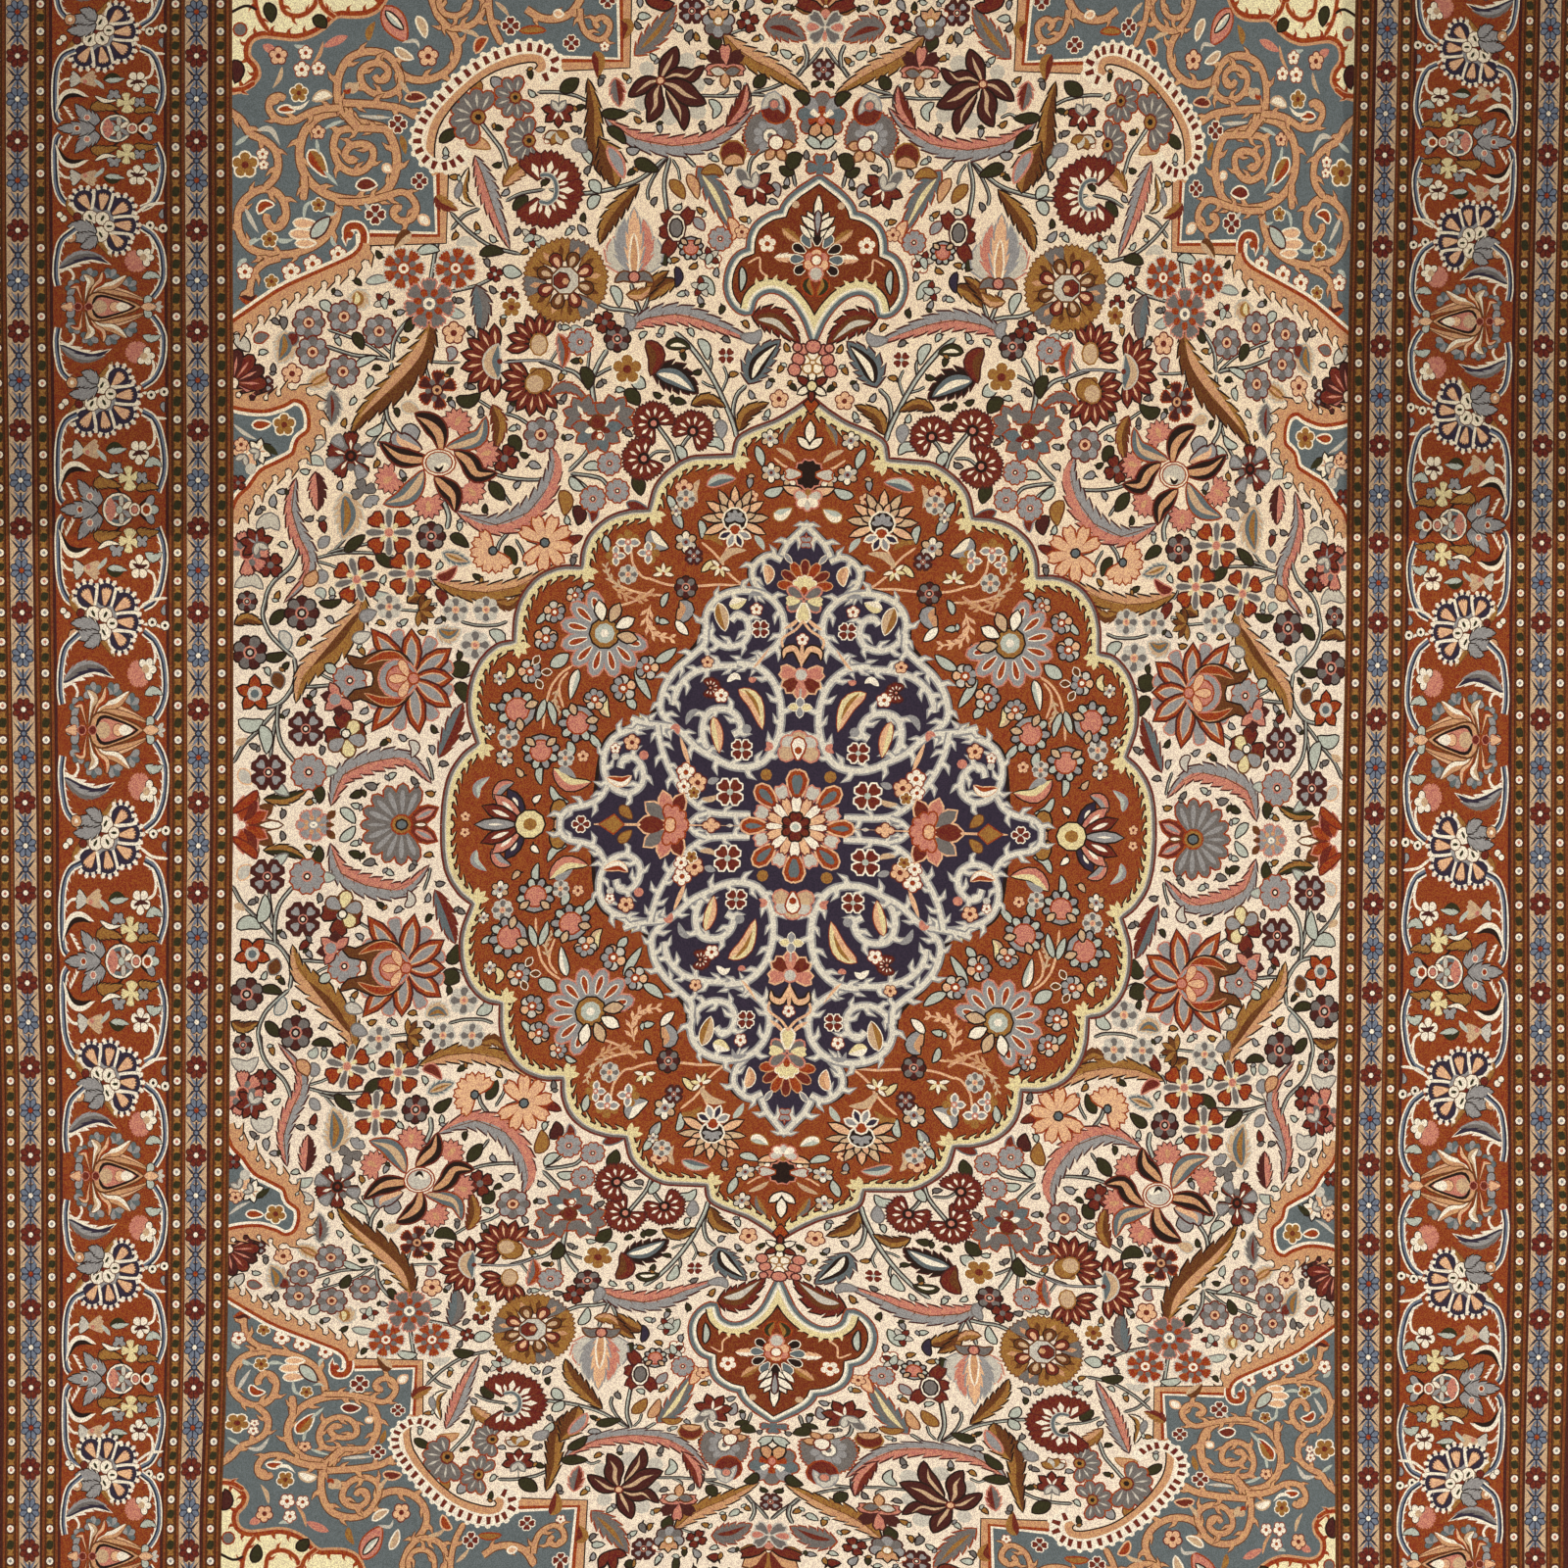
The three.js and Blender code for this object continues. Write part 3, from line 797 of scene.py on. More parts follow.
FIELD_LEAVES = {
    ("green", None, "black"): ((524, 212, 532, 205, 538, 199, 11), (449, 143, 458, 136, 468, 131, 10),
    (490, 258, 502, 254, 514, 256, 10),
        (414, 336, 418, 330, 422, 322, 8), (361, 338, 366, 345, 370, 354, 10),
        (466, 404, 478, 408, 490, 400, 12), (520, 444, 526, 450, 530, 458, 12),
        (500, 490, 508, 500, 514, 508, 12), (460, 545, 468, 548, 478, 556, 10),
        (352, 560, 362, 552, 372, 544, 10), (516, 556, 522, 564, 526, 574, 10),
        (384, 564, 394, 570, 402, 576, 11), (326, 612, 338, 614, 348, 610, 7),
        (276, 634, 284, 626, 290, 620, 10), (270, 668, 282, 668, 292, 664, 9),
        (320, 798, 326, 806, 326, 816, 10), (462, 676, 470, 680, 478, 676, 18),
        (464, 698, 472, 702, 474, 714, 13), (572, 92, 582, 86, 590, 80, 13),
        (614, 115, 626, 116, 640, 116, 10), (648, 164, 658, 168, 672, 174, 12),
        (620, 130, 630, 136, 638, 146, 10), (770, 88, 776, 82, 780, 76, 11),
        (810, 176, 802, 174, 796, 170, 9),
        (806, 172, 810, 162, 818, 158, 14), (758, 143, 766, 138, 774, 138, 9),
        (725, 36, 730, 42, 732, 50, 12),
        (677, 252, 676, 262, 680, 270, 9), (680, 352, 692, 350, 704, 354, 11),
        (594, 374, 600, 384, 600, 396, 12), (638, 398, 646, 404, 652, 412, 13),
        (648, 484, 652, 494, 654, 504, 12)),
    ("tan", None, "ochre"): ((476, 146, 488, 144, 500, 150, 11),),
    ("ochre", None, "brown"): ((484, 92, 486, 86, 482, 78, 12), (684, 184, 692, 192, 698, 202, 11),
        (716, 176, 728, 172, 738, 178, 9), (572, 500, 578, 510, 576, 524, 13)),
    ("silver", None, "black"): ((502, 78, 508, 84, 514, 88, 10), (640, 152, 646, 154, 652, 152, 7),
        (416, 446, 420, 440, 428, 438, 20)),
    ("pale_blue", None, "black"): ((426, 256, 438, 252, 448, 254, 9), (514, 272, 522, 276, 532, 278, 12),
        (327, 306, 333, 310, 338, 316, 9), (244, 732, 256, 738, 268, 732, 13),
        (266, 738, 272, 750, 272, 766, 12), (348, 822, 356, 828, 362, 836, 9),
        (348, 858, 356, 852, 362, 844, 9), (332, 676, 338, 680, 344, 684, 9),
        (500, 642, 510, 648, 508, 656, 11), (602, 184, 608, 190, 612, 196, 10),
        (602, 212, 606, 204, 612, 200, 10), (594, 152, 600, 158, 602, 166, 8),
        (768, 120, 778, 126, 786, 130, 11), (724, 102, 732, 110, 728, 120, 8),
        (722, 452, 732, 450, 738, 458, 9), (645, 384, 652, 390, 658, 394, 12),
        (713, 346, 720, 354, 722, 366, 9), (691, 454, 696, 462, 698, 470, 9),
        (624, 292, 630, 300, 632, 312, 9), (582, 486, 588, 494, 596, 498, 9),
        (596, 476, 606, 474, 612, 478, 8), (362, 372, 372, 366, 384, 362, 7),
        (374, 440, 384, 438, 390, 430, 8), (386, 452, 394, 446, 398, 440, 8)),
    ("pale_blue", None, "slate"): ((374, 286, 386, 283, 396, 284, 8), (456, 312, 465, 318, 474, 320, 9),
        (314, 470, 322, 467, 330, 472, 9), (322, 602, 328, 602, 330, 608, 8),
        (278, 796, 286, 802, 294, 808, 9), (328, 786, 336, 784, 344, 784, 9),
        (380, 602, 388, 606, 396, 604, 8), (584, 332, 590, 338, 596, 346, 9),
        (546, 240, 552, 246, 558, 250, 9)),
    ("silver", None, "slate"): ((466, 200, 468, 192, 470, 184, 6), (326, 580, 330, 586, 326, 592, 9),
        (326, 556, 331, 550, 336, 546, 9), (372, 632, 374, 626, 384, 622, 12),
        (584, 144, 592, 148, 598, 154, 12), (734, 428, 736, 436, 736, 446, 11),
        (638, 320, 644, 330, 636, 338, 9), (756, 342, 770, 344, 776, 336, 10)),
    ("mist", None, "slate"): ((310, 456, 322, 452, 332, 448, 9), (240, 596, 256, 588, 268, 598, 12),
        (262, 536, 276, 528, 284, 538, 14), (360, 650, 368, 648, 378, 644, 11),
        (388, 620, 398, 614, 406, 620, 13)),
    ("tan", None, "brown"): ((310, 594, 318, 588, 322, 580, 12), (702, 178, 708, 188, 712, 202, 10)),
    ("mist", None, "steel"): ((286, 642, 292, 650, 294, 660, 11),),
    ("brown", None, "slate"): ((280, 684, 284, 692, 286, 700, 13),),
    ("silver", None, "plum"): ((790, 186, 792, 192, 794, 200, 9),),
    ("silver", None, "dark_red"): ((708, 222, 714, 228, 718, 234, 9), (456, 354, 462, 358, 458, 366, 9)),
    ("peach", None, "rust"): ((744, 222, 750, 232, 748, 244, 9),),
    ("navy", None, "black"): ((690, 272, 693, 282, 690, 292, 7),),
    ("pale_blue", None, "green"): ((714, 282, 722, 290, 728, 300, 11),),
    ("cream", None, None): ((684, 352, 692, 351, 700, 353, 4),),
    ("plum", None, "black"): ((586, 516, 592, 524, 590, 534, 12),),
    ("dark_red", None, "plum"): ((574, 552, 584, 550, 594, 546, 8), (446, 600, 452, 608, 454, 616, 9)),
    ("dark_red", None, "silver"): ((600, 516, 606, 522, 604, 532, 9),),
    ("dark_red", None, "steel"): ((640, 512, 650, 516, 660, 518, 9),),
    ("sand", None, "mist"): ((410, 412, 418, 414, 428, 418, 11),),
    ("mist", None, None): ((465, 248, 476, 244, 488, 250, 10),),
    ("mist", None, "peach"): ((246, 782, 250, 790, 256, 796, 12),),
    ("sand", None, None): ((240, 756, 246, 754, 252, 750, 8),),
    ("mist", None, "black"): ((238, 340, 248, 348, 254, 356, 12),),
    ("slate", None, "rust"): ((260, 346, 266, 342, 274, 340, 10),),
    ("dark_red", None, "slate"): ((294, 340, 300, 343, 298, 350, 9),),
    ("mist", None, "plum"): ((418, 754, 424, 760, 420, 770, 8),),
    ("dark_red", None, "salmon"): ((446, 586, 456, 586, 466, 576, 9),),
    ("slate", None, "mist"): ((752, 172, 758, 180, 762, 190, 10),),
}

FIELD_BLOSSOMS = {
    "grey_wheel": ((315, 327, 16), (351, 321, 16), (387, 336, 16), (319, 357, 16), (350, 377, 16),
        (552, 442, 17)),
    "plum_wheel": ((308, 623, 17), (255, 663, 17, 20), (252, 611, 10), (440, 545, 14),
        (630, 345, 13)),
    "star": ((260, 705, 19),),
    "dark_wheel": ((312, 741, 18), (274, 785, 18), (270, 390, 9), (706, 11, 13), (840, 70, 10)),
    "silver_wheel": ((315, 785, 18), (357, 692, 17), (735, 243, 12), (605, 508, 13), (622, 472, 12),
    (630, 500, 12), (592, 348, 13)),
    "four": ((276, 574, 13), (515, 466, 14, 20), (617, 328, 11, 20)),
    "small_peach": ((298, 379, 10), (757, 236, 7), (795, 406, 9), (463, 338, 11),
        (548, 345, 8)),
    "four_up": ((352, 745, 21, 10), (763, 22, 11, 20), (520, 300, 9), (505, 278, 8, 20)),
    "small_cream": ((727, 265, 9), (722, 14, 7), (560, 140, 6)),
    "faint": ((465, 620, 12), (496, 620, 12), (485, 656, 14), (397, 617, 12)),
    "red_wheel": ((667, 431, 22, 135), (707, 439, 21, 60), (657, 467, 22, 205)),
    "four_ringed": ((741, 362, 9, 45),),
    "ochre_small": ((545, 385, 12), (640, 376, 15), (522, 312, 10)),
}


def field():
    for wide, rows in FIELD_VINES.items():
        for flat in rows:
            points = spots(flat)
            vine(points, 0.84 * wide + 1, "black")
            vine(points, max(0.84 * wide - 1.6, 1.2), "slate")
            vine([(x - 0.5, y - 0.5) for x, y in points], max(0.84 * wide - 3, 0.7), "pale_blue")
    for (left, right, line), rows in FIELD_SAZ.items():
        for *flat, wide, teeth in rows:
            leaf(spots(flat), wide, left, right if right != left else None, line, teeth, vein="brown"
                if teeth > 5 else None)
    for yarns, rows in FIELD_FLAMES.items():
        for *flat, wide in rows:
            flame_leaf(spots(flat), wide, *yarns)
    sprinkled_leaves(FIELD_LEAVES, 1.6)
    sprinkled_blossoms(FIELD_BLOSSOMS)
    half_wheel(488, 118, 29, 158, "slate")
    half_wheel(540, 142, 24, 185, "slate")
    half_wheel(526, 98, 22, 200, "slate", 240)
    for x, y, turn in ((412, 272, 0), (465, 272, 30)):
        bloom(x, y, 21, turn, 7, "rust", "slate", "mist", "cream", 308)
    bloom(438, 308, 25, 90, 7, "slate", "rust", "salmon", "cream", 308)
    daisy(507, 366, 37, 180, 172, 8)
    leaf(((508, 384), (502, 367), (508, 350)), 17, "sand", "steel", "mist")
    disc(510, 367, 3, "dark_red", None, 7)
    daisy(549, 350, 32, 124, 130, 6)
    disc(550, 350, 8, "sand", "ochre", 9, tall=1.3)
    daisy(546, 388, 35, 225, 168, 8)
    disc(552, 386, 11, "ochre", "brown")
    disc(546, 390, 9, "sand", "ochre", 9)
    vine(((513, 368), (540, 366), (560, 368), (576, 377)), 3.5, "black")
    vine(((513, 368), (540, 366), (560, 368), (576, 377)), 1.8, "silver")
    leaf(((561, 402), (572, 394), (586, 396), (600, 409)), 9, "slate", None, "rust", teeth=7)
    whirling_flower()
    bloom(358, 463, 24, 90, 5, "dark_red", "slate", "black", "black", 288)
    whorl(358, 463, 6, 17, 3.4, 5, 90, ("cream",), None, "kite")
    for turn in (20, 130, 200, 300):
        petal(358, 463, 12, 25, 11, turn, "silver", "slate", "block")
    cross_flower(397, 541, 25)
    cross_flower(364, 589, 24, 15)
    cross_flower(419, 583, 24)
    whorl(371, 499, 0, 13, 10, 3, 110, ("slate",), "black", "heart", 180, edge=1)
    whorl(376, 505, 0, 11, 9, 2, 300, ("silver",), "black", "heart", 70, edge=1)
    bloom(446, 396, 19, 150, 5, "plum", "slate", "rust", "tan", 260)
    star_flower()
    whorl(670, 8, 0, 18, 10, 3, 70, ("dark_red",), "black", "point", 110)
    bloom(786, 138, 27, 100, 7, "slate", "silver", "rust", "cream", 220)
    whorl(792, 148, 4, 17, 9, 3, 300, ("tan",), "brown", "point", 130)
    disc(792, 145, 7, "cream", "dark_red", 9)
    disc(792, 111, 14, "dark_red", "rust", 12)
    leaf(((778, 110), (790, 98), (800, 114)), 9, "mist", None, "silver")
    disc(790, 106, 4.5, "salmon", "slate", 7)
    swallow_tail(570, 112, 17, 270)
    whorl(568, 134, 0, 13, 8, 4, 270, ("mist", "ochre"), "brown", "point", 130)
    whorl(556, 192, 12, 39, 21, 7, 357, ("dark_red",), "plum", "fringed", 238)
    whorl(556, 192, 13, 30, 7, 7, 357, ("cream",), None, "kite", 238)
    whorl(556, 192, 13, 25, 4, 6, 357, ("cream",), None, "kite", 200)
    arc = ((551, 178), (558, 177), (565, 181), (568, 191), (566, 201), (559, 206), (550, 204))
    vine(arc, 5.5, "mist")
    vine(arc, 3.4, "steel")
    whorl(577, 285, 20, 43, 19, 12, 8, ("ochre", "ochre", "slate", "ochre"), "brown", "fringed", edge=1.5)
    whorl(577, 285, 22, 37, 6, 12, 8, ("tan", "brown"), None, "kite")
    whorl(577, 285, 13, 30, 13, 8, 25, ("dark_red", "brown"), "black", edge=1.2)
    whorl(577, 285, 15, 26, 6, 8, 25, ("peach", "sand"))
    disc(577, 285, 14, "mist", "brown", 8, turn=22)
    disc(573, 285, 8.5, "dark_red", "black", 7, edge=1)
    disc(577, 286, 3.6, "tan", None, 6)
    whorl(503, 560, 2, 23, 9, 7, 218, ("peach",), "rust", "heart", 200)
    disc(503, 560, 3.6, "steel", "black", 7)
    whorl(556, 552, 3, 29, 11, 8, 8, ("peach",), "rust", "heart", 285)
    disc(556, 552, 4, "steel", "black", 7)
    whorl(428, 620, 1, 17, 6, 6, 350, ("ochre", "brown"), "black", "point", 170, edge=1.2)
    leaf(((611, 140), (622, 160), (628, 190)), 25, "ochre", "brown", "black", 5, 0.6)
    leaf(((621, 150), (630, 165), (636, 180)), 10, "silver", None, "salmon", edge=2.6)
    for across, down, turn in ((724, 262, 70), (716, 292, 200), (392, 306, 100), (541, 241, 30)):
        whorl(across, down, 0, 11, 6, 4, turn, ("dark_red", "mist"), "black", "point", 200, edge=1.2)
        petal(across, down, -7, 4, 7, turn, "pale_blue", "black", edge=1.2)
    palm_tree(647, 282, 70)
    whorl(740, 66, 0, 21, 10, 5, 90, ("salmon", "plum"), "plum", "heart", 220)
    whorl(740, 74, 0, 15, 9, 3, 270, ("mist", "tan", "slate"), "brown", "point", 200)
    whorl(733, 22, 2, 16, 11, 5, 270, ("silver", "slate"), "plum", "round", 200)
    whorl(733, 20, 0, 14, 8, 3, 90, ("tan",), "black", "point", 90)
    disc(733, 21, 4, "cream", "ochre", 7)
    disc(748, 156, 12.5, "dark_red", "ochre")
    leaf(((738, 166), (750, 162), (758, 166)), 10, "tan", None, "brown")
    swallow_tail(770, 190, 21, 300)
    for turn, reach in ((125, 24), (60, 26), (240, 26), (300, 24), (180, 18)):
        petal(692, 236, 8, reach, 12, turn, "dark_red", "plum", "hook")
    disc(690, 232, 9, "cream", "plum", tall=1.5)
    disc(690, 232, 6, "slate", "black", 9, tall=1.5)
    drop_bud(705, 252, 11, 270)
    for x, y in ((596, 424), (626, 424)):
        whorl(x, y, 4, 22, 12, 5, 90 + (611 - x) * 2, ("slate",), "rust", "point", 170)
        petal(x, y, 0, 13, 5, 90 + (611 - x) * 2, "cream", None, "kite")
    whorl(610, 436, 5, 26, 13, 6, 270, ("slate", "steel"), "rust", "point", 190)
    whorl(610, 436, 2, 14, 7, 6, 270, ("dark_red", "cream"), None, "point", 250)
    disc(610, 430, 7, "dark_red", "brown", 9)
    disc(612, 444, 3, "cream", "rust", 6)
    leaf(((660, 348), (670, 362), (664, 382)), 16, "dark_red", "brown", "plum")
    great_lotus(420, 690)
    great_half_wheel(410, 839, 42, 180)
    whorl(346, 710, 0, 18, 10, 5, 220, ("salmon", "plum"), "plum", "point", 200)
    disc(342, 711, 6, "silver", "salmon", 8)
    whorl(353, 750, 3, 20, 13, 4, 315, ("silver", "straw"), "brown", "round", 200)
    disc(353, 746, 4, "cream", "black", 7)
    bloom(320, 839, 17, 180, 7, "silver", "tan", "salmon", "cream", 308)
    whorl(332, 834, 2, 15, 9, 2, 0, ("brown", "brown"), None, "point", 90)
    # the lotus at the side of the field, on the cross line
    whorl(246, 839, 14, 38, 13, 5, 0, ("sand", "brown", "mist", "brown", "sand"), "brown", "point", 130)
    whorl(246, 839, 6, 30, 12, 7, 0, ("rust", "dark_red"), "salmon", "point", 170)
    leaf(((236, 826), (256, 812), (262, 804)), 8, "rust", None, "dark_red")
    petal(264, 839, 0, 26, 10, 0, "cream", "brown", "point")
    # the half flower at the side, under the corner piece
    whorl(238, 388, 6, 34, 14, 6, 40, ("plum", "dark_red"), "black", "round", 140)
    whorl(238, 388, 6, 27, 3, 6, 40, ("salmon",), None, "kite", 140)
    bloom(252, 562, 22, 30, 6, "salmon", "slate", "plum", "dark_red", 240)
    swallow_tail(262, 552, 17, 120, "dark_red", "silver")
    # the blue tongue that comes in from the side border
    tongue = smooth(((226, 405), (246, 412), (270, 414), (288, 409), (300, 403), (312, 408), (318, 422),
        (317, 438), (306, 448),
                     (301, 462), (286, 471), (268, 480), (256, 496), (244, 508), (236, 530)))
    lay(tongue + [(226, 530)], "steel")
    band(tongue[::-1], 1)
    blossom("ochre_small", 290, 431, 11)
    leaf(((258, 431), (266, 431), (276, 430)), 8, "rust", None, "cream")
    leaf(((238, 430), (250, 440), (262, 446)), 4, "mist", None, None)
    swallow_tail(250, 462, 15, 60, "peach")
    swallow_tail(264, 458, 13, 30, "cream", "tan")
    blossom("small_peach", 246, 451, 7)
    leaf(((268, 452), (276, 456), (284, 462)), 8, "green", None, None)
    disc(256, 476, 6, "mist", None, 8)
    blossom("four", 243, 490, 8)


def crown_flowers():
    """Flowers on the middle line above the pendant, and beside it towards the end of the field."""
    for kind, *spot in (("red_wheel", 724, -58, 26, 200), ("grey_wheel", 664, -92, 20, 0),
            ("plum_wheel", 752, -116, 19, 0),
                        ("red_wheel", 690, -128, 16, 40), ("dark_wheel", 646, -50, 13, 0),
                        ("cream_ringed", 700, -92, 11, 0),
                        ("small_peach", 688, -30, 12, 0), ("silver_wheel", 760, -66, 13, 0)):
        blossom(kind, *spot)
    toothed = (((772, -20), (752, -30), (736, -24)), ((640, -76), (628, -100), (640, -124)),
        ((710, -140), (726, -120), (722, -98)))
    for midrib in toothed:
        leaf(midrib, 14, "ochre", "brown", teeth=5)
    whorl(801, -96, 8, 46, 20, 7, 90, ("salmon", "dark_red"), "black", "heart", 250)
    whorl(801, -96, 6, 26, 12, 7, 90, ("cream", "peach"), "dark_red", "point", 240)
    disc(801, -96, 8, "steel", "black", 9)
    whorl(801, -34, 4, 24, 14, 6, 90, ("slate", "silver"), "plum")
    disc(801, -34, 7, "peach", "dark_red", 8)
    ax = middle(10)
    whorl(ax, 6, 3, 30, 13, 7, 90, ("ochre", "dark_red", "tan"), "brown", "point", 190)
    whorl(ax, 10, 4, 30, 12, 2, 90, ("dark_red",), "black", "hook", 150)
    disc(ax, 13, 5, "salmon", "brown", 8)
    ax = middle(26)
    for turn in (45, 135, 225, 315):
        petal(ax, 27, 2, 20, 10, turn, "slate", "mist", "heart")
    for turn in (0, 180):
        petal(ax, 27, 6, 19, 9, turn, "salmon", "mist")
    petal(ax, 30, 0, 12, 6, 270, "salmon")
    blossom("dark_wheel", middle(70), 70, 11)
    ax = middle(118)
    whorl(ax, 118, 6, 25, 14, 7, 90, ("slate", "silver", "steel"), "rust", "round", 250)
    whorl(ax, 121, 3, 14, 7, 5, 90, ("rust", "cream"), None, "block", 200)
    for turn in (230, 310):
        petal(ax, 124, 0, 19, 11, turn, "tan", "black", "point")
    disc(ax, 122, 4, "salmon", "rust", 7)
    vine(((ax, 136), (ax, 150)), 5, "black")
    vine(((ax, 136), (ax, 150)), 2.5, "steel")
    for turn in (35, 145):
        petal(ax, 150, 2, 17, 9, turn, "pale_blue", "black", "hook")
    for side in (-1, 1):
        leaf(((ax + side * 16, 106), (ax + side * 19, 98), (ax + side * 28, 95)), 10, "green")
    ax = middle(170)
    whorl(ax, 170, 1, 14, 11, 3, 90, ("steel",), "rust", "heart", 180)
    lay([(ax - 3, 168), (ax + 3, 168), (ax + 5, 186), (ax - 5, 186)], "steel")


# The corner pieces. Blue-grey, with tan scrolls round a cream and rust heart, and a stepped and
# arched edge of tan, rust and cream with black hooks.
def beside(path, by):
    return sides_of(path, [by] * len(path))[0]


def ribbon(path, wide, yarn):
    left, right = sides_of(path, [wide / 2] * len(path))
    lay(left + right[::-1], yarn)


def hooks(path, pitch, long, thick, yarn, lean=0.6, fill=None):
    """A row of flame-like hooks along the left side of a path, as on the edge of a serrated band."""
    run = 0.5 * pitch
    shape = ((-thick, 0.0), (-0.5 * thick, 0.55 * long), (long * lean, long), (0.55 * thick, 0.5 * long),
        (thick, 0.0))
    for (ax, ay), (bx, by) in zip(path, path[1:]):
        seg = math.hypot(bx - ax, by - ay) or 1.0
        tx, ty = (bx - ax) / seg, (by - ay) / seg
        while run < seg:
            hook = [(ax + tx * (run + a) + ty * b, ay + ty * (run + a) - tx * b) for a, b in shape]
            patch(hook, fill or yarn, yarn if fill else None, 1.6)
            run += pitch
        run -= seg


# The corner piece's edge, from the side border to the end border.
SLOPE = ((222, 340), (262, 312), (288, 295), (314, 283), (342, 271), (362, 261), (371, 250), (371, 236))
STEP = ((377, 241), (450, 241), (450, 170))
ARCH = ((478, 151), (466, 163), (450, 168), (437, 163), (428, 152), (426, 139), (430, 125), (440, 110),
    (454, 94),
        (472, 77), (491, 63), (512, 53), (535, 47), (555, 50), (566, 60), (564, 73), (550, 80))
UPPER_STEP = ((571, 64), (637, 64), (637, -14))
UPPER_SLOPE = ((640, -14), (646, -30), (656, -55), (668, -82), (684, -112), (712, -150), (722, -164))


def band(points, steps=4, hooked=True, square=False):
    path = list(points) if square else smooth(points, steps)
    ribbon(path, 17, "black")
    if hooked:
        hooks(beside(path, -6)[::-1], 15, 11.5, 5.8, "black", 0.8, "tan")
    ribbon(path, 14, "tan")
    ribbon(beside(path, 3.4), 4.4, "rust")
    ribbon(beside(path, 6.8), 3.2, "cream")


def corner_edge_left():
    return [*smooth(SLOPE), (374, 241), (450, 241), (450, 170), *smooth(ARCH[2:15], 3), (571, 64),
        (637, 64),
            (637, -14), *smooth(UPPER_SLOPE, 3)]


def corner_ground():
    edge = corner_edge_left()
    lay(edge + [(700, -156), (225, -156), (225, 334)], "steel")


def corner_frame():
    band(SLOPE)
    scroll(((371, 246), (371, 236), (366, 229), (357, 229), (354, 235), (360, 239)), 7, "rust", "cream",
        2.0, 60)
    band(STEP, square=True, hooked=False)
    band(UPPER_STEP, square=True, hooked=False)
    band(UPPER_SLOPE)
    arch = smooth(ARCH)
    inner = smooth([(446, 176), (440, 160), (441, 140), (447, 122), (462, 101), (482, 82), (504, 68),
        (530, 60), (547, 59),
                    (552, 66), (548, 72)])
    ribbon(inner, 9, "black")
    ribbon(beside(inner, 1.2), 8, "tan")
    ribbon(arch, 13, "cream")
    total = 0.0
    for (ax, ay), (bx, by) in zip(arch, arch[1:]):
        seg = math.hypot(bx - ax, by - ay)
        total += seg
        if total >= 8.6:
            total = 0.0
            tx, ty = (bx - ax) / seg, (by - ay) / seg
            nx, ny = ty, -tx
            disc(bx + nx * 6, by + ny * 6, 3.6, "cream", None, 7)
            lay([(bx + nx * 5 - tx * 1.8, by + ny * 5 - ty * 1.8),
                (bx + nx * 4.2 + tx * 2.6, by + ny * 4.2 + ty * 2.6),
                 (bx - nx * 4.2 + tx * 2.9, by - ny * 4.2 + ty * 2.9),
                 (bx - nx * 4.2 - tx * 2.9, by - ny * 4.2 - ty * 2.9)],
                "dark_red")
    leaf(((444, 198), (452, 206), (468, 213)), 15, "ochre", "dark_red", None, teeth=4)
    leaf(((420, 236), (412, 240), (402, 252)), 14, "sand", "brown", None)
    leaf(((606, 52), (611, 62), (610, 80)), 14, "ochre", "dark_red", None)
    leaf(((634, 20), (641, 27), (636, 40)), 13, "ochre", "dark_red", None)


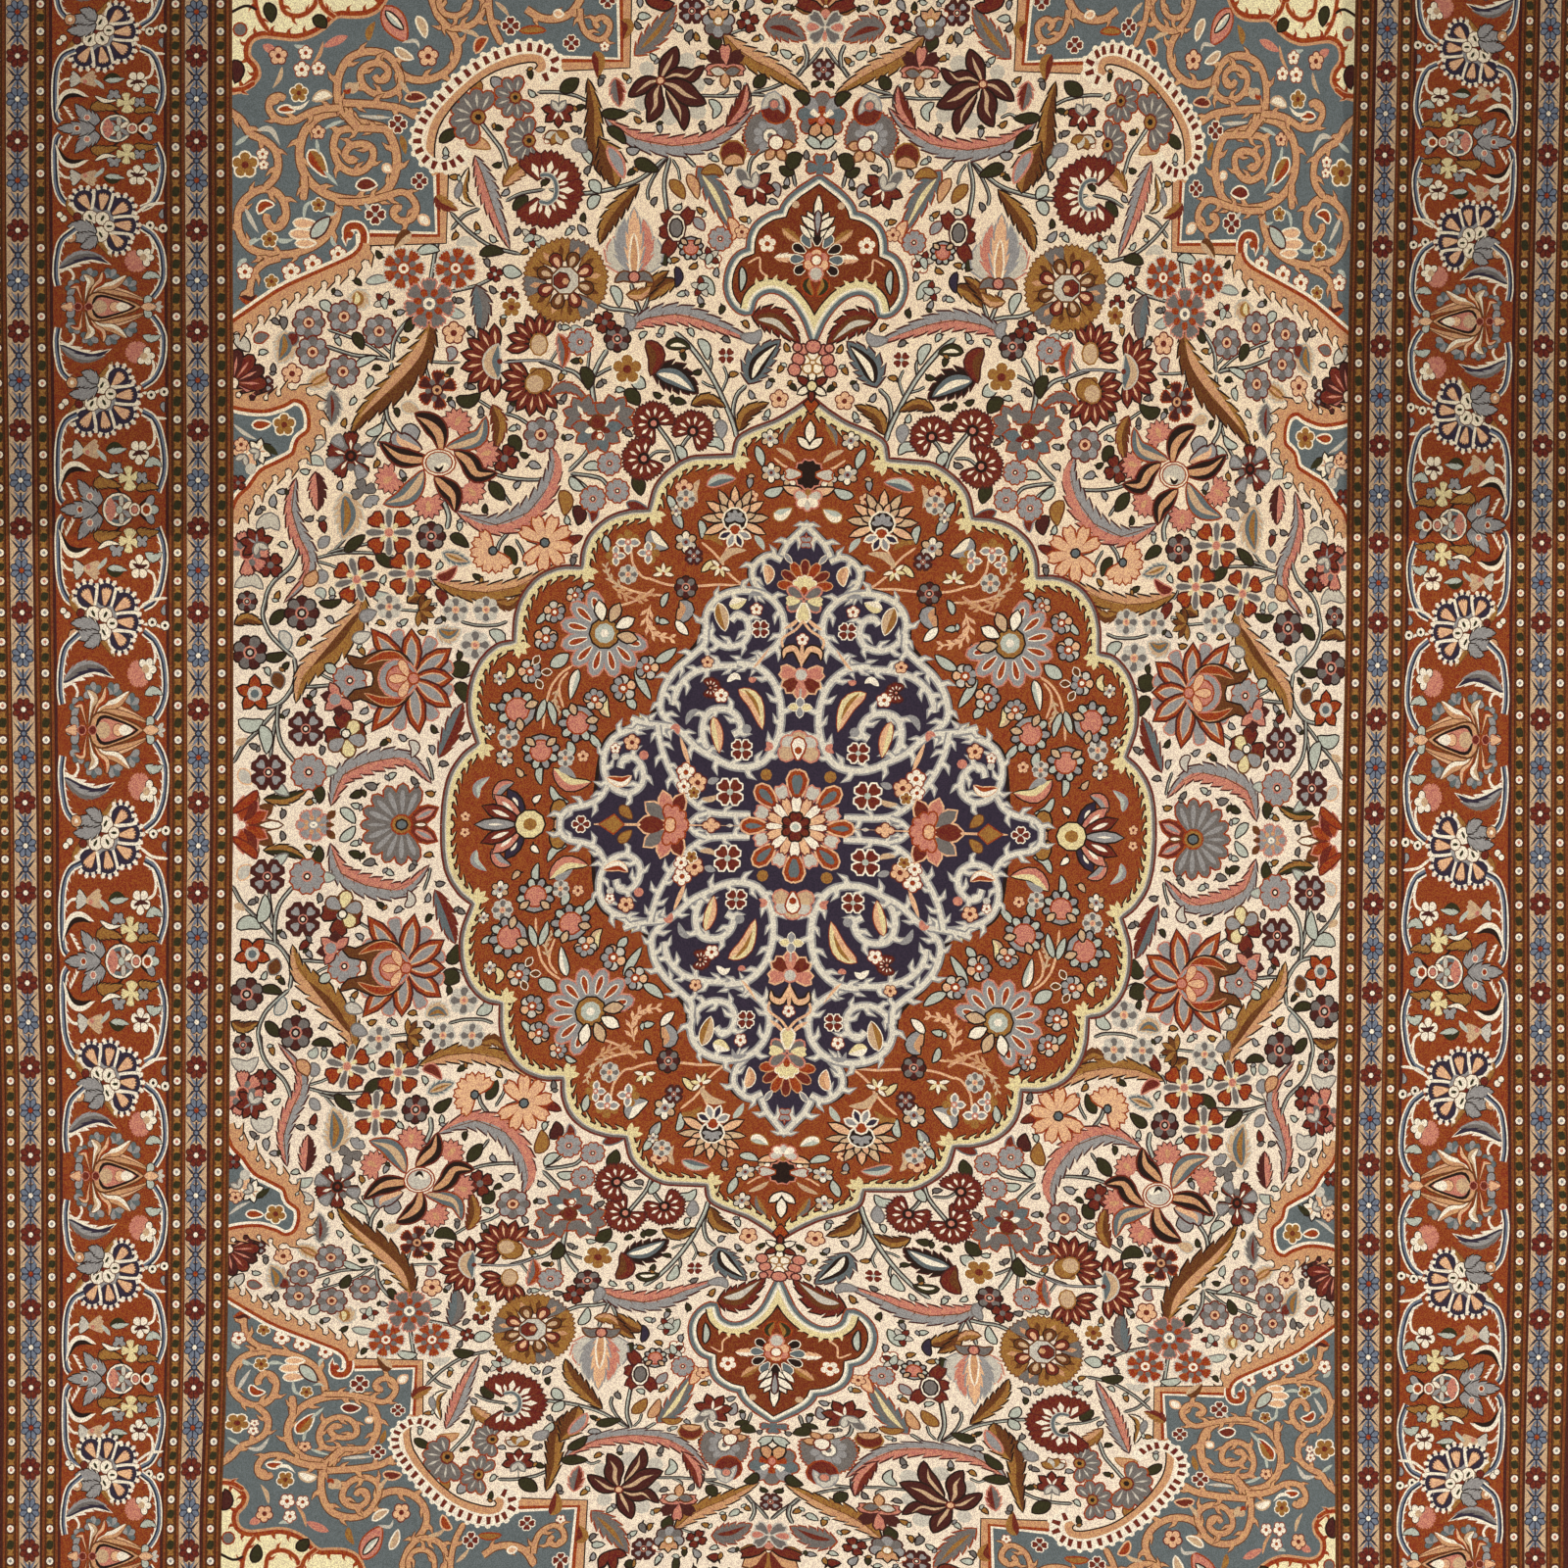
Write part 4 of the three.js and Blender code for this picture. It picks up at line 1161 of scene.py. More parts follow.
# The points of each scroll, then its width.
CORNER_SCROLLS = (
    (346, 206, 343, 222, 334, 238, 318, 250, 296, 257, 272, 257, 254, 250, 244, 234, 243, 214, 251, 200,
        266, 191, 280, 193, 289, 203, 292, 217, 287, 228, 278, 230, 272, 222, 273, 216, 8),
    (345, 112, 326, 117, 312, 130, 306, 148, 307, 166, 316, 183, 331, 195, 350, 201, 372, 202, 390, 196,
        401, 182, 405, 163, 402, 145, 393, 130, 376, 125, 358, 121, 348, 112, 9),
    (392, 130, 368, 129, 348, 131, 341, 141, 341, 154, 347, 167, 360, 174, 372, 171, 380, 161, 380, 150,
        371, 145, 358, 147, 352, 155, 357, 162, 364, 160, 7.5),
    (365, 128, 352, 113, 342, 98, 10),
    (348, 114, 344, 95, 346, 75, 356, 58, 374, 51, 392, 53, 403, 62, 410, 74, 425, 80, 443, 78, 459, 68,
        467, 53, 465, 38, 455, 24, 446, 12, 440, -6, 8),
    (402, 63, 409, 76, 407, 88, 395, 95, 380, 93, 370, 84, 368, 72, 376, 64, 388, 63, 396, 70, 394, 79, 386,
        80, 382, 75, 7),
    (448, 16, 458, 26, 472, 27, 485, 21, 493, 8, 493, -10, 7),
    (480, -8, 478, 6, 468, 14, 455, 13, 448, 3, 450, -8, 6),
    (499, -10, 499, 8, 503, 26, 512, 44, 7),
    (345, 204, 368, 204, 392, 199, 410, 194, 421, 201, 425, 212, 419, 222, 408, 223, 401, 216, 404, 210,
        410, 211, 7),
    (350, 103, 372, 104, 394, 106, 412, 110, 426, 118, 8),
    (346, 108, 330, 109, 316, 113, 300, 121, 284, 120, 275, 110, 276, 100, 284, 96, 291, 99, 7.5),
    (232, 110, 246, 120, 255, 134, 268, 140, 280, 150, 284, 164, 281, 178, 270, 190, 8),
    (286, 261, 270, 266, 259, 277, 255, 292, 256, 304, 7),
    (537, 8, 552, 17, 570, 18, 584, 11, 594, -4, 8),
    (592, 8, 593, 22, 599, 34, 611, 40, 620, 34, 622, 23, 614, 17, 607, 22, 611, 28, 6),
    (310, 178, 311, 190, 309, 202, 8),
    (592, -16, 606, -44, 604, -78, 584, -104, 552, -112, 524, -98, 514, -70, 528, -46, 556, -42, 574, -60,
        566, -82, 546, -82, 544, -68, 8),
    (494, -16, 478, -44, 482, -72, 502, -98, 522, -120, 556, -134, 592, -130, 622, -114, 8),
    (500, -96, 492, -116, 498, -134, 514, -138, 520, -126, 7),
    (604, -60, 622, -74, 630, -94, 640, -112, 7),
    (506, -26, 528, -24, 552, -26, 574, -20, 7),
)

CORNER_SPRIGS = {
    "small_peach": ((284, 55, 9), (437, 56, 10), (325, 133, 7), (440, -30, 9), (534, -66, 8),
    (600, -124, 8),
        (470, -56, 8), (284, -138, 9), (398, -130, 9)),
    "small_cream": ((312, 52, 7), (308, 69, 8), (325, 68, 7), (345, 257, 8), (319, 267, 9), (297, 275, 9),
        (268, 155, 6), (269, 166, 5), (617, 47, 5), (250, 275, 8)),
    "ochre_small": ((305, 93, 9), (275, 242, 8), (277, 285, 7), (250, 166, 13), (325, 207, 7)),
    "four_ringed": ((521, 25, 9), (406, 125, 9), (428, 183, 8), (383, 217, 10), (583, 43, 8), (620, 0, 8),
        (560, -20, 9), (560, -96, 9), (590, -52, 8), (500, -58, 8), (624, -140, 9)),
}

CORNER_LEAVES = {
    ("salmon", None, None): ((330, 46, 345, 39, 355, 35, 9), (268, 44, 276, 48, 282, 52, 9)),
    ("ochre", None, None): ((376, 40, 377, 30, 383, 20, 8), (409, 136, 412, 146, 414, 156, 7),
        (384, 116, 388, 118, 392, 116, 5), (240, 320, 246, 316, 250, 322, 8)),
    ("salmon", None, "rust"): ((393, 5, 403, 22, 414, 40, 22),),
    ("cream", "pale_blue", "black"): ((394, 10, 403, 20, 411, 28, 7),),
    ("sand", None, "cream"): ((426, 16, 431, 25, 434, 36, 8), (404, 48, 412, 54, 421, 58, 7)),
    ("rust", None, "peach"): ((486, 52, 490, 42, 497, 38, 8),),
    ("ochre", "rust", "cream"): ((316, 152, 323, 162, 333, 178, 14),),
    ("dark_red", None, "cream"): ((364, 188, 374, 186, 384, 187, 11),),
    ("dark_red", None, "peach"): ((414, 99, 424, 97, 434, 98, 8),),
    ("rust", None, "cream"): ((264, 215, 269, 207, 279, 207, 8), (284, 110, 293, 109, 300, 111, 6)),
    ("peach", None, "cream"): ((300, 225, 310, 226, 322, 226, 9), (296, 236, 308, 237, 324, 237, 9),
        (302, 246, 312, 246, 322, 246, 7), (566, 12, 570, 13, 574, 14, 6)),
    ("pale_blue", None, "plum"): ((318, 240, 327, 230, 336, 220, 12),),
    ("pale_blue", None, None): ((310, 222, 312, 208, 322, 202, 4), (332, 215, 339, 217, 345, 213, 3),
        (262, 240, 255, 246, 268, 240, 5), (282, 242, 290, 244, 300, 242, 5),
        (338, 238, 340, 246, 346, 250, 4), (240, 146, 248, 140, 254, 136, 5),
        (330, 130, 342, 124, 352, 121, 4), (323, 140, 324, 148, 326, 156, 4),
        (330, 172, 338, 180, 345, 188, 4), (252, 262, 246, 266, 242, 276, 6),
        (300, 44, 306, 46, 312, 44, 4)),
    ("mist", None, None): ((250, 210, 256, 222, 264, 236, 5), (262, 131, 276, 130, 286, 146, 6),
        (366, 116, 385, 118, 400, 118, 4), (372, 205, 376, 210, 382, 213, 4),
        (410, 42, 424, 40, 428, 48, 4)),
    ("sand", None, None): ((288, 66, 285, 78, 278, 88, 5), (352, 84, 360, 88, 366, 82, 12),
        (408, 80, 413, 88, 420, 96, 5), (470, 30, 482, 32, 490, 38, 5), (505, 0, 514, 8, 520, 16, 5)),
    ("tan", None, None): ((330, 40, 326, 54, 318, 64, 4),),
    ("cream", None, None): ((294, 107, 306, 108, 316, 100, 4),),
    ("cream", None, "sand"): ((320, 100, 330, 95, 338, 96, 8),),
    ("rust", None, None): ((350, 90, 355, 92, 358, 88, 5),),
    ("cream", None, "peach"): ((392, 167, 395, 170, 398, 173, 7), (428, 219, 433, 223, 437, 227, 8)),
    ("ochre", None, "rust"): ((531, 30, 545, 29, 556, 30, 6),),
    ("plum", "rust", None): ((244, 300, 256, 305, 262, 298, 10),),
}


def corner_heart():
    """The cream piece inside the corner piece, with its lobed rust edge."""
    edge = smooth([(222, 96), (246, 93), (258, 86), (266, 76), (264, 64), (256, 54), (258, 42), (268, 37),
        (284, 38),
                   (302, 40), (318, 36), (332, 28), (344, 17), (358, 17), (374, 16), (388, 9), (398, -6),
                   (404, -24), (420, -34), (440, -44), (452, -60), (456, -80), (470, -96), (482, -116),
                   (486, -150)], 3)
    lay(edge + [(486, -156), (225, -156)], "tan")
    ribbon(beside(edge, 4.5), 7, "rust")
    ribbon(beside(edge, 1), 3, "tan")
    inner = beside(edge, 7.5)
    lay(inner + [(470, -156), (225, -156)], "lemon")
    hooks(inner, 17, 7, 2.4, "rust", 0.5)
    for curl in (((258, -40), (259, -10), (264, 14), (274, 30)),
            ((286, -20), (287, 2), (293, 12), (307, 14), (320, 5), (325, -10)),
                 ((342, 16), (330, 6), (326, -8), (334, -20)), ((238, 90), (250, 88), (260, 82))):
        scroll(curl, 4.5, "rust", "peach", 0.8, 13, 5)
    for *path, yarn in ((272, 2, 276, 10, 277, 20, "green"), (320, 17, 327, 20, 332, 26, "green"),
            (239, 60, 243, 70, 240, 82, "plum"),
                        (292, -34, 300, -40, 306, -50, "green")):
        leaf(spots(path), 11, yarn)
    disc(245, 28, 6, "slate", "rust")
    blossom("red_wheel", 300, -95, 34)
    blossom("grey_wheel", 380, -85, 20)
    blossom("grey_wheel", 262, -40, 16)
    leaf(((240, -120), (262, -100), (270, -76)), 16, "ochre", "tan", teeth=4)
    leaf(((340, -140), (352, -118), (344, -96)), 14, "pale_blue", "salmon")
    vine(((230, 14), (250, 4), (262, 8)), 3, "black")
    blossom("small_peach", 430, -110, 13)
    scroll(((252, -144), (262, -122), (286, -122), (296, -140), (318, -148)), 4.5, "rust", "peach", 0.8, 13,
        5)
    scroll(((330, -52), (350, -44), (368, -52), (392, -48), (410, -58), (420, -76), (440, -84)), 4.5,
        "rust", "peach", 0.8, 13, 5)
    scroll(((236, -90), (248, -72), (240, -54), (236, -30)), 4.5, "rust", "peach", 0.8, 13, 5)
    blossom("red_wheel", 350, -18, 14, 90)
    blossom("four_up", 412, -132, 9)
    blossom("dark_wheel", 466, -128, 11)


def corner_piece():
    corner_ground()
    corner_heart()
    for *flat, wide in CORNER_SCROLLS:
        scroll(spots(flat), 0.88 * wide, "tan", "brown")
    sprinkled_leaves(CORNER_LEAVES)
    sprinkled_blossoms(CORNER_SPRIGS)
    corner_frame()


# The medallion, its navy centre with ivory scrolls, and the pendant above it. Rust red, with an edge
# of blue-grey, silver and straw that runs in lobes, each a band of knots beside the last. The lobes
# go from its top tip round to its left side, with a notch between.
MEDALLION_LOBES = (
    ((829, 402), (812, 415), (790, 428), (766, 437), (752, 447), (748, 463)),
    ((748, 463), (728, 464), (704, 466), (684, 478), (669, 495), (662, 519)),
    ((662, 519), (642, 520), (620, 528), (603, 543), (595, 560), (593, 577)),
    ((593, 577), (572, 577), (550, 586), (534, 604), (526, 626), (524, 652)),
    ((524, 652), (507, 656), (490, 672), (480, 696), (478, 726), (487, 756)),
    ((487, 756), (472, 768), (459, 788), (453, 812), (451, 838)),
)


def through(lobes):
    """One path through lobes that meet in notches."""
    return [point for lobe in lobes for point in smooth(lobe)[:-1]] + [lobes[-1][-1]]


def ringed_ground(edge, closing):
    """A ground inside an edge that runs anticlockwise, with its bands following the edge."""
    for step, yarn in ((-2.2, "dark_red"), (0, "slate"), (2.8, "mist"), (4.2, "straw"), (8.6, "black"),
            (10.2, "madder")):
        lay(beside(edge, step) + closing, yarn)
    hooks(beside(edge, 7), 12.5, 7.4, 3.8, "black", 0.9, "straw")
    ribbon(beside(edge, 6.3), 4, "straw")


def notch_sprays():
    for lobe in MEDALLION_LOBES[:-1]:
        x, y = lobe[-1]
        for turn in (-10, -45, -80):
            petal(x + 3, y + 3, 0, 15, 7, turn, "straw", None, "point")


MEDALLION_FLOWERS = {
    "cream_ringed": ((787, 481, 10), (806, 486, 9, 30), (700, 552, 11), (515, 771, 9), (510, 690, 7),
    (786, 446, 9),
        (500, 742, 6), (690, 520, 6)),
    "half_ringed": ((587, 606, 9, 200), (566, 623, 11, 160), (557, 650, 12, 150), (541, 683, 12, 180),
    (660, 680, 12), (636, 701, 13, 20),
        (607, 712, 11, 300)),
    "ochre_fan": ((641, 552, 12), (628, 566, 10, 90), (662, 563, 11, 270)),
    "cream_spray": ((677, 584, 10), (735, 577, 10, 150), (655, 735, 8, 60), (690, 700, 7, 20)),
    "small_peach": ((698, 497, 9), (595, 770, 6), (768, 505, 6), (612, 676, 5), (475, 830, 5)),
    "dark_wheel": ((708, 566, 9),),
    "plum_wheel": ((700, 598, 11),),
    "faint": ((641, 585, 9), (700, 508, 9), (577, 772, 8), (519, 750, 10)),
}

MEDALLION_LEAVES = {
    ("pale_blue", "steel", "salmon"): ((722, 494, 735, 488, 750, 487, 11),),
    ("pale_blue", None, "black"): ((772, 454, 776, 465, 778, 474, 8), (780, 502, 790, 501, 799, 496, 9),
        (682, 505, 686, 513, 688, 522, 7), (714, 530, 717, 538, 716, 548, 7),
        (618, 546, 619, 554, 620, 562, 7), (595, 600, 600, 596, 606, 595, 5),
        (676, 618, 678, 610, 682, 604, 6), (669, 674, 680, 668, 690, 660, 9),
        (648, 683, 656, 698, 664, 712, 8), (640, 712, 645, 717, 648, 722, 8),
        (562, 678, 572, 672, 580, 666, 12), (548, 634, 554, 628, 560, 622, 6),
        (556, 712, 552, 724, 548, 734, 7), (560, 714, 564, 726, 566, 738, 7),
        (602, 748, 608, 756, 614, 762, 7), (580, 755, 583, 763, 581, 772, 8),
        (552, 778, 550, 788, 552, 798, 7), (562, 800, 568, 812, 580, 816, 7),
        (500, 716, 506, 720, 512, 720, 6)),
    ("pale_blue", "silver", "black"): ((688, 522, 692, 530, 696, 538, 9),),
    ("pale_blue", "cream", "ochre"): ((790, 522, 797, 524, 808, 517, 12),),
    ("pale_blue", None, None): ((770, 545, 776, 552, 780, 560, 7),),
    ("ochre", None, None): ((717, 548, 727, 546, 738, 556, 8), (700, 500, 697, 512, 702, 520, 6)),
    ("cream", "silver", "black"): ((664, 540, 668, 552, 682, 558, 16),),
    ("straw", None, "black"): ((716, 582, 726, 574, 736, 576, 7), (600, 614, 606, 611, 612, 610, 5),
        (516, 690, 522, 682, 518, 674, 7)),
    ("sand", None, None): ((734, 574, 745, 562, 762, 560, 8), (714, 488, 708, 500, 712, 512, 7),
        (792, 456, 804, 462, 812, 470, 6)),
    ("pale_blue", "cream", "black"): ((590, 682, 586, 694, 582, 712, 9),),
    ("sand", None, "black"): ((574, 742, 578, 734, 582, 724, 7),),
    ("straw", "salmon", "black"): ((565, 782, 580, 798, 603, 796, 14),),
    ("silver", None, None): ((570, 783, 578, 784, 588, 792, 8),),
    ("silver", "pale_blue", "rust"): ((488, 812, 487, 800, 500, 790, 9),),
    ("salmon", "silver", "black"): ((504, 812, 512, 800, 524, 796, 10),),
    ("sand", "ochre", None): ((516, 740, 522, 746, 520, 756, 10),),
    ("straw", "sand", "black"): ((618, 708, 616, 722, 622, 730, 9),),
    ("tan", "silver", "black"): ((692, 634, 700, 620, 694, 612, 16),),
    ("cream", None, "black"): ((690, 632, 696, 640, 702, 646, 8), (643, 645, 650, 650, 654, 660, 5),
        (656, 648, 652, 656, 648, 660, 4)),
    ("ochre", "slate", None): ((812, 430, 804, 440, 800, 452, 8),),
}

MEDALLION_VINES = (
    ((748, 550), (740, 562), (738, 576), (748, 588), (760, 597)),
    ((660, 588), (680, 595), (705, 597), (735, 595), (764, 597)),
    ((644, 560), (646, 574), (654, 586), (662, 590)),
    ((716, 552), (728, 562), (738, 574)),
    ((628, 618), (648, 612), (664, 602), (668, 600)),
    ((554, 742), (556, 722), (562, 700), (572, 686), (584, 678)),
    ((575, 720), (571, 706), (572, 694), (580, 684)),
    ((620, 590), (640, 600), (660, 605), (676, 606)),
    ((790, 466), (800, 474), (812, 478)),
)


def feather(points, wide, yarn, count=5):
    """A spray of thin strokes along a stem."""
    path = smooth(points)
    vine(points, 2.2, yarn)
    last = len(path) - 1
    for k in range(count):
        i = 1 + (last - 2) * k // max(count - 1, 1)
        (ax, ay), (bx, by) = path[i], path[i + 1]
        turn = math.degrees(math.atan2(-(by - ay), bx - ax))
        for side in (-32, 32):
            petal(ax, ay, 0, wide * (1 - 0.4 * k / count), wide * 0.3, turn + side, yarn, None, "kite")


def shell_flower(across, down, radius, turn):
    """A half-open flower of long pale petals with rust hearts, and a blue eye."""
    whorl(across, down, radius * 0.2, radius, radius * 0.36, 9, turn, ("silver",), "salmon", "round", 235)
    whorl(across, down, radius * 0.42, radius * 0.84, radius * 0.13, 9, turn, ("rust",), "cream", "round",
        235, edge=1.1)
    disc(across, down, radius * 0.33, "ochre", "black")
    disc(across, down, radius * 0.23, "pale_blue", None, 9)
    disc(across, down, radius * 0.1, "cream", None, 6)
    whorl(across, down, radius * 0.3, radius * 0.75, radius * 0.26, 4, turn + 180, ("sand", "cream"),
        "black", "point", 110)


def spire_flower(across, down, radius, turn):
    """A spiky flower of pointed petals over a dark heart."""
    whorl(across, down, radius * 0.25, radius, radius * 0.24, 9, turn, ("peach", "sand"), "black", "point",
        230)
    whorl(across, down, radius * 0.2, radius * 0.62, radius * 0.18, 6, turn, ("sand", "peach"), "black",
        "point", 150)
    disc(across, down, radius * 0.34, "black", "cream")
    whorl(across, down, 0, radius * 0.3, radius * 0.16, 5, turn, ("silver",), None, "round", 180)
    x, y = turned([(-radius * 0.32, 0)], across, down, turn)[0]
    disc(x, y, radius * 0.17, "rust", "cream", 8)
    whorl(x, y, radius * 0.15, radius * 0.5, radius * 0.17, 4, turn + 180, ("navy", "silver"), "cream",
        "point", 130)


def drop_bud(across, down, radius, turn):
    """A salmon bud in a blue-grey cup."""
    disc(across, down, radius * 0.95, "silver", "black", 12)
    whorl(across, down, radius * 0.4, radius * 1.1, radius * 0.4, 6, turn, ("pale_blue", "silver"), "black",
        "round", 200)
    disc(across, down, radius * 0.6, "salmon", "rust")
    whorl(across, down, radius * 0.5, radius * 1.15, radius * 0.42, 2, turn + 180, ("sand",), "black",
        "point", 100)


def side_lotus(across, down, size, turn):
    """Pointed petals that open along the axis, with a yellow heart."""
    for side, yarn in ((58, "navy"), (-58, "navy"), (40, "salmon"), (-40, "salmon"), (22, "dark_red"),
                       (-22, "dark_red"), (0, "silver")):
        petal(across, down, size * 0.2, size * (1.0 - abs(side) / 220), size * 0.24, turn + side, yarn,
            "black", "point")
        petal(across, down, size * 0.4, size * (0.8 - abs(side) / 260), size * 0.08, turn + side, "cream",
            None, "point")
    disc(across, down, size * 0.26, "straw", "black")
    disc(across, down, size * 0.13, "ochre", None, 8)


def medallion():
    ringed_ground(through(MEDALLION_LOBES), [(818, 846), (835, 402)])
    notch_sprays()
    for points in MEDALLION_VINES:
        vine(points, 2.4, "peach")
    feather(((625, 598), (648, 610), (666, 604)), 12, "tan")
    feather(((664, 616), (660, 632), (668, 646), (686, 650)), 13, "peach", 6)
    feather(((636, 600), (622, 588), (618, 576)), 9, "sand", 4)
    feather(((570, 700), (566, 714), (572, 726)), 8, "sand", 4)
    sprinkled_leaves(MEDALLION_LEAVES, 1.5)
    sprinkled_blossoms(MEDALLION_FLOWERS)
    spire_flower(750, 529, 34, 90)
    shell_flower(617, 645, 45, 225)
    drop_bud(590, 736, 18, 240)
    drop_bud(552, 764, 17, 270)
    drop_bud(528, 722, 19, 150)
    for across, down, turn in ((545, 676, 60), (553, 684, 0), (548, 692, 300)):
        petal(across, down, 0, 10, 7, turn, "brown", "cream", "point", edge=1)
    side_lotus(541, 839, 58, 180)
    whorl(560, 836, 6, 26, 14, 3, 0, ("ochre", "tan", "ochre"), "black", "round", 110)


def centre_edge():
    return [*smooth(((827, 529), (815, 541), (803, 552), (796, 564))),
            *smooth(((790, 564), (779, 566), (769, 573), (766, 584), (770, 595), (777, 602))),
            *smooth(((760, 600), (750, 600), (732, 608), (720, 626), (717, 648), (706, 664), (690, 680),
            (676, 702),
                     (671, 722), (656, 740), (634, 744), (619, 756), (613, 778), (610, 800), (606, 818),
                     (588, 820), (575, 828), (571, 842)))]


CENTRE_SCROLLS = (
    (827, 530, 815, 542, 804, 553, 797, 566, 9),
    (798, 570, 786, 565, 775, 570, 768, 580, 770, 593, 780, 604, 9),
    (746, 632, 753, 625, 762, 631, 764, 644, 757, 655, 741, 658, 726, 649, 720, 632, 726, 615, 742, 604,
        764, 601, 784, 607, 797, 622, 800, 640, 794, 655, 778, 668, 757, 677, 733, 678, 710, 684, 695, 696,
        689, 708, 686, 718, 10),
    (748, 748, 756, 742, 752, 729, 741, 722, 727, 723, 719, 732, 717, 748, 723, 764, 737, 776, 757, 781,
        778, 776, 791, 758, 797, 736, 796, 712, 788, 692, 772, 678, 752, 675, 11),
    (720, 640, 719, 655, 706, 668, 690, 682, 678, 700, 674, 722, 684, 736, 698, 748, 712, 762, 730, 772,
        10),
    (633, 782, 637, 772, 648, 772, 656, 783, 655, 798, 642, 807, 626, 802, 617, 787, 617, 768, 626, 752,
        643, 743, 664, 738, 686, 740, 10),
    (670, 738, 656, 736, 644, 731, 9),
    (671, 738, 674, 758, 682, 780, 694, 800, 708, 816, 724, 825, 745, 827, 766, 827, 9),
    (704, 836, 712, 829, 722, 826, 7),
    (620, 800, 612, 812, 598, 819, 582, 822, 573, 830, 571, 842, 9),
)

CENTRE_LEAVES = {
    ("sand", "ochre", "cream"): ((733, 614, 737, 628, 740, 642, 13),),
    ("cream", "straw", None): ((744, 616, 752, 614, 762, 610, 12),),
    ("silver", None, None): ((780, 606, 768, 604, 764, 612, 5), (712, 722, 704, 728, 700, 738, 7),
        (722, 796, 728, 794, 734, 792, 7)),
    ("straw", "peach", "rust"): ((754, 702, 770, 714, 778, 742, 15),),
    ("ochre", None, None): ((760, 702, 770, 714, 776, 730, 4),),
    ("peach", "straw", "rust"): ((728, 730, 732, 748, 734, 766, 11),),
    ("tan", "peach", "cream"): ((781, 575, 785, 584, 783, 594, 10),),
    ("ochre", None, "brown"): ((633, 820, 638, 825, 645, 832, 10),),
    ("rust", "cream", "peach"): ((620, 792, 634, 796, 644, 790, 9),),
    ("cream", None, None): ((742, 694, 750, 688, 756, 692, 7),),
    ("sand", None, None): ((716, 812, 726, 812, 734, 808, 6),),
    ("peach", None, None): ((694, 750, 700, 768, 704, 780, 5), (800, 640, 810, 634, 818, 626, 4),
        (768, 680, 776, 672, 786, 658, 3)),
    ("salmon", None, None): ((692, 748, 690, 740, 684, 742, 7), (782, 755, 786, 760, 780, 764, 7),
        (764, 690, 768, 692, 772, 690, 6)),
}

CENTRE_FLOWERS = {
    "four_ringed": ((776, 640, 9, 45), (757, 763, 11, 45), (745, 805, 14, 45), (593, 839, 9)),
    "red_wheel": ((725, 700, 10),),
    "small_cream": ((736, 708, 7), (700, 786, 9), (698, 800, 7), (628, 762, 5), (772, 620, 6)),
    "small_peach": ((712, 796, 9), (645, 756, 8), (726, 840, 9), (722, 674, 6)),
    "ochre_small": ((708, 806, 6),),
}


def centre():
    edge = centre_edge()
    lay(beside(edge, -4) + [(818, 846), (835, 530)], "black")
    lay(edge + [(818, 846), (835, 530)], "navy")
    lay([(573, 838), (575, 828), (604, 824), (622, 812), (660, 805), (690, 830), (690, 838)], "navy")
    for *flat, wide in CENTRE_SCROLLS:
        scroll(spots(flat), 0.5 * wide, "ecru", "silver", 1.9, 11, 7.5, 0.8)
    sprinkled_leaves(CENTRE_LEAVES, 1.0)
    for across, down, radius, yarn in ((657, 769, 5, "salmon"), (762, 742, 5, "silver"),
            (782, 788, 6, "ochre"),
                                       (628, 770, 4, "mist"), (745, 841, 5, "mist")):
        disc(across, down, radius, yarn, None, 8)
    sprinkled_blossoms(CENTRE_FLOWERS)
    vine(((606, 838), (640, 838), (668, 838)), 2.5, "peach")
    vine(((690, 838), (730, 839), (760, 839)), 2.5, "peach")
    petal(612, 838, 0, 24, 18, 0, "ochre", "rust", "kite")
    whorl(684, 836, 6, 32, 15, 7, 180, ("dark_red", "salmon", "slate"), "peach", "point", 230)
    whorl(684, 836, 0, 18, 9, 7, 0, ("salmon",), "rust", "round", 200)
    disc(684, 836, 5, "peach", "rust", 8)


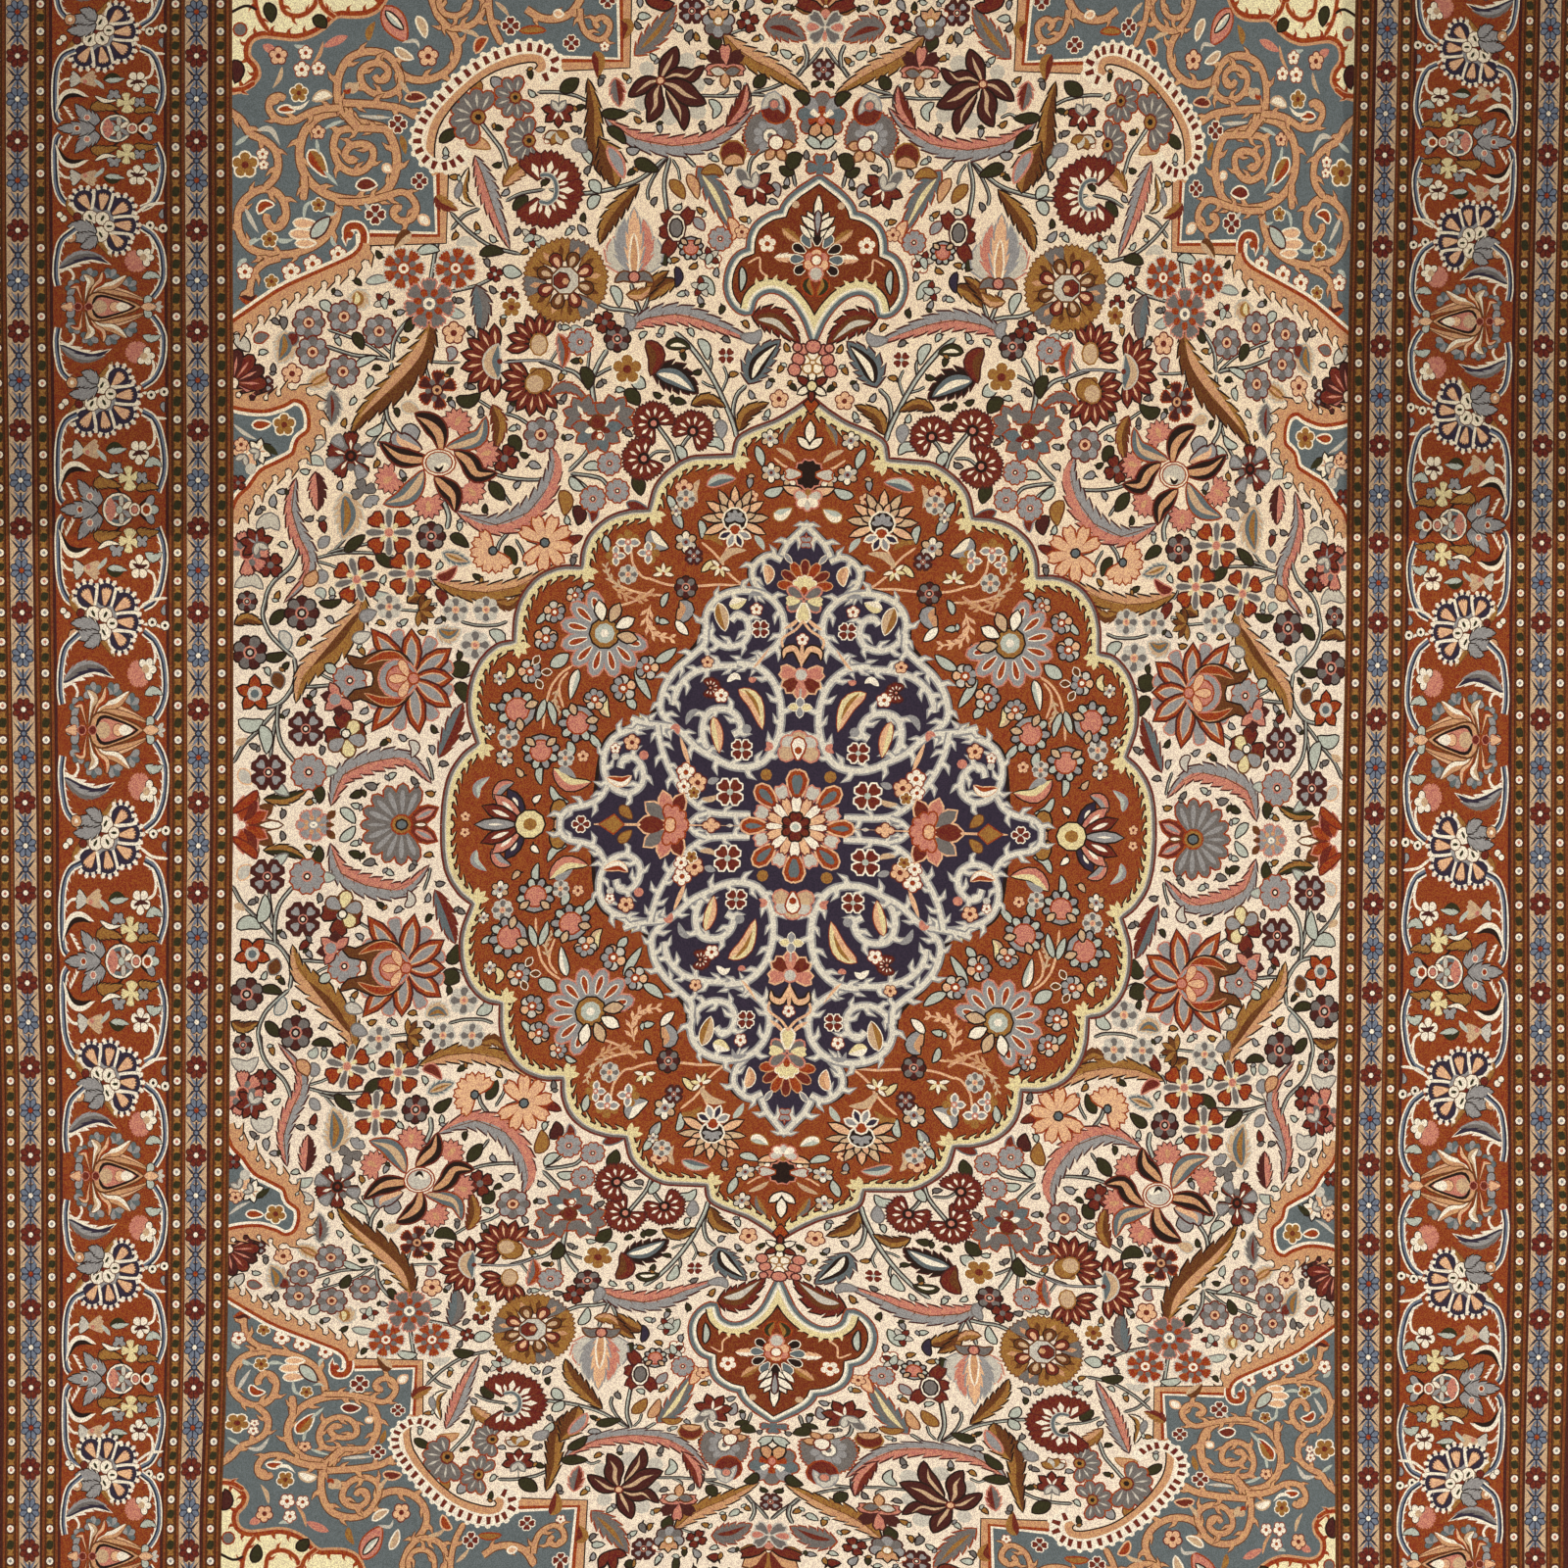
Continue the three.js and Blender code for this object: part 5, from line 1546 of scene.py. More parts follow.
def axis_chain():
    """What stands on the middle line, drawn whole; its mirror image falls on itself."""
    ax = middle(575)
    whorl(ax, 597, 9, 28, 8.5, 7, 90, ("rust", "dark_red"), "tan", "round", 170, edge=1)
    for turn in (52, 128):
        petal(ax, 590, 22, 34, 5, turn, "silver", "cream", "point", edge=0.8)
    whorl(ax, 599, 3, 14, 6, 7, 90, ("straw",), "cream", "round", 170, edge=1)
    disc(ax, 600, 4.5, "rust", None, 8)
    ax = middle(610)
    for turn in (35, 145, 215, 325):
        petal(ax, 609, 2, 19, 9, turn, "slate", "salmon")
    for turn in (0, 180):
        petal(ax, 611, 4, 19, 10, turn, "straw", None, "heart")
    petal(ax, 614, 0, 18, 13, 270, "straw", "cream", "heart")
    vine(((ax, 630), (ax - 8, 640), (ax - 22, 650), (ax - 20, 662)), 2.5, "peach")
    blossom("small_cream", middle(650), 650, 6)
    ax = middle(685)
    leaf(((ax, 676), (ax - 6, 660), (ax - 16, 662), (ax - 18, 670)), 6, "peach")
    vine(((ax, 678), (ax, 662), (ax + 1, 655)), 2.2, "peach")
    whorl(ax, 688, 2, 22, 13, 5, 270, ("salmon", "dark_red"), "peach", "heart", 210)
    disc(ax, 686, 6, "mist", "salmon", 8)
    ax = middle(718)
    vine(((ax, 700), (ax, 715)), 2.2, "pale_blue")
    for turn, long in ((0, 12), (180, 12), (90, 10), (270, 11)):
        petal(ax, 719, 0, long, 8, turn, "straw" if turn in (0, 180) else "silver", "cream", "point",
            edge=0.8)
    ax = middle(760)
    whorl(ax, 764, 2, 20, 15, 5, 90, ("sand", "mist"), "salmon", "round", 200)
    petal(ax, 772, 0, 22, 13, 90, "cream", "rust")
    disc(ax, 763, 4, "rust", None, 7)
    vine(((ax, 776), (ax, 790)), 2.4, "peach")
    for turn in range(0, 360, 45):
        petal(812, 839, 28, 56, 17, turn, "rust", "peach")
        petal(812, 839, 33, 52, 8, turn, "steel")
        petal(812, 839, 26, 44, 12, turn + 22.5, "mist", "salmon", "heart")
    whorl(812, 839, 9, 31, 8, 16, 0, ("cream", "peach"), "dark_red", "heart")
    whorl(812, 839, 3, 15, 7, 8, 11, ("dark_red",), "black")
    disc(812, 839, 4.5, "pale_blue", "cream", 8)
    # between the tip of the medallion and the centre
    ax = middle(440)
    petal(ax, 452, 0, 24, 10, 90, "cream", "black", "point")
    for turn in (42, 138):
        petal(ax, 456, 0, 17, 8, turn, "cream", "black", "point")
    petal(ax, 418, -2, 14, 12, 90, "rust", "black", "kite")
    vine(((ax, 456), (ax, 476)), 2.4, "peach")
    ax = middle(480)
    whorl(ax, 482, 0, 15, 12, 6, 90, ("black",), "salmon", "heart")
    whorl(ax, 482, 8, 24, 11, 2, 0, ("mist", "mist"), "rust", "heart")
    for side in (-1, 1):
        leaf(((ax + side * 8, 497), (ax + side * 16, 499), (ax + side * 26, 495)), 8, "peach")
    whorl(ax, 505, 2, 14, 9, 5, 270, ("mist", "cream"), "salmon", "round", 200)
    disc(ax, 500, 4, "ochre", None, 7)
    leaf(((ax, 557), (ax, 548), (ax, 539)), 7, "silver", None, "rust", edge=1)
    for turn in (30, 150, 210, 330):
        petal(ax, 551, 2, 9, 5, turn, "silver", "rust", "point", edge=1)
    # between the pendant and the medallion
    ax = middle(385)
    for turn in range(0, 360, 60):
        petal(ax, 392, 2, 17, 7, turn + 30, "cream" if turn % 120 else "dark_red", "black", "point")
    disc(ax, 392, 5, "straw", "black", 8)
    whorl(ax, 368, 3, 12, 9, 5, 90, ("cream",), "ochre")
    for side in (-1, 1):
        for dx, down, radius in ((14, 365, 6), (18, 376, 6), (9, 355, 5), (15, 353, 4)):
            disc(ax + side * dx, down, radius, "salmon", "plum", 8)
    disc(ax, 352, 6, "salmon", "plum", 8)


PENDANT_EDGE = (
    ((836, 184), (824, 192), (810, 203), (803, 212), (801, 219)),
    ((801, 219), (788, 222), (775, 231), (769, 243), (768, 257)),
    ((768, 257), (756, 262), (748, 274), (745, 290), (748, 303), (755, 312), (763, 315)),
    ((763, 315), (766, 304), (773, 296), (784, 291.5), (796, 293), (808, 300.5), (818, 312), (826, 326),
    (832, 343)),
)


def pendant():
    edge = through(PENDANT_EDGE)
    for step, yarn in ((-7.8, "rust"), (-6.4, "steel"), (-2.6, "pale_blue"), (-1.2, "cream"),
            (1.4, "black"), (2.8, "russet")):
        lay(beside(edge, step) + [(836, 346 - step), (840, 184 + step)], yarn)
    arch = smooth(PENDANT_EDGE[-1])
    for step, yarn in ((8.4, "black"), (6.8, "straw")):
        lay(beside(arch, 1) + beside(arch, step)[::-1], yarn)
    hooks(smooth(((770, 292), (778, 287), (791, 286), (803, 291), (811, 299))), 9, 7, 3, "straw", 0.3)
    leaf(((757, 272), (758, 284), (756, 296)), 6, "pale_blue")
    vine(((763, 268), (775, 262), (776, 275), (784, 282)), 2, "peach")
    blossom("small_cream", 783, 248, 9)
    leaf(((790, 262), (803, 262), (816, 262)), 9, "cream", "peach", None, teeth=4)
    leaf(((798, 232), (808, 240), (818, 247)), 9, "ochre", "tan", None, teeth=4)
    disc(812, 208, 4, "sand", None, 7)
    ax = middle(262)
    for side in (-1, 1):
        leaf(((ax + side * 4, 300), (ax + side * 10, 290), (ax + side * 7, 282)), 9, "green", "ochre",
            "rust")
    whorl(ax, 262, 13, 27, 9, 9, 90, ("black", "steel"), "cream", "round", 250, edge=1)
    for turn in (52, 128, 72, 108):
        petal(ax, 250, 10, 27, 6, turn, "cream", "black", "point", edge=1)
    whorl(ax, 266, 2, 13, 10, 5, 90, ("peach", "salmon"), "rust", "round", 220)
    disc(ax, 264, 5, "cream", "rust", 8)
    disc(ax, 278, 7, "mist", "salmon", 8)
    ax = middle(215)
    petal(ax, 236, 0, 38, 9, 90, "cream", "black", "point")
    for turn in (60, 120, 40, 140):
        petal(ax, 234, 0, 22, 8, turn, "cream", "black", "point")
    petal(ax, 238, 0, 24, 6, 90, "silver", "plum")


def middle(down):
    """Where the middle line runs: it leans a little to the left on its way down."""
    return 843.0 - 0.0372 * down


def yarn_at(places, outlines):
    """The yarn number of the last outline laid over each place, or -1."""
    top = np.full(len(places), -1)
    xs, ys = places[:, 0], places[:, 1]
    for yarn, ring in outlines:
        low, high = ring.min(0), ring.max(0)
        near = np.nonzero((xs > low[0]) & (xs < high[0]) & (ys > low[1]) & (ys < high[1]))[0]
        if not len(near):
            continue
        x, y = xs[near, None], ys[near, None]
        ax, ay = ring[:, 0], ring[:, 1]
        bx, by = np.roll(ax, -1), np.roll(ay, -1)
        side = (bx - ax) * (y - ay) - (x - ax) * (by - ay)
        wind = ((ay <= y) & (by > y) & (side > 0)).sum(1) - ((ay > y) & (by <= y) & (side < 0)).sum(1)
        top[near[wind != 0]] = yarn
    return top


# Small sprigs where the ground is still open: the ground, how many clear steps they need round them,
# how far apart they are, their leaf's length and width, the last row that has them, and their yarns.
SPRIGS = (
    ("ivory", 2, 17, 13, 7, 838, ("green", "silver", "ochre", "pale_blue", "dark_red", "slate")),
    ("madder", 2, 15, 11, 6, 838, ("pale_blue", "sand", "silver", "cream", "salmon")),
    ("sienna", 2, 15, 11, 6, 838, ("sand", "cream")),
    ("lemon", 2, 19, 12, 7, -14, ("rust", "green", "pale_blue", "ochre")),
    ("steel", 2, 19, 12, 7, -14, ("tan", "sand", "pale_blue", "peach")),
    ("ivory", 1, 19, 9, 5, 838, ("slate", "pale_blue", "ochre", "silver", "green")),
)
SPRIG_STEP = 4


def open_places(ground, reach):
    """The squares with nothing but one ground a step or two round them."""
    columns = np.arange(244, 846, SPRIG_STEP)
    rows = np.arange(-146, 838, SPRIG_STEP)
    grid = np.stack(np.meshgrid(columns, rows, indexing="ij"), axis=-1)
    names = sorted(YARNS)
    top = yarn_at(grid.reshape(-1, 2).astype(float), [(names.index(yarn), np.array(ring))
        for ring, yarn in cartoon])
    free = top.reshape(grid.shape[:2]) == names.index(ground)
    for axis in (0, 1, 0, 1)[:2 * reach]:
        free = free & np.roll(free, 1, axis) & np.roll(free, -1, axis)
    return grid[2:-2, 2:-2][free[2:-2, 2:-2]].tolist()


def sprigs():
    for ground, reach, apart, long, wide, last_row, yarns in SPRIGS:
        taken = []
        for across, down in sorted(open_places(ground, reach),
                key=lambda spot: (spot[0] * 37 + spot[1] * 59) % 101):
            if down > last_row or any(math.hypot(across - x, down - y) < apart for x, y in taken):
                continue
            turn = 137.5 * len(taken)
            yarn = yarns[len(taken) % len(yarns)]
            taken.append((across, down))
            stem = turned(((-0.6 * long, -0.2 * long), (-0.2 * long, 0.1 * long), (0.1 * long, 0)), across,
                down, turn)
            vine(stem, 2.6, "black", steps=2)
            leaf(turned(((-0.3 * long, 0), (0, 0.12 * long), (0.6 * long, 0)), across, down, turn), wide,
                yarn, edge=1.5,
                 steps=3)
            if len(taken) % 2:
                leaf(turned(((-0.4 * long, 0), (-0.5 * long, 0.3 * long), (-0.4 * long, 0.6 * long)),
                    across, down, turn),
                     0.6 * wide, yarns[len(taken) // 2 % len(yarns)], edge=1.2, steps=2)


def quarter_cartoon():
    lay([(200, -170), (870, -170), (870, 850), (200, 850)], "ivory")
    for part in (field, corner_piece, crown_flowers, medallion, centre, pendant, axis_chain):
        part()
    sprigs()


quarter_cartoon()
quarter = list(cartoon)


# The borders. A rust band of fans, rosettes and flame palmettes between two sand-coloured bands of
# rosettes, with narrow dark strips of beads, and a plain plum-brown band outermost. They are charted
# as on the left side, with down along the border, and a unit about down 0.
def toothed_leaf(points, wide, yarn, eye=None, line="black"):
    leaf(points, wide, yarn, None, line, teeth=5, fat=0.42, edge=1.2)
    if eye:
        x, y = smooth(points)[len(smooth(points)) // 2]
        disc(x, y, wide * 0.2, eye, "cream", 6, edge=0.8)


def runner(points, side):
    """A vine of the borders: slate and navy between two ivory lines, barbed on its inner side."""
    path = smooth(points)
    hooks(path[::-side][2:-2], 9, 6.4, 1.8, "cream", 0.5)
    ribbon(path, 7.4, "cream")
    ribbon(path, 4.2, "indigo")
    ribbon(beside(path, 0.8), 1.8, "blue")


def fan_unit():
    """A fan palmette: dark lobes with peach drops round an ivory heart, white jags round them."""
    lobes = ((87, -24, 11, 104), (106, -25, 11, 82), (124, -16, 11.5, 42), (127.5, 1, 11.5, 2),
        (120, 17, 10.5, -34))
    for points in (((70, -26), (76, -14), (92, 2)), ((98, 14), (108, 22), (114, 34))):
        leaf(points, 9, "sand", "ochre", "brown", edge=0.8)
    for x, y, r, turn in lobes:
        disc(x, y, r + 2.8, "cream", None, 14)
        whorl(x, y, r + 0.5, r + 6, 5, 7, turn, ("cream",), None, "kite", 180)
    disc(104, -3, 20, "silver", None, 12)
    for x, y, r, turn in lobes:
        disc(x, y, r + 0.4, "navy", None, 12)
        whorl(x, y, r - 1, r + 3.6, 3.6, 6, turn, ("navy",), None, "kite", 150)
    for x, y, r, turn in lobes:
        away = math.degrees(math.atan2(-2 - y, x - 102))
        bx, by = turned([(-r * 0.9, 0)], x, y, away)[0]
        petal(bx, by, 0, r * 1.5, r * 0.8, away, "peach", "brown", "fringed", edge=0.7)
    for ax, ay, bx, by in ((94, -14, 97, -36), (111, -14, 116, -32), (116, -7, 139, -8), (112, 9, 136, 11)):
        vine(((ax, ay), ((ax + bx) / 2 + 1, (ay + by) / 2 - 1), (bx, by)), 3, "cream", steps=2, taper=0.8)
    disc(100, 1, 13, "dark_red")
    for x, y, r, turn in ((93, -7, 7.5, 120), (105, -6, 7, 60), (91, 3, 6, 190), (103, 10, 8, 300),
            (112, 2, 5.5, 0)):
        disc(x, y, r, "cream", "brown", 9, edge=0.9)
        petal(x, y, -3, r * 0.5, 3, turn, "green", None, "hook")
    toothed_leaf(((99, 8), (84, 2), (70, 2)), 12, "silver")
    toothed_leaf(((98, 10), (84, 14), (70, 8)), 10, "silver")
    toothed_leaf(((99, 12), (92, 20), (83, 23)), 10, "silver")
    for x, y, r, yarn in ((73, 13, 5.6, "tan"), (80, -8, 4, "dark_red"), (66, -6, 3.4, "cream"),
            (62, -10, 3, "cream")):
        disc(x, y, r, yarn, "black", 8, edge=0.9)
    disc(73, 13, 2.2, "cream", None, 6)
    vine(((144, 3), (156, 3), (166, 8)), 2.6, "cream")
    vine(((140, -12), (152, -20), (168, -22)), 2.8, "cream")
    for x, y in ((153, 1), (166, 4)):
        disc(x, y, 4.6, "cream", "black", 7, edge=0.9)
        disc(x, y, 1.9, "black", None, 5)
    leaf(((166, -6), (164, -10), (166, -16)), 4, "silver", edge=0.8)


def rosette_unit():
    """A round rosette with three serrated leaves behind it, and the vines and buds round it."""
    for side in (1, -1):
        def turned_over(*flat):
            return [(x, side * y) for x, y in spots(flat)]
        runner(turned_over(144, -82, 154, -77, 161, -66, 165.5, -46, 165, -30, 159, -15), side)
        runner(turned_over(78, -80, 66, -74, 59, -58, 57.5, -30, 59, -12, 63, -6), -side)
        vine(turned_over(152, -76, 156, -64, 154, -54, 146, -50), 2.6, "cream")
        vine(turned_over(60, -42, 68, -50, 82, -50), 2.4, "cream")
        leaf(turned_over(58, -16, 66, -33, 78, -37, 92, -32), 7.5, "cream", None, None, fat=0.5)
        leaf(turned_over(60, -18, 68, -31, 78, -34, 89, -31), 4.6, "black", None, None, fat=0.5)
        hooks(turned_over(66, -22, 70, -16, 74, -10), 4, 4, 2.6, "cream")
        petal(84, -49 * side, 0, 11, 15, 180 - 8 * side, "mist", "black", "fringed", edge=0.9)
        petal(84, -49 * side, -1, 16, 15, 8 * side, "sand", None, "fringed")
        leaf(turned_over(97, -50, 104, -44, 107, -40), 4.4, "pale_blue", None, None)
        disc(88, -48 * side, 2.4, "salmon", None, 6)
        leaf(turned_over(106, -49, 116, -53, 126, -49), 8, "green", None, None)
        leaf(turned_over(108, -49, 117, -49, 128, -51), 5, "pale_blue", teeth=3, edge=0.7)
        whorl(140, -48 * side, 2, 10.5, 8, 5, -90 * side, ("cream",), "brown", "round", 290, edge=0.8)
        leaf(turned_over(133, -45, 141, -48, 149, -46), 4.2, "plum", None, None)
        leaf(turned_over(146, -36, 155, -41, 163, -36), 7.4, "pale_blue", teeth=3, edge=0.9)
        vine(turned_over(104, -26, 118, -17, 134, -2, 150, 11), 2.2, "black")
        toothed_leaf(turned_over(94, -20, 104, -23, 122, -19), 9, "ochre")
        toothed_leaf(turned_over(138, -17, 148, -20, 160, -18), 7, "ochre")
        leaf(turned_over(98, -33, 108, -28, 120, -29), 4, "cream", edge=0.9)
        whorl(117, -33 * side, 0, 7, 5, 4, 90 * side, ("silver",), "black", "round", 200, edge=0.8)
        whorl(130, -26 * side, 0, 10.5, 7.5, 5, 96 * side, ("straw",), "brown", "fringed", 330, edge=0.8)
        whorl(143, -26 * side, 0, 6, 4.5, 4, 90 * side, ("silver",), "black", "round", 240, edge=0.8)
        toothed_leaf(turned_over(103, -8, 90, -11, 78, -25), 14, "silver", "salmon")
    toothed_leaf(((98, 0), (80, 0), (60, 0)), 13, "silver", "rust")
    disc(119, 0, 17, "black", None, 16, tall=0.88)
    disc(119, 0, 15.8, "cream", None, 16, tall=0.88)
    disc(119, 0, 13.6, "steel", None, 16, tall=0.88)
    disc(118, 0, 11.6, "dark_red", None, 14, tall=0.72)
    whorl(122, 0, 1, 12, 5, 6, 60, ("mist", "silver", "cream"), "brown", "round", 300, edge=0.7)
    whorl(118, 0, 2, 13, 6.4, 3, 180, ("salmon",), None, "fringed", 80)
    disc(120, 0, 3.4, "pale_blue", "brown", 7, edge=0.8)
    disc(135.5, 0, 5.6, "cream", "brown", 9, edge=0.8)
    disc(135.5, 0, 3.2, "salmon", "dark_red", 7, edge=0.8)
    whorl(145, 0, 1, 15, 7.4, 3, 0, ("silver", "pale_blue", "silver"), "black", "round", 100, edge=0.9)
    disc(147.5, 0, 4, "rust", "cream", 7)


def flame_unit():
    """A flame palmette: a dark-edged drop between feathers of ivory and tan, buds at their tips."""
    for side in (1, -1):
        def turned_over(*flat):
            return [(x, side * y) for x, y in spots(flat)]
        runner(turned_over(144, -84, 156, -75, 164, -58, 166, -34, 162, -20, 155, -10), side)
        runner(turned_over(78, -82, 64, -70, 59, -52, 58, -34, 60, -22), -side)
        vine(turned_over(152, -76, 156, -62, 150, -50), 2.6, "cream")
        vine(turned_over(62, -36, 70, -40, 76, -32, 70, -22), 2.6, "cream")
        leaf(turned_over(61, -38, 76, -48, 94, -52, 114, -44), 13, "cream", None, None, fat=0.4, teeth=5,
            both=side < 0)
        leaf(turned_over(61, -40, 76, -50, 94, -53, 112, -45), 9.5, "navy", None, None, fat=0.4)
        leaf(turned_over(61, -41, 76, -53, 92, -56, 108, -51), 8, "silver", "slate", None, fat=0.4, teeth=4)
        whorl(139, -48 * side, 0, 12, 9, 6, 0, ("salmon",), None, "fringed")
        whorl(147, -52 * side, 0, 10, 7, 4, 30 * side, ("cream",), "black", "round", 200, edge=0.9)
        disc(146, -52 * side, 4, "sand", None, 7)
        leaf(turned_over(145, -30, 154, -34, 163, -30), 7.4, "pale_blue", teeth=3, edge=0.9)
        for x, y, turn in ((92, -31, 115), (112, -31, 80), (130, -22, 50), (77, -19, 150)):
            whorl(x, y * side, 0, 10, 6.5, 4, turn * side, ("steel", "silver"), "brown", "round", 150,
                edge=0.9)
        for reach, yarn in ((19, "peach"), (15.5, "tan")):
            leaf(turned_over(90, -3, 103, -reach, 126, -reach * 0.85, 152, -5), 5, yarn, None, "brown",
                edge=0.8, fat=0.4)
        for row in ((90, -4, 100, -19, 116, -23, 129, -33, 8, "cream", "tan"),
                (89, -5, 96, -20, 104, -27, 105, -37, 7, "peach", "rust"),
                    (87, -5, 90, -20, 93, -27, 86, -34, 7.5, "cream", "sand"),
                    (85, -4, 82, -15, 80, -22, 72, -20, 5.5, "peach", "rust")):
            leaf(turned_over(*row[:8]), row[8], row[9], row[10], "brown", edge=0.8, fat=0.66)
    leaf(((88, 0), (106, 0), (143, 0)), 29, "tan", None, "brown", fat=0.38)
    leaf(((93, 0), (108, 0), (139, 0)), 26, "black", None, None, fat=0.38)
    leaf(((96, 0), (108, 0), (135, 0)), 20, "salmon", None, None, fat=0.38)
    disc(102, 0, 7.4, "sand", None, 9)
    disc(117, 0, 5.2, "peach", "brown", 8, edge=0.7)
    leaf(((118, 0), (124, 0), (133, 0)), 9.5, "cream", None, None)
    whorl(146, 0, 3, 13, 8, 3, 0, ("pale_blue", "silver", "pale_blue"), "black", "round", 120, edge=0.9)
    whorl(157, 0, 0, 9, 4, 3, 0, ("mist",), None, "round", 80)
    petal(150, 0, -9, 7, 9, 180, "peach", "brown", "point", edge=0.8)
    whorl(76, 0, 1, 13, 8.4, 3, 180, ("silver", "pale_blue", "silver"), "black", "round", 130, edge=0.9)
    petal(70, 0, -7, 5, 8, 0, "peach", "rust", "fringed", edge=0.8)
    for x in (80, 91):
        disc(x, 0, 3.8, "dark_red", "salmon", 7, edge=0.9)


def band_rosette(yarn, line, eye):
    """One rosette of the sand-coloured bands."""
    disc(0, 0, 10.2, line)
    whorl(0, 0, 3.4, 11.2, 5, 8, 22.5, (yarn,), line, edge=1)
    disc(0, 0, 3.6, line, None, 8)
    disc(0, 0, 2.7, eye, None, 6)


def band_crossing(half):
    """The crossing of leaves between two rosettes, as far up and down as the two leave free."""
    lay([(-1, -half), (1, -half), (1, half), (-1, half)], "indigo")
    for sx in (-1, 1):
        for sy in (-1, 1):
            for arm, yarn in (((0, 0.4, 5, 2, 11.6, 12.4, 4.4, 5.6), "indigo"),
                    ((0.4, 3.4, 3, 4.8, 7.6, 13.6, 1.4, 8.6), "blue")):
                lay([(x * sx, y * sy) for x, y in spots(arm)], yarn)
    disc(0, 0, 2.2, "blue", "indigo", 6)


def guard_bead(blue):
    """A white bead of the narrow dark strips."""
    disc(0, 0, 4, "cream", "plum", 8, edge=1.3)
    disc(0, 0, 1.9, "silver" if blue else "salmon", None, 5)


def guard_lozenge():
    """The green lozenge between two beads, and the ochre before and after it."""
    for y in (-7, 7):
        lay([(-3.8, y - 3), (3.8, y - 3), (2.2, y), (3.8, y + 3), (-3.8, y + 3), (-2.2, y)], "ochre")
    lay([(-4, -0.5), (-1.4, -4.8), (3.9, -3.8), (4, 0.5), (1.4, 4.8), (-3.9, 3.8)], "green")




UNITS = {"fan": fan_unit, "rosette": rosette_unit, "flame": flame_unit}
# Along the left side border: unit, its place, which way its head turns, and how far it is drawn out.
SIDE_UNITS = (
    ("flame", -58, 1, 1.0), ("fan", 33, -1, 1.0), ("rosette", 131, 1, 1.0), ("fan", 229, 1, 1.0),
    ("flame", 313, 1, 0.97),
    ("fan", 404, -1, 1.05), ("rosette", 520, 1, 1.22), ("fan", 634, 1, 1.08), ("flame", 745, 1, 1.2),
    ("fan", 852, -1, 1.1), ("rosette", 981, 1, 1.26), ("fan", 1104, 1, 1.1), ("flame", 1200, 1, 1.1),
    ("fan", 1296, -1, 1.0), ("rosette", 1407, 1, 1.1), ("fan", 1503, 1, 1.0), ("flame", 1588, 1, 1.0),
    ("fan", 1676, -1, 1.0), ("rosette", 1770, 1, 0.95),
)
LEFT_SPOTS = tuple(place for _, place, _, _ in SIDE_UNITS)
RIGHT_SPOTS = (-40, 50, 145, 246, 328, 420, 536, 644, 755, 864, 992, 1112, 1210, 1306, 1417, 1512, 1596,
    1684, 1775)
END_RUN = 1152
END_UNITS = tuple((unit, END_RUN / 2 + side * off, side if unit == "fan" else 1, 1.0)
                  for unit, off in (("rosette", 0), ("fan", 100), ("flame", 196), ("fan", 292),
                  ("rosette", 392), ("fan", 492))
                  for side in ((-1, 1) if off else (1,)))
FIELD_SIDE = 236
FIELD_TOP = -150
FIELD_BOTTOM = 1826
OUTERMOST = 300
# Where the rosettes of the bands and the beads of the guard strips sit along a side; above and
# below these they go on evenly to the corners.
ROSETTE_ROWS = (12, 57, 101, 144, 184, 235, 286, 338, 388, 439, 490, 539, 582, 625, 669, 724, 773, 819, 863,
    911,
                957, 1003, 1043, 1089, 1133, 1179, 1220, 1260, 1300, 1336, 1375, 1416, 1457, 1499, 1541,
                1582)
BEAD_ROWS = (4, 32, 61, 93, 121, 150, 177, 214, 253, 286, 323, 355, 391, 428, 464, 498, 533, 564, 593, 625,
    655,
             687, 720, 755, 785, 816, 848, 877, 912, 945, 977, 1008, 1040, 1071, 1103, 1135, 1165, 1196,
             1222,
             1249, 1277, 1303, 1331, 1357, 1385, 1411, 1439, 1471, 1500, 1530, 1560, 1593)
ROSETTE_PITCH = 45.5
BEAD_PITCH = 32


def run_of(rows, pitch, low, high):
    """Places along a border, each with its number, carried on evenly to the corners at both ends."""
    before = round((rows[0] - low) / pitch)
    after = round((high - rows[-1]) / pitch)
    places = [low + (rows[0] - low) * k / before for k in range(before)] + list(rows)
    places += [rows[-1] + (high - rows[-1]) * (k + 1) / after for k in range(after)]
    return [(k - before, place) for k, place in enumerate(places)]


def stamp(draw, place, flip=1, stretch=1.0, across=0.0):
    """Draws a unit at its place along a border."""
    start = len(cartoon)
    draw()
    for k in range(start, len(cartoon)):
        points, yarn = cartoon[k]
        cartoon[k] = ([(across + x, place + flip * stretch * y) for x, y in points], yarn)


# The narrow strips and the bands between them, from the field outwards: where each ends, and its yarn.
STRIPS = (
    (0, 2, "brown"), (2, 22, "guard"), (22, 24.5, "plum"), (24.5, 47.5, "sand"), (47.5, 66.5, "guard"),
    (66.5, 69, "plum"),
    (69, 181, "brick"), (181, 184, "plum"), (184, 203, "guard"), (203, 204.5, "plum"),
    (204.5, 227.5, "sand"),
    (227.5, 247, "guard"), (247, 300, "plum"),
)
GUARD_CENTRES = (12, 57, 193, 237.5)
BAND_CENTRES = (36, 216)


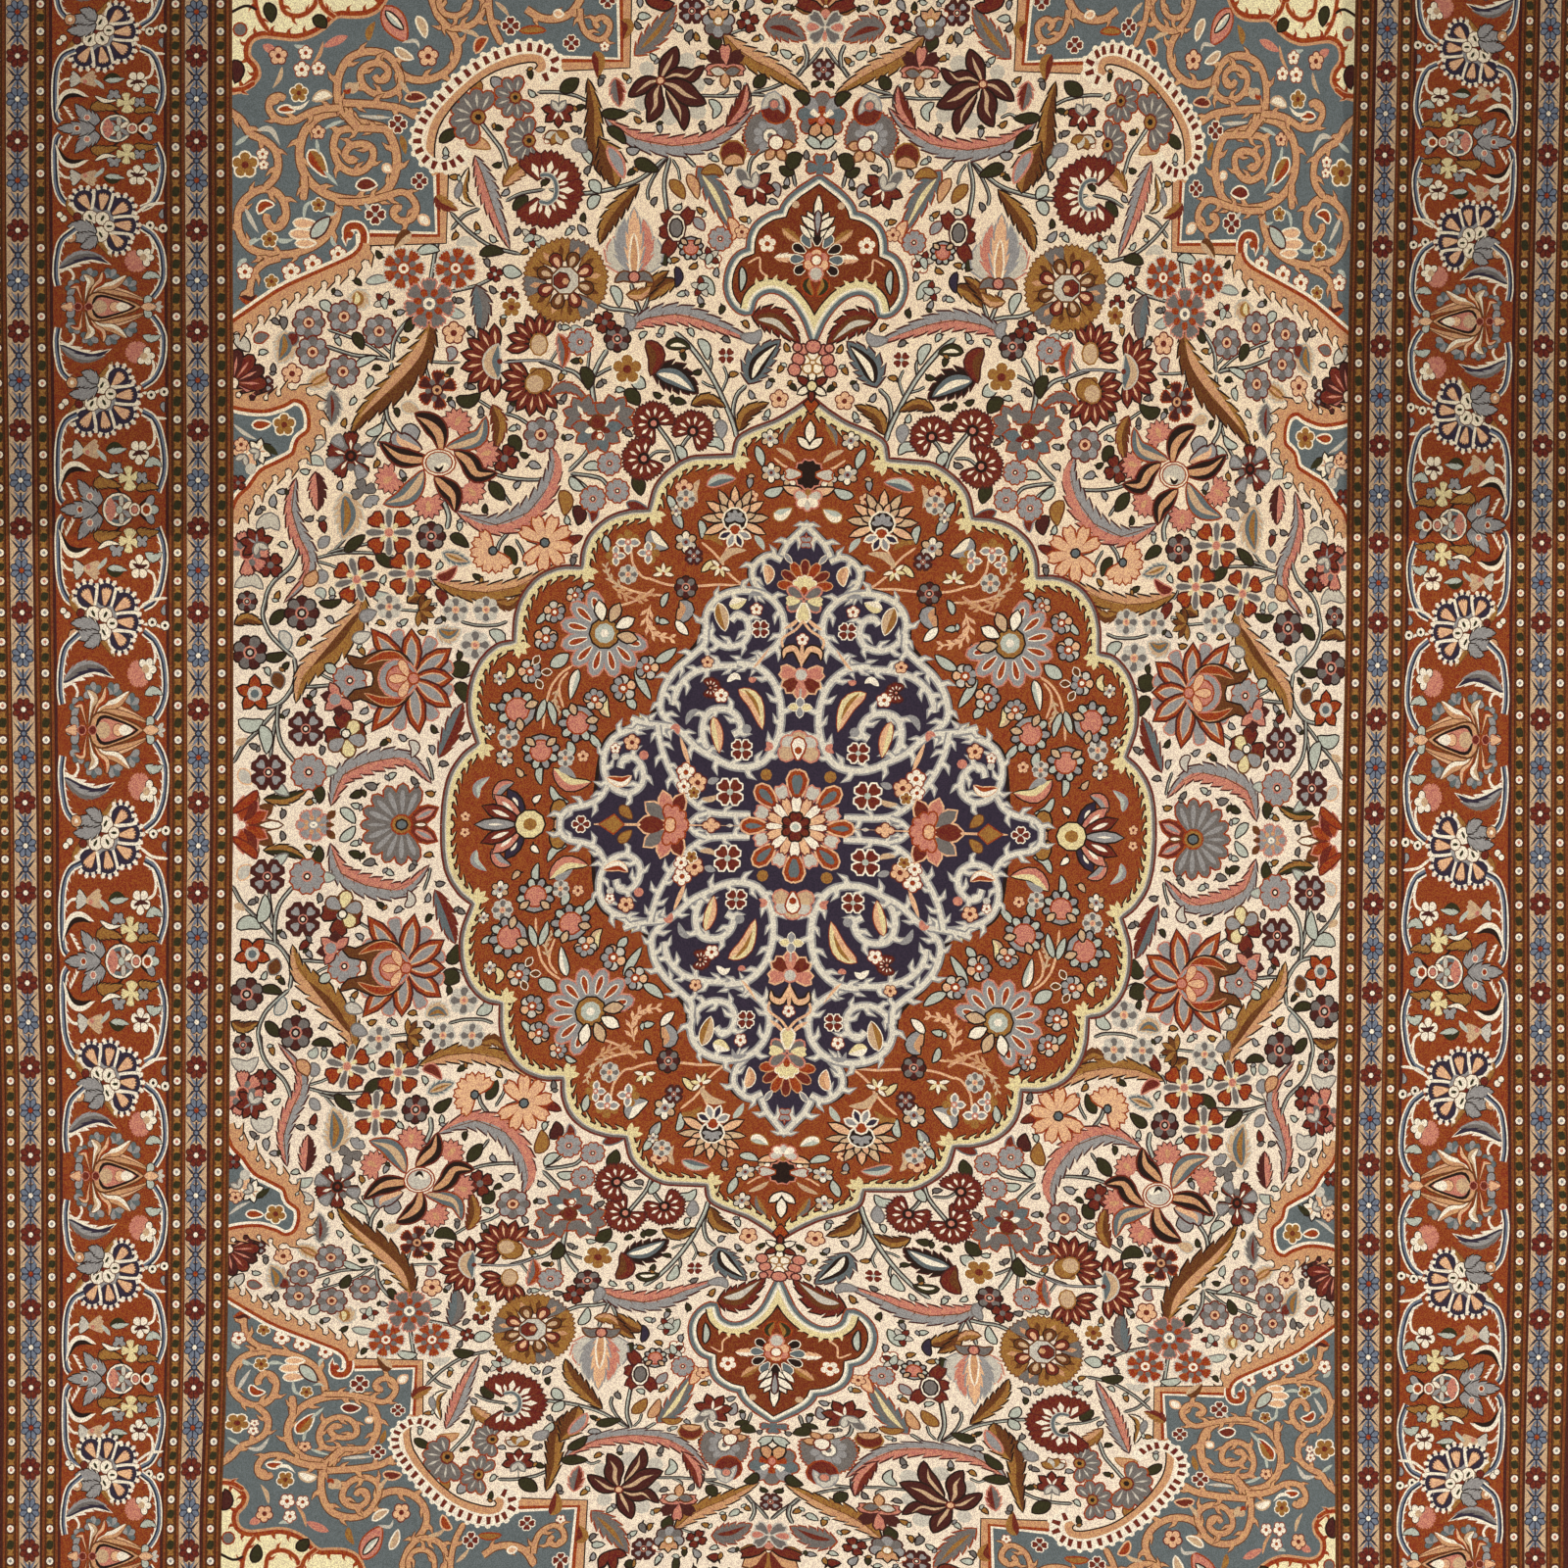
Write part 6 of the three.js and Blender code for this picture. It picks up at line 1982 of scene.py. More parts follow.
def border(units, rosettes, beads, first, last, corner_turn):
    """A whole border from one mitred corner to the next, charted as on the left side."""
    def even(inner, outer, yarn):
        lay([(FIELD_SIDE - inner, first - outer - 2), (FIELD_SIDE - inner, last + outer + 2),
             (FIELD_SIDE - outer, last + outer + 2), (FIELD_SIDE - outer, first - outer - 2)], yarn)
    for inner, outer, yarn in STRIPS:
        even(inner, outer, yarn)
    for centre in GUARD_CENTRES:
        for off in (-7.3, 7.3):
            even(centre + off - 1.3, centre + off + 1.3, "sienna")
        even(centre - 4.6, centre + 4.6, "brown")
    for unit, place, flip, stretch in units:
        stamp(UNITS[unit], place, flip, stretch)
    for end, turn in ((first, corner_turn), (last, -corner_turn)):
        spot = end + (-126 if end == first else 126)
        shell_flower(FIELD_SIDE - 126, spot, 40, turn)
        whorl(FIELD_SIDE - 126, spot, 40, 56, 12, 12, 15, ("pale_blue", "peach"), "black", "point")
        stamp(fan_unit, end + (-14 if end == first else 18), 1 if end == first else -1)
    for centre in BAND_CENTRES:
        across = FIELD_SIDE - centre
        places = run_of(rosettes, ROSETTE_PITCH, first - centre, last + centre)
        for k, place in places:
            blue = k % 2 == 0 or place in (places[0][1], places[-1][1])
            eye = "rust" if k % 4 == 0 and blue else "cream"
            stamp(lambda: band_rosette(*(("blue", "indigo") if blue else ("dark_red", "plum")), eye), place,
                1, 1.06, across)
        for (_, before), (_, after) in zip(places, places[1:]):
            stretch = (after - before) / 47
            stamp(lambda: band_crossing((after - before) / 2 / stretch - 12), (before + after) / 2, 1,
                stretch, across)
    for centre in GUARD_CENTRES:
        across = FIELD_SIDE - centre
        places = run_of(beads, BEAD_PITCH, first - centre, last + centre)
        for k, place in places:
            stamp(lambda: guard_bead(k % 2), place, 1, 1, across)
        for (_, before), (_, after) in zip(places, places[1:]):
            stamp(guard_lozenge, (before + after) / 2, 1, (after - before) / 31, across)
    for side, end in ((-1, first), (1, last)):
        lay([(FIELD_SIDE + 20, end), (FIELD_SIDE, end),
            (FIELD_SIDE - OUTERMOST - 20, end + side * (OUTERMOST + 20)),
             (FIELD_SIDE + 20, end + side * (OUTERMOST + 90))], None)


cartoon.clear()
border(SIDE_UNITS, ROSETTE_ROWS, BEAD_ROWS, FIELD_TOP, FIELD_BOTTOM, 135)
side_border = list(cartoon)
cartoon.clear()
border(END_UNITS, (12, 57.5), (4, 36), 0, END_RUN, 135)
end_border = list(cartoon)


# The knotting. The cartoon of one quarter is knotted four times, turned over at the middle lines, and
# that of the borders four times round. The weaver's rows run a little unevenly, so the quarters and
# sides aren't quite alike. What was laid last at a place shows there. One piece for each yarn.
MIDDLE_ACROSS = 801
MIDDLE_DOWN = 838


def clipped(points, low, high):
    """The part of an outline inside a box of the cartoon."""
    for axis in (0, 1):
        for edge, sign in ((low[axis], 1.0), (high[axis], -1.0)):
            out = []
            before = points[-1]
            was = sign * (before[axis] - edge)
            for here in points:
                now = sign * (here[axis] - edge)
                if (was < 0.0) != (now < 0.0):
                    t = was / (was - now)
                    cut = [before[0] + t * (here[0] - before[0]), before[1] + t * (here[1] - before[1])]
                    cut[axis] = edge
                    out.append(tuple(cut))
                if now >= 0.0:
                    out.append(here)
                before, was = here, now
            points = out
            if len(points) < 3:
                return []
    return points


def cut_up(points, edges):
    found, _, faces, _, _, _ = delaunay_2d_cdt(points, edges, [], 0, 1e-5, False)
    return np.array([(p[0], p[1]) for p in found]), np.array(faces)


def borders_of_yarns(points, faces, yarns, slack=0.22):
    """The lines where one yarn meets another, without the points that lie on a straight run."""
    rims = np.sort(np.concatenate([faces[:, [0, 1]], faces[:, [1, 2]], faces[:, [2, 0]]]), axis=1)
    owner = np.tile(yarns, 3)
    order = np.lexsort((rims[:, 1], rims[:, 0]))
    rims, owner = rims[order], owner[order]
    same = (rims[1:] == rims[:-1]).all(1)
    single = ~(np.append(same, False) | np.insert(same, 0, False))
    meeting = np.append(same & (owner[1:] != owner[:-1]), False) | single
    beside_it = {}
    for a, b in rims[meeting].tolist():
        beside_it.setdefault(a, set()).add(b)
        beside_it.setdefault(b, set()).add(a)
    for here in list(beside_it):
        if len(beside_it[here]) != 2:
            continue
        a, b = beside_it[here]
        if b in beside_it[a]:
            continue
        (ax, ay), (bx, by), (x, y) = points[a], points[b], points[here]
        if abs((bx - ax) * (y - ay) - (by - ay) * (x - ax)) < slack * math.hypot(bx - ax, by - ay):
            beside_it[a].discard(here)
            beside_it[b].discard(here)
            beside_it[a].add(b)
            beside_it[b].add(a)
            del beside_it[here]
    kept = sorted(beside_it)
    number = {old: new for new, old in enumerate(kept)}
    return [tuple(points[k]) for k in kept], [(number[a], number[b]) for a in kept for b in beside_it[a]
        if a < b]


def knotted(drawing, low, high, square=76):
    """Cuts a drawing into triangles of one yarn each: {yarn: [(points, triangles)]}."""
    names = sorted(YARNS)
    found = {yarn: [] for yarn in names}
    boxes = np.array([(min(p[0] for p in ring), min(p[1] for p in ring), max(p[0] for p in ring), max(p[1]
        for p in ring))
                      for ring, _ in drawing])
    across, down = (max(1, round((high[k] - low[k]) / square)) for k in (0, 1))
    for i in range(across):
        for j in range(down):
            a = (low[0] + (high[0] - low[0]) * i / across, low[1] + (high[1] - low[1]) * j / down)
            b = (low[0] + (high[0] - low[0]) * (i + 1) / across,
                low[1] + (high[1] - low[1]) * (j + 1) / down)
            inside = (boxes[:, 0] < b[0]) & (boxes[:, 2] > a[0]) & (boxes[:, 1] < b[1]) & (boxes[:,
                3] > a[1])
            points = [a, (b[0], a[1]), b, (a[0], b[1])]
            edges = [(0, 1), (1, 2), (2, 3), (3, 0)]
            outlines = []
            for number in np.nonzero(inside)[0]:
                ring, yarn = drawing[number]
                box = boxes[number]
                if box[0] < a[0] or box[1] < a[1] or box[2] > b[0] or box[3] > b[1]:
                    ring = clipped(ring, a, b)
                if len(ring) < 3:
                    continue
                start = len(points)
                points += ring
                edges += [(start + k, start + (k + 1) % len(ring)) for k in range(len(ring))]
                outlines.append((names.index(yarn) if yarn else -1, np.array(ring)))
            points, faces = cut_up(points, edges)
            points, edges = borders_of_yarns(points, faces, yarn_at(points[faces].mean(1), outlines))
            points, faces = cut_up(points, edges)
            tops = yarn_at(points[faces].mean(1), outlines)
            for k, yarn in enumerate(names):
                mine = faces[tops == k]
                if len(mine):
                    used, back = np.unique(mine, return_inverse=True)
                    found[yarn].append((points[used], back.reshape(-1, 3)))
    return found


def along(table, row):
    return np.interp(row, [r for r, _ in table], [v for _, v in table])


# How the rows run: where the field's two edges and the scale of the borders are, by row.
LEFT_EDGE = ((-150, 237), (150, 237), (450, 238.5), (850, 238), (1050, 235), (1350, 232.5), (1450, 230),
    (1550, 225.5))
RIGHT_EDGE = ((-150, 1386), (50, 1382), (350, 1375.5), (650, 1373), (850, 1368.5), (1050, 1365.5),
    (1200, 1361.5),
              (1400, 1361.5), (1826, 1364))
LEFT_SCALE = ((-150, 1.015), (300, 1.015), (550, 1.004), (750, 0.99), (950, 0.973), (1100, 0.943),
    (1350, 0.93), (1550, 0.905))
RIGHT_SCALE = ((-150, 0.925), (650, 0.923), (850, 0.94), (1050, 0.956), (1250, 0.985), (1350, 0.97),
    (1550, 0.944))
END_SCALE = 0.93
# The middle row dips to the right: its row, by place across.
MIDDLE_ROW = ((225, 842), (610, 841), (790, 843), (985, 851), (1175, 856), (1370, 858.5))
# Rows of the quarter counted from the middle one, and where each half and quarter has them: near the
# middle line, and outside it. Past the last of them a quarter is eased to the end of the field.
LAST_ROW = 840
NEAR_ROWS = (
    ((0, 0), (60, 63), (840, 845)),
    ((0, 0), (60, 61), (102, 101), (203, 203), (305, 313), (380, 371), (435, 421), (507, 474), (520, 490),
     (657, 606), (692, 624), (720, 651), (840, 745)),
)
FAR_ROWS = {
    (False, False): ((0, 0), (60, 61), (840, 842)),
    (True, False): ((0, 0), (120, 121), (300, 303), (440, 444), (580, 587), (650, 659), (720, 731),
    (840, 855)),
    (False, True): ((0, 0), (120, 119), (200, 197), (300, 298), (380, 374), (440, 425), (510, 480),
    (580, 537),
                    (650, 594), (720, 645), (840, 755)),
    (True, True): ((0, 0), (120, 120), (200, 198), (300, 299), (380, 375), (440, 431), (510, 492),
    (580, 550),
                   (650, 603), (720, 658), (840, 766)),
}
# How far each row is drawn away from the middle line, by row, in full only further than FREE_FROM
# from that line and FREE_TO from the side. Within STEADY of the line nothing is stretched.
FREE_FROM = 165.0
FREE_TO = 150.0
STEADY = 280.0
DRAWN_OUT = {
    False: ((1220, 0), (1300, -5), (1520, -11)),
    True: ((80, -3), (260, 0), (500, 8), (640, 10), (1160, 13), (1340, 16), (1520, 18)),
}


def quarter_place(points, right, low):
    """From the cartoon's upper left quarter to the same knot of another quarter."""
    across, down = points[:, 0], points[:, 1]
    out = middle(down) - across
    rise = MIDDLE_DOWN - down
    reach = middle(down) - along(LEFT_EDGE, down)
    near, far = along(NEAR_ROWS[low], rise), along(FAR_ROWS[right, low], rise)
    step = near + (far - near) * np.clip(2.0 * out / reach, 0.0, 1.0)
    here = middle(MIDDLE_DOWN)
    row = along(MIDDLE_ROW, here + out if right else here - out) + (step if low else -step)
    ease = np.maximum(rise - LAST_ROW, 0.0) / (MIDDLE_DOWN - FIELD_TOP - LAST_ROW)
    row = row + ((FIELD_BOTTOM if low else FIELD_TOP) - row) * ease
    goal = np.abs(along(RIGHT_EDGE if right else LEFT_EDGE, row) - middle(row))
    drawn = along(DRAWN_OUT[right], row) * np.clip(out / FREE_FROM, 0.0, 1.0)
    drawn = drawn * np.clip((reach - out) / FREE_TO, 0.0, 1.0)
    out = out + drawn + (goal - reach) * np.maximum(out - STEADY, 0.0) / (reach - STEADY)
    return np.stack([middle(row) + out if right else middle(row) - out, row], axis=1)


def side_place(points, right):
    """From the drawing of a side border to where it is knotted."""
    out, down = FIELD_SIDE - points[:, 0], points[:, 1]
    row = np.interp(down, (FIELD_TOP, *LEFT_SPOTS, FIELD_BOTTOM),
        (FIELD_TOP, *RIGHT_SPOTS, FIELD_BOTTOM)) if right else down
    row = np.where(down < FIELD_TOP, FIELD_TOP + (down - FIELD_TOP) * END_SCALE, row)
    row = np.where(down > FIELD_BOTTOM, FIELD_BOTTOM + (down - FIELD_BOTTOM) * END_SCALE, row)
    if right:
        return np.stack([along(RIGHT_EDGE, row) + out * along(RIGHT_SCALE, row), row], axis=1)
    return np.stack([along(LEFT_EDGE, row) - out * along(LEFT_SCALE, row), row], axis=1)


def end_place(points, low):
    """From the drawing of an end border to where it is knotted."""
    out, run = FIELD_SIDE - points[:, 0], points[:, 1]
    row = FIELD_BOTTOM if low else FIELD_TOP
    left, right = along(LEFT_EDGE, row), along(RIGHT_EDGE, row)
    across = left + run / END_RUN * (right - left)
    across = np.where(run < 0, left + run * along(LEFT_SCALE, row), across)
    across = np.where(run > END_RUN, right + (run - END_RUN) * along(RIGHT_SCALE, row), across)
    return np.stack([across, row + (out if low else -out) * END_SCALE], axis=1)


def add_to(piles, found, place, flip):
    for yarn, lots in found.items():
        for points, faces in lots:
            piles.setdefault(yarn, []).append((place(points), faces[:, ::-1] if flip else faces))


piles = {}
# What reaches past the quarter's side and middle line isn't knotted.
edge = [(along(LEFT_EDGE, row), row) for row in range(FIELD_TOP, MIDDLE_DOWN + 1, 52)]
line = [(middle(row), row) for row in (FIELD_TOP - 20, MIDDLE_DOWN + 20)]
quarter.append(([(180, FIELD_TOP - 20)] + [edge[0]] + edge + [(180, MIDDLE_DOWN + 20)], None))
quarter.append((line + [(900, MIDDLE_DOWN + 20), (900, FIELD_TOP - 20)], None))
found = knotted(quarter, (225.0, float(FIELD_TOP)), (852.0, float(MIDDLE_DOWN)))
for right in (False, True):
    for low in (False, True):
        add_to(piles, found, lambda p: quarter_place(p, right, low), right == low)
found = knotted(side_border, (FIELD_SIDE - OUTERMOST, FIELD_TOP - OUTERMOST),
    (FIELD_SIDE, FIELD_BOTTOM + OUTERMOST))
for right in (False, True):
    add_to(piles, found, lambda p: side_place(p, right), not right)
found = knotted(end_border, (FIELD_SIDE - OUTERMOST, -OUTERMOST), (FIELD_SIDE, END_RUN + OUTERMOST))
for low in (False, True):
    add_to(piles, found, lambda p: end_place(p, low), low)

INSET = 1.6 * MM
MAP_SPAN = 2.02
for yarn, lots in sorted(piles.items()):
    counts = np.cumsum([0] + [len(points) for points, _ in lots])
    spots = np.concatenate([points for points, _ in lots])
    faces = np.concatenate([faces + start for (_, faces), start in zip(lots, counts)])
    x = (spots[:, 0] - MIDDLE_ACROSS) * KNOT
    y = (MIDDLE_DOWN - spots[:, 1]) * KNOT
    x = np.clip(x, INSET - side_edge(y), side_edge(y) - INSET)
    y = np.clip(y, INSET - end_edge(x), end_edge(x) - INSET)
    a, b, c = (np.stack([x[faces[:, k]], y[faces[:, k]]], axis=1) for k in range(3))
    turn = (b - a)[:, 0] * (c - a)[:, 1] - (b - a)[:, 1] * (c - a)[:, 0]
    faces = np.where((turn < 0)[:, None], faces[:, ::-1], faces)[np.abs(turn) > 1e-10]
    mesh = bpy.data.meshes.new("pile_" + yarn)
    mesh.vertices.add(len(x))
    mesh.vertices.foreach_set("co", np.stack([x, y, np.full(len(x), PILE_TOP)], axis=1).ravel())
    mesh.loops.add(3 * len(faces))
    mesh.loops.foreach_set("vertex_index", faces.ravel())
    mesh.polygons.add(len(faces))
    mesh.polygons.foreach_set("loop_start", np.arange(0, 3 * len(faces), 3))
    mesh.update(calc_edges=True)
    mesh.validate()
    layer = mesh.uv_layers.new(name="OFBake")
    corners = np.empty(len(mesh.loops), np.int32)
    mesh.loops.foreach_get("vertex_index", corners)
    u = 0.5 + x[corners] / (MAP_SPAN * HALF_WIDTH)
    v = 0.5 + y[corners] / (MAP_SPAN * HALF_LENGTH)
    layer.data.foreach_set("uv", np.stack([u, v], axis=1).ravel())
    piece = bpy.data.objects.new("pile_" + yarn, mesh)
    bpy.context.collection.objects.link(piece)
    spun = {"Yarn": dye(*YARNS[yarn]), "Knot Size": KNOT, "Uneven Dye": 0.5, "Abrash": 0.12,
        "Dye Lot": 0.27}
    if yarn in ("guard", "brown", "sienna", "plum"):
        spun["Dye Lot"] = 0.37
    if yarn in ("ivory", "cream", "ecru", "mist"):
        spun["Bleached"] = 1.0
    mesh.materials.append(cloth_material("wool_" + yarn, knots, spun, 0.45 * MM, 0.04))
    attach(piece, "root")


# Side cords. Two or three warps bound together and wound all round with brown wool, so the long
# sides can't fray. Each runs the whole length, 0.3 mm outside the pile, and follows its wander.
GAP = 0.3 * MM
CORD_WIDTH = 9.0 * MM
CORD_HEIGHT = 7.5 * MM
TURN_PITCH = 3.4 * MM
CORD_CORNERS = 8
CORD_SQUARENESS = 0.8
BETWEEN_TURNS = 0.9
CORD_TIP = 0.55

wound, given, place = weave_group("wound_wool", (("Turn Pitch", TURN_PITCH),))
split = node_of(wound, "ShaderNodeSeparateXYZ", ((0, place),))
turn_at = maths(wound, "DIVIDE", split.outputs[1], given.outputs["Turn Pitch"])
thread = maths(wound, "ABSOLUTE", maths(wound, "SINE", maths(wound, "MULTIPLY", turn_at, math.tau)))
turn_number = node_of(wound, "ShaderNodeTexWhiteNoise", (("W", maths(wound, "FLOOR", turn_at)),),
                      noise_dimensions="1D").outputs["Value"]
fuzz = node_of(wound, "ShaderNodeTexNoise",
    (("Vector", place), ("Scale", 900.0), ("Detail", 3.0))).outputs["Fac"]
level = maths(wound, "ADD", maths(wound, "MULTIPLY", thread, 0.3),
    maths(wound, "MULTIPLY", turn_number, 0.3))
level = maths(wound, "ADD", 0.62, level)
level = maths(wound, "ADD", level, maths(wound, "MULTIPLY", fuzz, 0.2))
toned = node_of(wound, "ShaderNodeHueSaturation", (("Value", level), ("Color", given.outputs["Yarn"])))
hand_out(wound, toned.outputs[0], maths(wound, "ADD", 0.75, maths(wound, "MULTIPLY", fuzz, 0.2)),
         maths(wound, "ADD", thread, maths(wound, "MULTIPLY", fuzz, 0.4)))
overcast_wool = cloth_material("overcast_wool", wound, {"Yarn": dye(96, 54, 34), "Turn Pitch": TURN_PITCH},
    0.5 * MM, 0.2)


def tidy_normals(piece, angle):
    bpy.ops.object.select_all(action="DESELECT")
    bpy.context.view_layer.objects.active = piece
    piece.select_set(True)
    bpy.ops.object.mode_set(mode="EDIT")
    bpy.ops.mesh.select_all(action="SELECT")
    bpy.ops.mesh.normals_make_consistent(inside=False)
    bpy.ops.object.mode_set(mode="OBJECT")
    bpy.ops.object.shade_smooth_by_angle(angle=math.radians(angle))


def side_cord(name, side, node):
    low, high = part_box(node)
    length = high[1] - low[1]
    turns = int(length / TURN_PITCH)
    points, faces = [], []
    for k in range(2 * turns + 1):
        y = low[1] + length * k / (2 * turns)
        swell = 1.0 if k % 2 else BETWEEN_TURNS
        if k in (0, 2 * turns):
            swell = CORD_TIP
        middle_x = side * (float(side_edge(y)) + GAP + CORD_WIDTH / 2)
        for c in range(CORD_CORNERS):
            t = math.tau * c / CORD_CORNERS
            sx = math.copysign(abs(math.cos(t)) ** CORD_SQUARENESS, math.cos(t))
            sz = math.copysign(abs(math.sin(t)) ** CORD_SQUARENESS, math.sin(t))
            points.append((middle_x + sx * CORD_WIDTH / 2 * swell, y,
                CORD_HEIGHT / 2 + sz * CORD_HEIGHT / 2 * swell))
    rings = 2 * turns + 1
    for k in range(rings - 1):
        for c in range(CORD_CORNERS):
            d = (c + 1) % CORD_CORNERS
            a, b = k * CORD_CORNERS, (k + 1) * CORD_CORNERS
            faces.append((a + c, b + c, b + d, a + d))
    faces.append(tuple(range(CORD_CORNERS)))
    faces.append(tuple(range((rings - 1) * CORD_CORNERS, rings * CORD_CORNERS))[::-1])
    cord = new_piece(name, points, faces)
    tidy_normals(cord, 60)
    cord.data.materials.append(overcast_wool)
    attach(cord, "root")
    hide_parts(node)
    return cord


left_cord = side_cord("side_cord_left", -1, "selvedge_left")
right_cord = side_cord("side_cord_right", 1, "selvedge_right")


# End bands. A flat strip of undyed cotton cloth woven past the last row of knots, which locks the
# pile in. The warps come out of it, and each bunch of them is tied in a knot and left as fringe.
BAND_WIDTH = 20.0 * MM
BAND_HEIGHT = 2.6 * MM
STRANDS = 110
STRAND_LENGTH = 64.0 * MM
BAND_STEPS = 30
BAND_THREAD = 1.6 * MM
WARP_THREAD = 0.9 * MM

plain_weave, given, place = weave_group("cotton_weave", (("Thread", BAND_THREAD), ("Stain", 0.15)))
split = node_of(plain_weave, "ShaderNodeSeparateXYZ", ((0, place),))
counts = [maths(plain_weave, "DIVIDE", split.outputs[k], given.outputs["Thread"]) for k in (0, 1)]
waves = [maths(plain_weave, "SINE", maths(plain_weave, "MULTIPLY", count, math.pi)) for count in counts]
over = maths(plain_weave, "MULTIPLY", *waves)
over = maths(plain_weave, "ADD", 0.5, maths(plain_weave, "MULTIPLY", over, 0.5))
soiled = node_of(plain_weave, "ShaderNodeTexNoise",
    (("Vector", place), ("Scale", 14.0), ("Detail", 5.0))).outputs["Fac"]
slub = node_of(plain_weave, "ShaderNodeTexNoise",
    (("Vector", place), ("Scale", 700.0), ("Detail", 3.0))).outputs["Fac"]
# painted shade: the weave is lighter where a thread rides over and darker where it dips under; the slub and
# the soiled patches are the cotton's own tone and stain
level = maths(plain_weave, "ADD", 0.8, maths(plain_weave, "MULTIPLY", over, 0.16))
level = maths(plain_weave, "ADD", level, maths(plain_weave, "MULTIPLY", slub, 0.14))
level = maths(plain_weave, "SUBTRACT", level,
    maths(plain_weave, "MULTIPLY", soiled, given.outputs["Stain"]))
toned = node_of(plain_weave, "ShaderNodeHueSaturation",
    (("Value", level), ("Color", given.outputs["Yarn"])))
hand_out(plain_weave, toned.outputs[0], maths(plain_weave, "ADD", 0.78,
    maths(plain_weave, "MULTIPLY", slub, 0.18)),
         maths(plain_weave, "ADD", over, maths(plain_weave, "MULTIPLY", slub, 0.5)))
band_yarn = {"Yarn": dye(222, 208, 182), "Thread": BAND_THREAD, "Stain": 0.2}
warp_yarn = {"Yarn": dye(230, 218, 194), "Thread": WARP_THREAD, "Stain": 0.25}
band_cotton = cloth_material("band_cotton", plain_weave, band_yarn, 0.4 * MM)
warp_cotton = cloth_material("warp_cotton", plain_weave, warp_yarn, 0.2 * MM)


def end_band(name, end):
    """A flat cloth strip that follows the pile's end, turned round for the lower end."""
    half = HALF_WIDTH - SIDE_WANDER
    rows = ((0.0, 0.0), (0.0, 0.7), (0.03, 1.0), (0.35, 0.94), (0.65, 1.0), (0.97, 1.0), (1.0, 0.6),
        (1.0, 0.0))
    points, faces = [], []
    for k in range(BAND_STEPS + 1):
        x = -half + 2 * half * k / BAND_STEPS
        for share, rise in rows:
            y = float(end_edge(x)) + GAP + share * BAND_WIDTH
            points.append((end * x, end * y, rise * BAND_HEIGHT))
    count = len(rows)
    for k in range(BAND_STEPS):
        for r in range(count):
            s = (r + 1) % count
            a, b = k * count, (k + 1) * count
            faces.append((a + r, a + s, b + s, b + r))
    faces.append(tuple(range(count))[::-1])
    faces.append(tuple(range(BAND_STEPS * count, (BAND_STEPS + 1) * count)))
    band_piece = new_piece(name, points, faces)
    tidy_normals(band_piece, 40)
    band_piece.data.materials.append(band_cotton)
    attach(band_piece, "root")
    return band_piece


upper_band = end_band("end_band_upper", 1)
lower_band = end_band("end_band_lower", -1)
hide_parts("end_band_top")
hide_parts("end_band_bottom")


# Fringe. Each strand is a bunch of cotton warps: a knot close to the band, then the threads twist
# round each other and open a little towards the cut ends. All lie flat on the floor.
THREADS = 3
STRAND_RINGS = 10
STRAND_TUCK = 3 * MM
THREAD_RADIUS = 0.8 * MM
CUT_RADIUS = 0.55 * MM
THREAD_HEIGHT = 1.45 * MM
THREAD_LIFT = 0.62 * MM
TWIST_TURNS = 1.7
KNOT_HEIGHT = 1.6 * MM
KNOT_PLACES = (5.0, 6.0, 8.0, 10.0, 11.0)
KNOT_RADII = (0.7, 1.4, 1.58, 1.4, 0.7)


def strand_sway(i):
    return (2.6 * math.sin(1.9 * i) + 1.4 * math.sin(4.3 * i + 1)) * MM


def tube(path, radii, corners, points, faces):
    """A tube round a path that runs mostly along y."""
    start = len(points)
    for (x, y, z), r in zip(path, radii):
        for c in range(corners):
            t = math.tau * c / corners
            points.append((x + r * math.cos(t), y, z + r * math.sin(t)))
    for k in range(len(path) - 1):
        for c in range(corners):
            d = (c + 1) % corners
            a, b = start + k * corners, start + (k + 1) * corners
            faces.append((a + c, a + d, b + d, b + c))
    faces.append(tuple(range(start, start + corners))[::-1])
    faces.append(tuple(range(start + (len(path) - 1) * corners, start + len(path) * corners)))


def fringe(name, end):
    half = HALF_WIDTH - SIDE_WANDER
    pitch = 2 * half / STRANDS
    points, faces = [], []
    for i in range(STRANDS):
        x = -half + (i + 0.5) * pitch
        root = float(end_edge(x)) + GAP + BAND_WIDTH
        length = STRAND_LENGTH + 3 * math.sin(2.7 * i + 0.5) * MM
        for thread in range(THREADS):
            path, radii = [], []
            for k in range(STRAND_RINGS):
                t = k / (STRAND_RINGS - 1)
                y = root - STRAND_TUCK + t * (length + STRAND_TUCK)
                open_up = 0.9 + 1.6 * t * t
                turn = TWIST_TURNS * math.tau * t + math.tau * thread / THREADS + 0.7 * i
                aside = x + strand_sway(i) * t * t + math.cos(turn) * open_up * MM
                path.append((aside, y, THREAD_HEIGHT + math.sin(turn) * THREAD_LIFT))
                radii.append(THREAD_RADIUS if 0 < k < STRAND_RINGS - 1 else CUT_RADIUS)
            tube(path, radii, 5, points, faces)
        knot_path = [(x, root + d * MM, KNOT_HEIGHT) for d in KNOT_PLACES]
        tube(knot_path, [r * MM for r in KNOT_RADII], 8, points, faces)
    points = [(end * px, end * py, pz) for px, py, pz in points]
    strands = new_piece(name, points, faces)
    tidy_normals(strands, 70)
    strands.data.materials.append(warp_cotton)
    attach(strands, "root")
    return strands


upper_fringe = fringe("fringe_upper", 1)
lower_fringe = fringe("fringe_lower", -1)


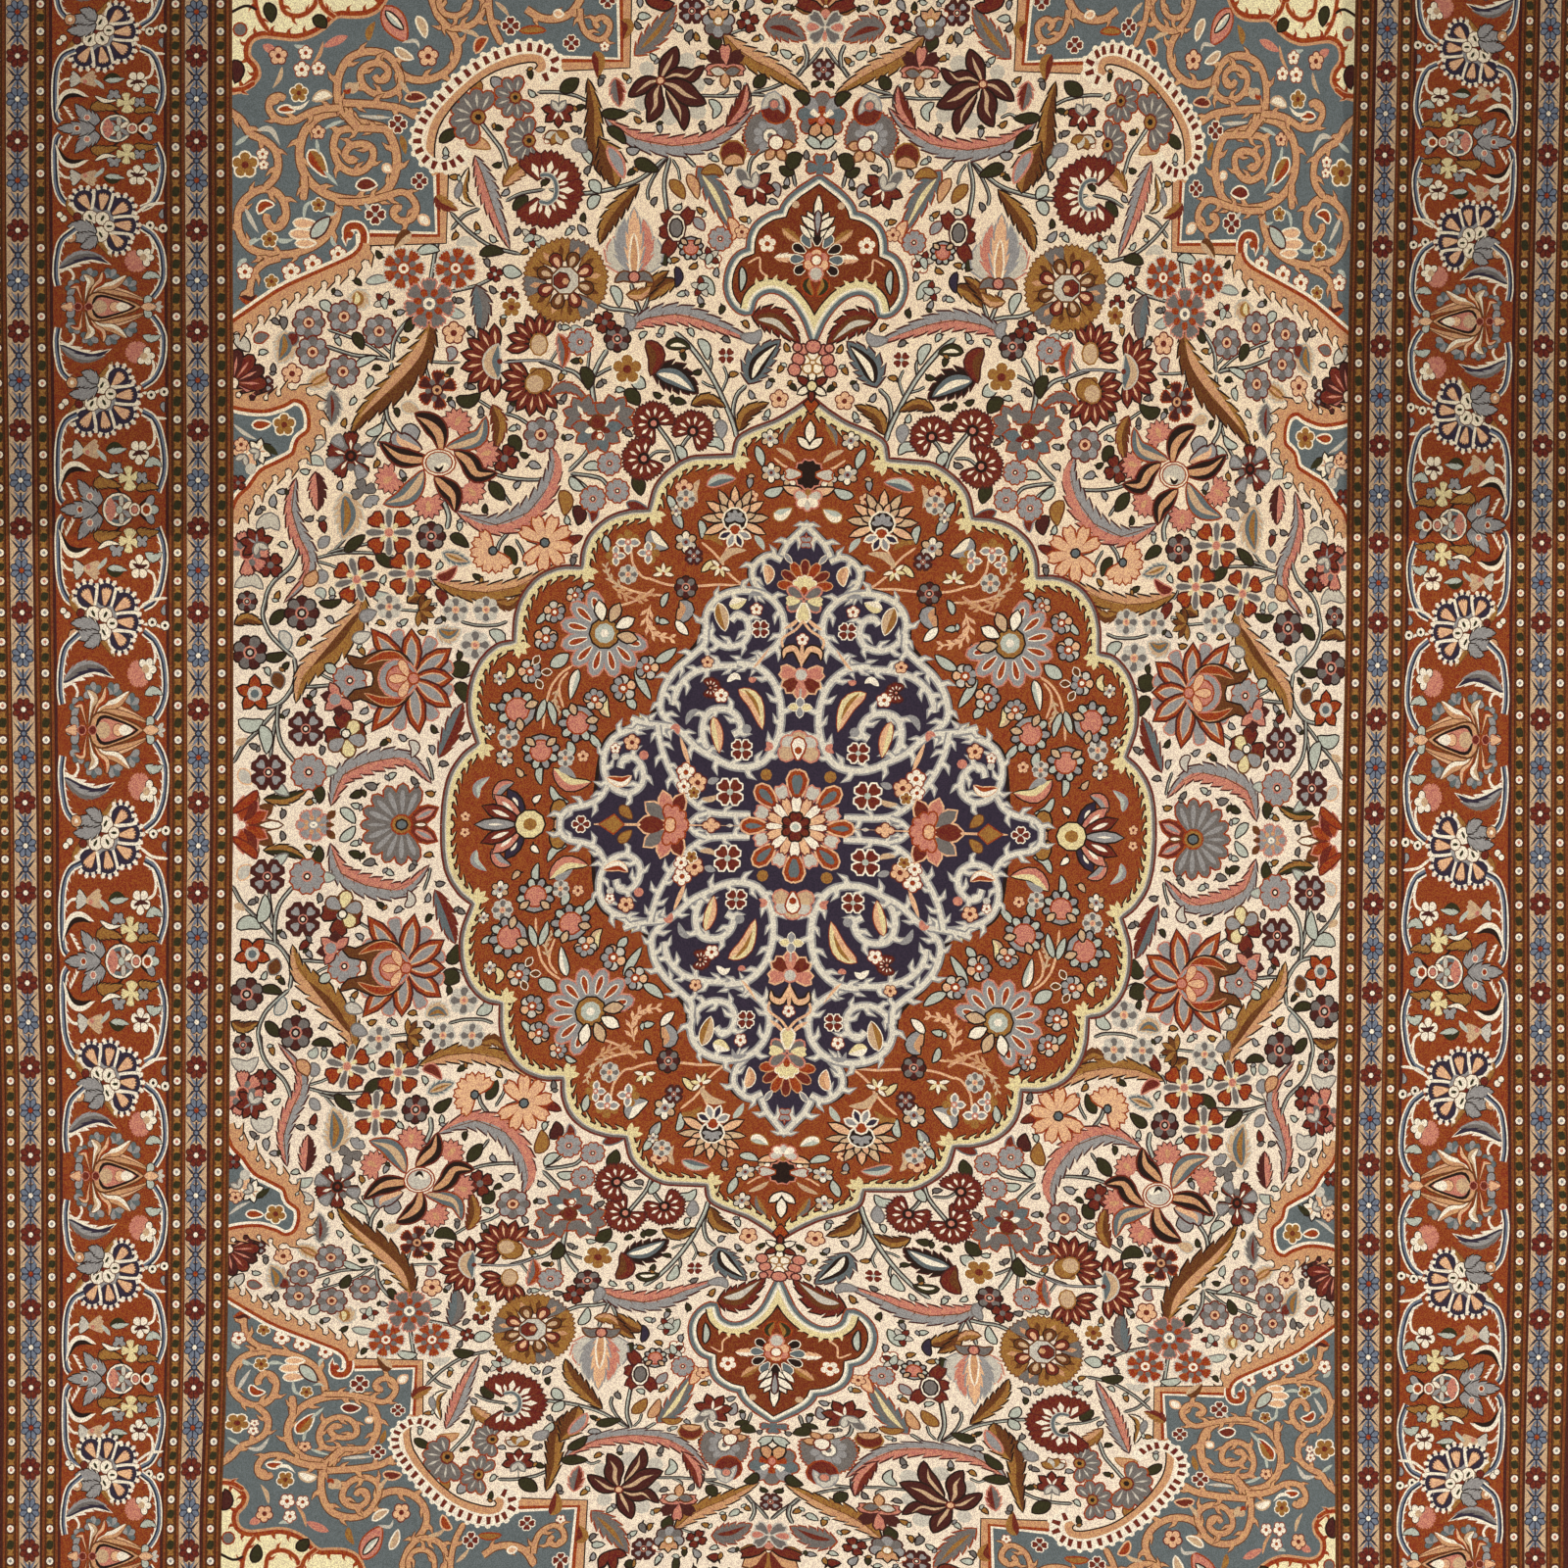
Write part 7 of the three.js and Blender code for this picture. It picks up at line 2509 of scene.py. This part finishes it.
# The floor, pale and plain, with soft light from above that is a little stronger at the lower right,
# and the camera straight above. The rug runs out of the picture on all four sides.
PICTURE_WIDTH = 1600 * KNOT
PICTURE_ACROSS = (800 - MIDDLE_ACROSS) * KNOT
PICTURE_UP = (MIDDLE_DOWN - 800) * KNOT
LENS = 85.0
SENSOR = 36.0

FLOOR_SIZE = 14.0
FLOOR_DROP = 0.5 * MM
LAMP_PLACE = (0.5, -0.8, 3.2)
LAMP_TURN = (math.radians(-12), math.radians(8), 0.0)
LAMP_SIZE = 3.6
LAMP_POWER = 74.0
SKY_STRENGTH = 0.66

bpy.ops.mesh.primitive_plane_add(size=FLOOR_SIZE, location=(0.0, 0.0, -FLOOR_DROP))
floor = bpy.context.object
floor.name = "floor"
floor_paint = bpy.data.materials.new("pale_floor")
floor_paint.use_nodes = True
tree = floor_paint.node_tree
place = tree.nodes.new("ShaderNodeTexCoord").outputs["Object"]
grain = node_of(tree, "ShaderNodeTexNoise", (("Vector", place), ("Scale", 3.0)))
ramp = node_of(tree, "ShaderNodeValToRGB", ((0, grain.outputs["Fac"]),))
ramp.color_ramp.elements[0].color = (0.66, 0.64, 0.61, 1.0)
ramp.color_ramp.elements[1].color = (0.70, 0.68, 0.65, 1.0)
tree.links.new(ramp.outputs[0], tree.nodes["Principled BSDF"].inputs["Base Color"])
tree.nodes["Principled BSDF"].inputs["Roughness"].default_value = 0.7
floor.data.materials.append(floor_paint)

view_height = PICTURE_WIDTH * LENS / SENSOR + PILE_TOP
bpy.ops.object.camera_add(location=(PICTURE_ACROSS, PICTURE_UP, view_height), rotation=(0.0, 0.0, 0.0))
camera = bpy.context.object
camera.data.lens = LENS
camera.data.sensor_width = SENSOR
camera.data.clip_end = 50.0
bpy.context.scene.camera = camera

bpy.ops.object.light_add(type="AREA", location=LAMP_PLACE, rotation=LAMP_TURN)
lamp = bpy.context.object
lamp.data.shape = "SQUARE"
lamp.data.size = LAMP_SIZE
lamp.data.energy = LAMP_POWER
lamp.data.color = (1.0, 0.985, 0.96)
world = bpy.data.worlds.new("soft_sky")
bpy.context.scene.world = world
world.use_nodes = True
world.node_tree.nodes["Background"].inputs["Color"].default_value = (1.0, 0.99, 0.97, 1.0)
world.node_tree.nodes["Background"].inputs["Strength"].default_value = SKY_STRENGTH
bpy.context.scene.view_settings.view_transform = "Standard"
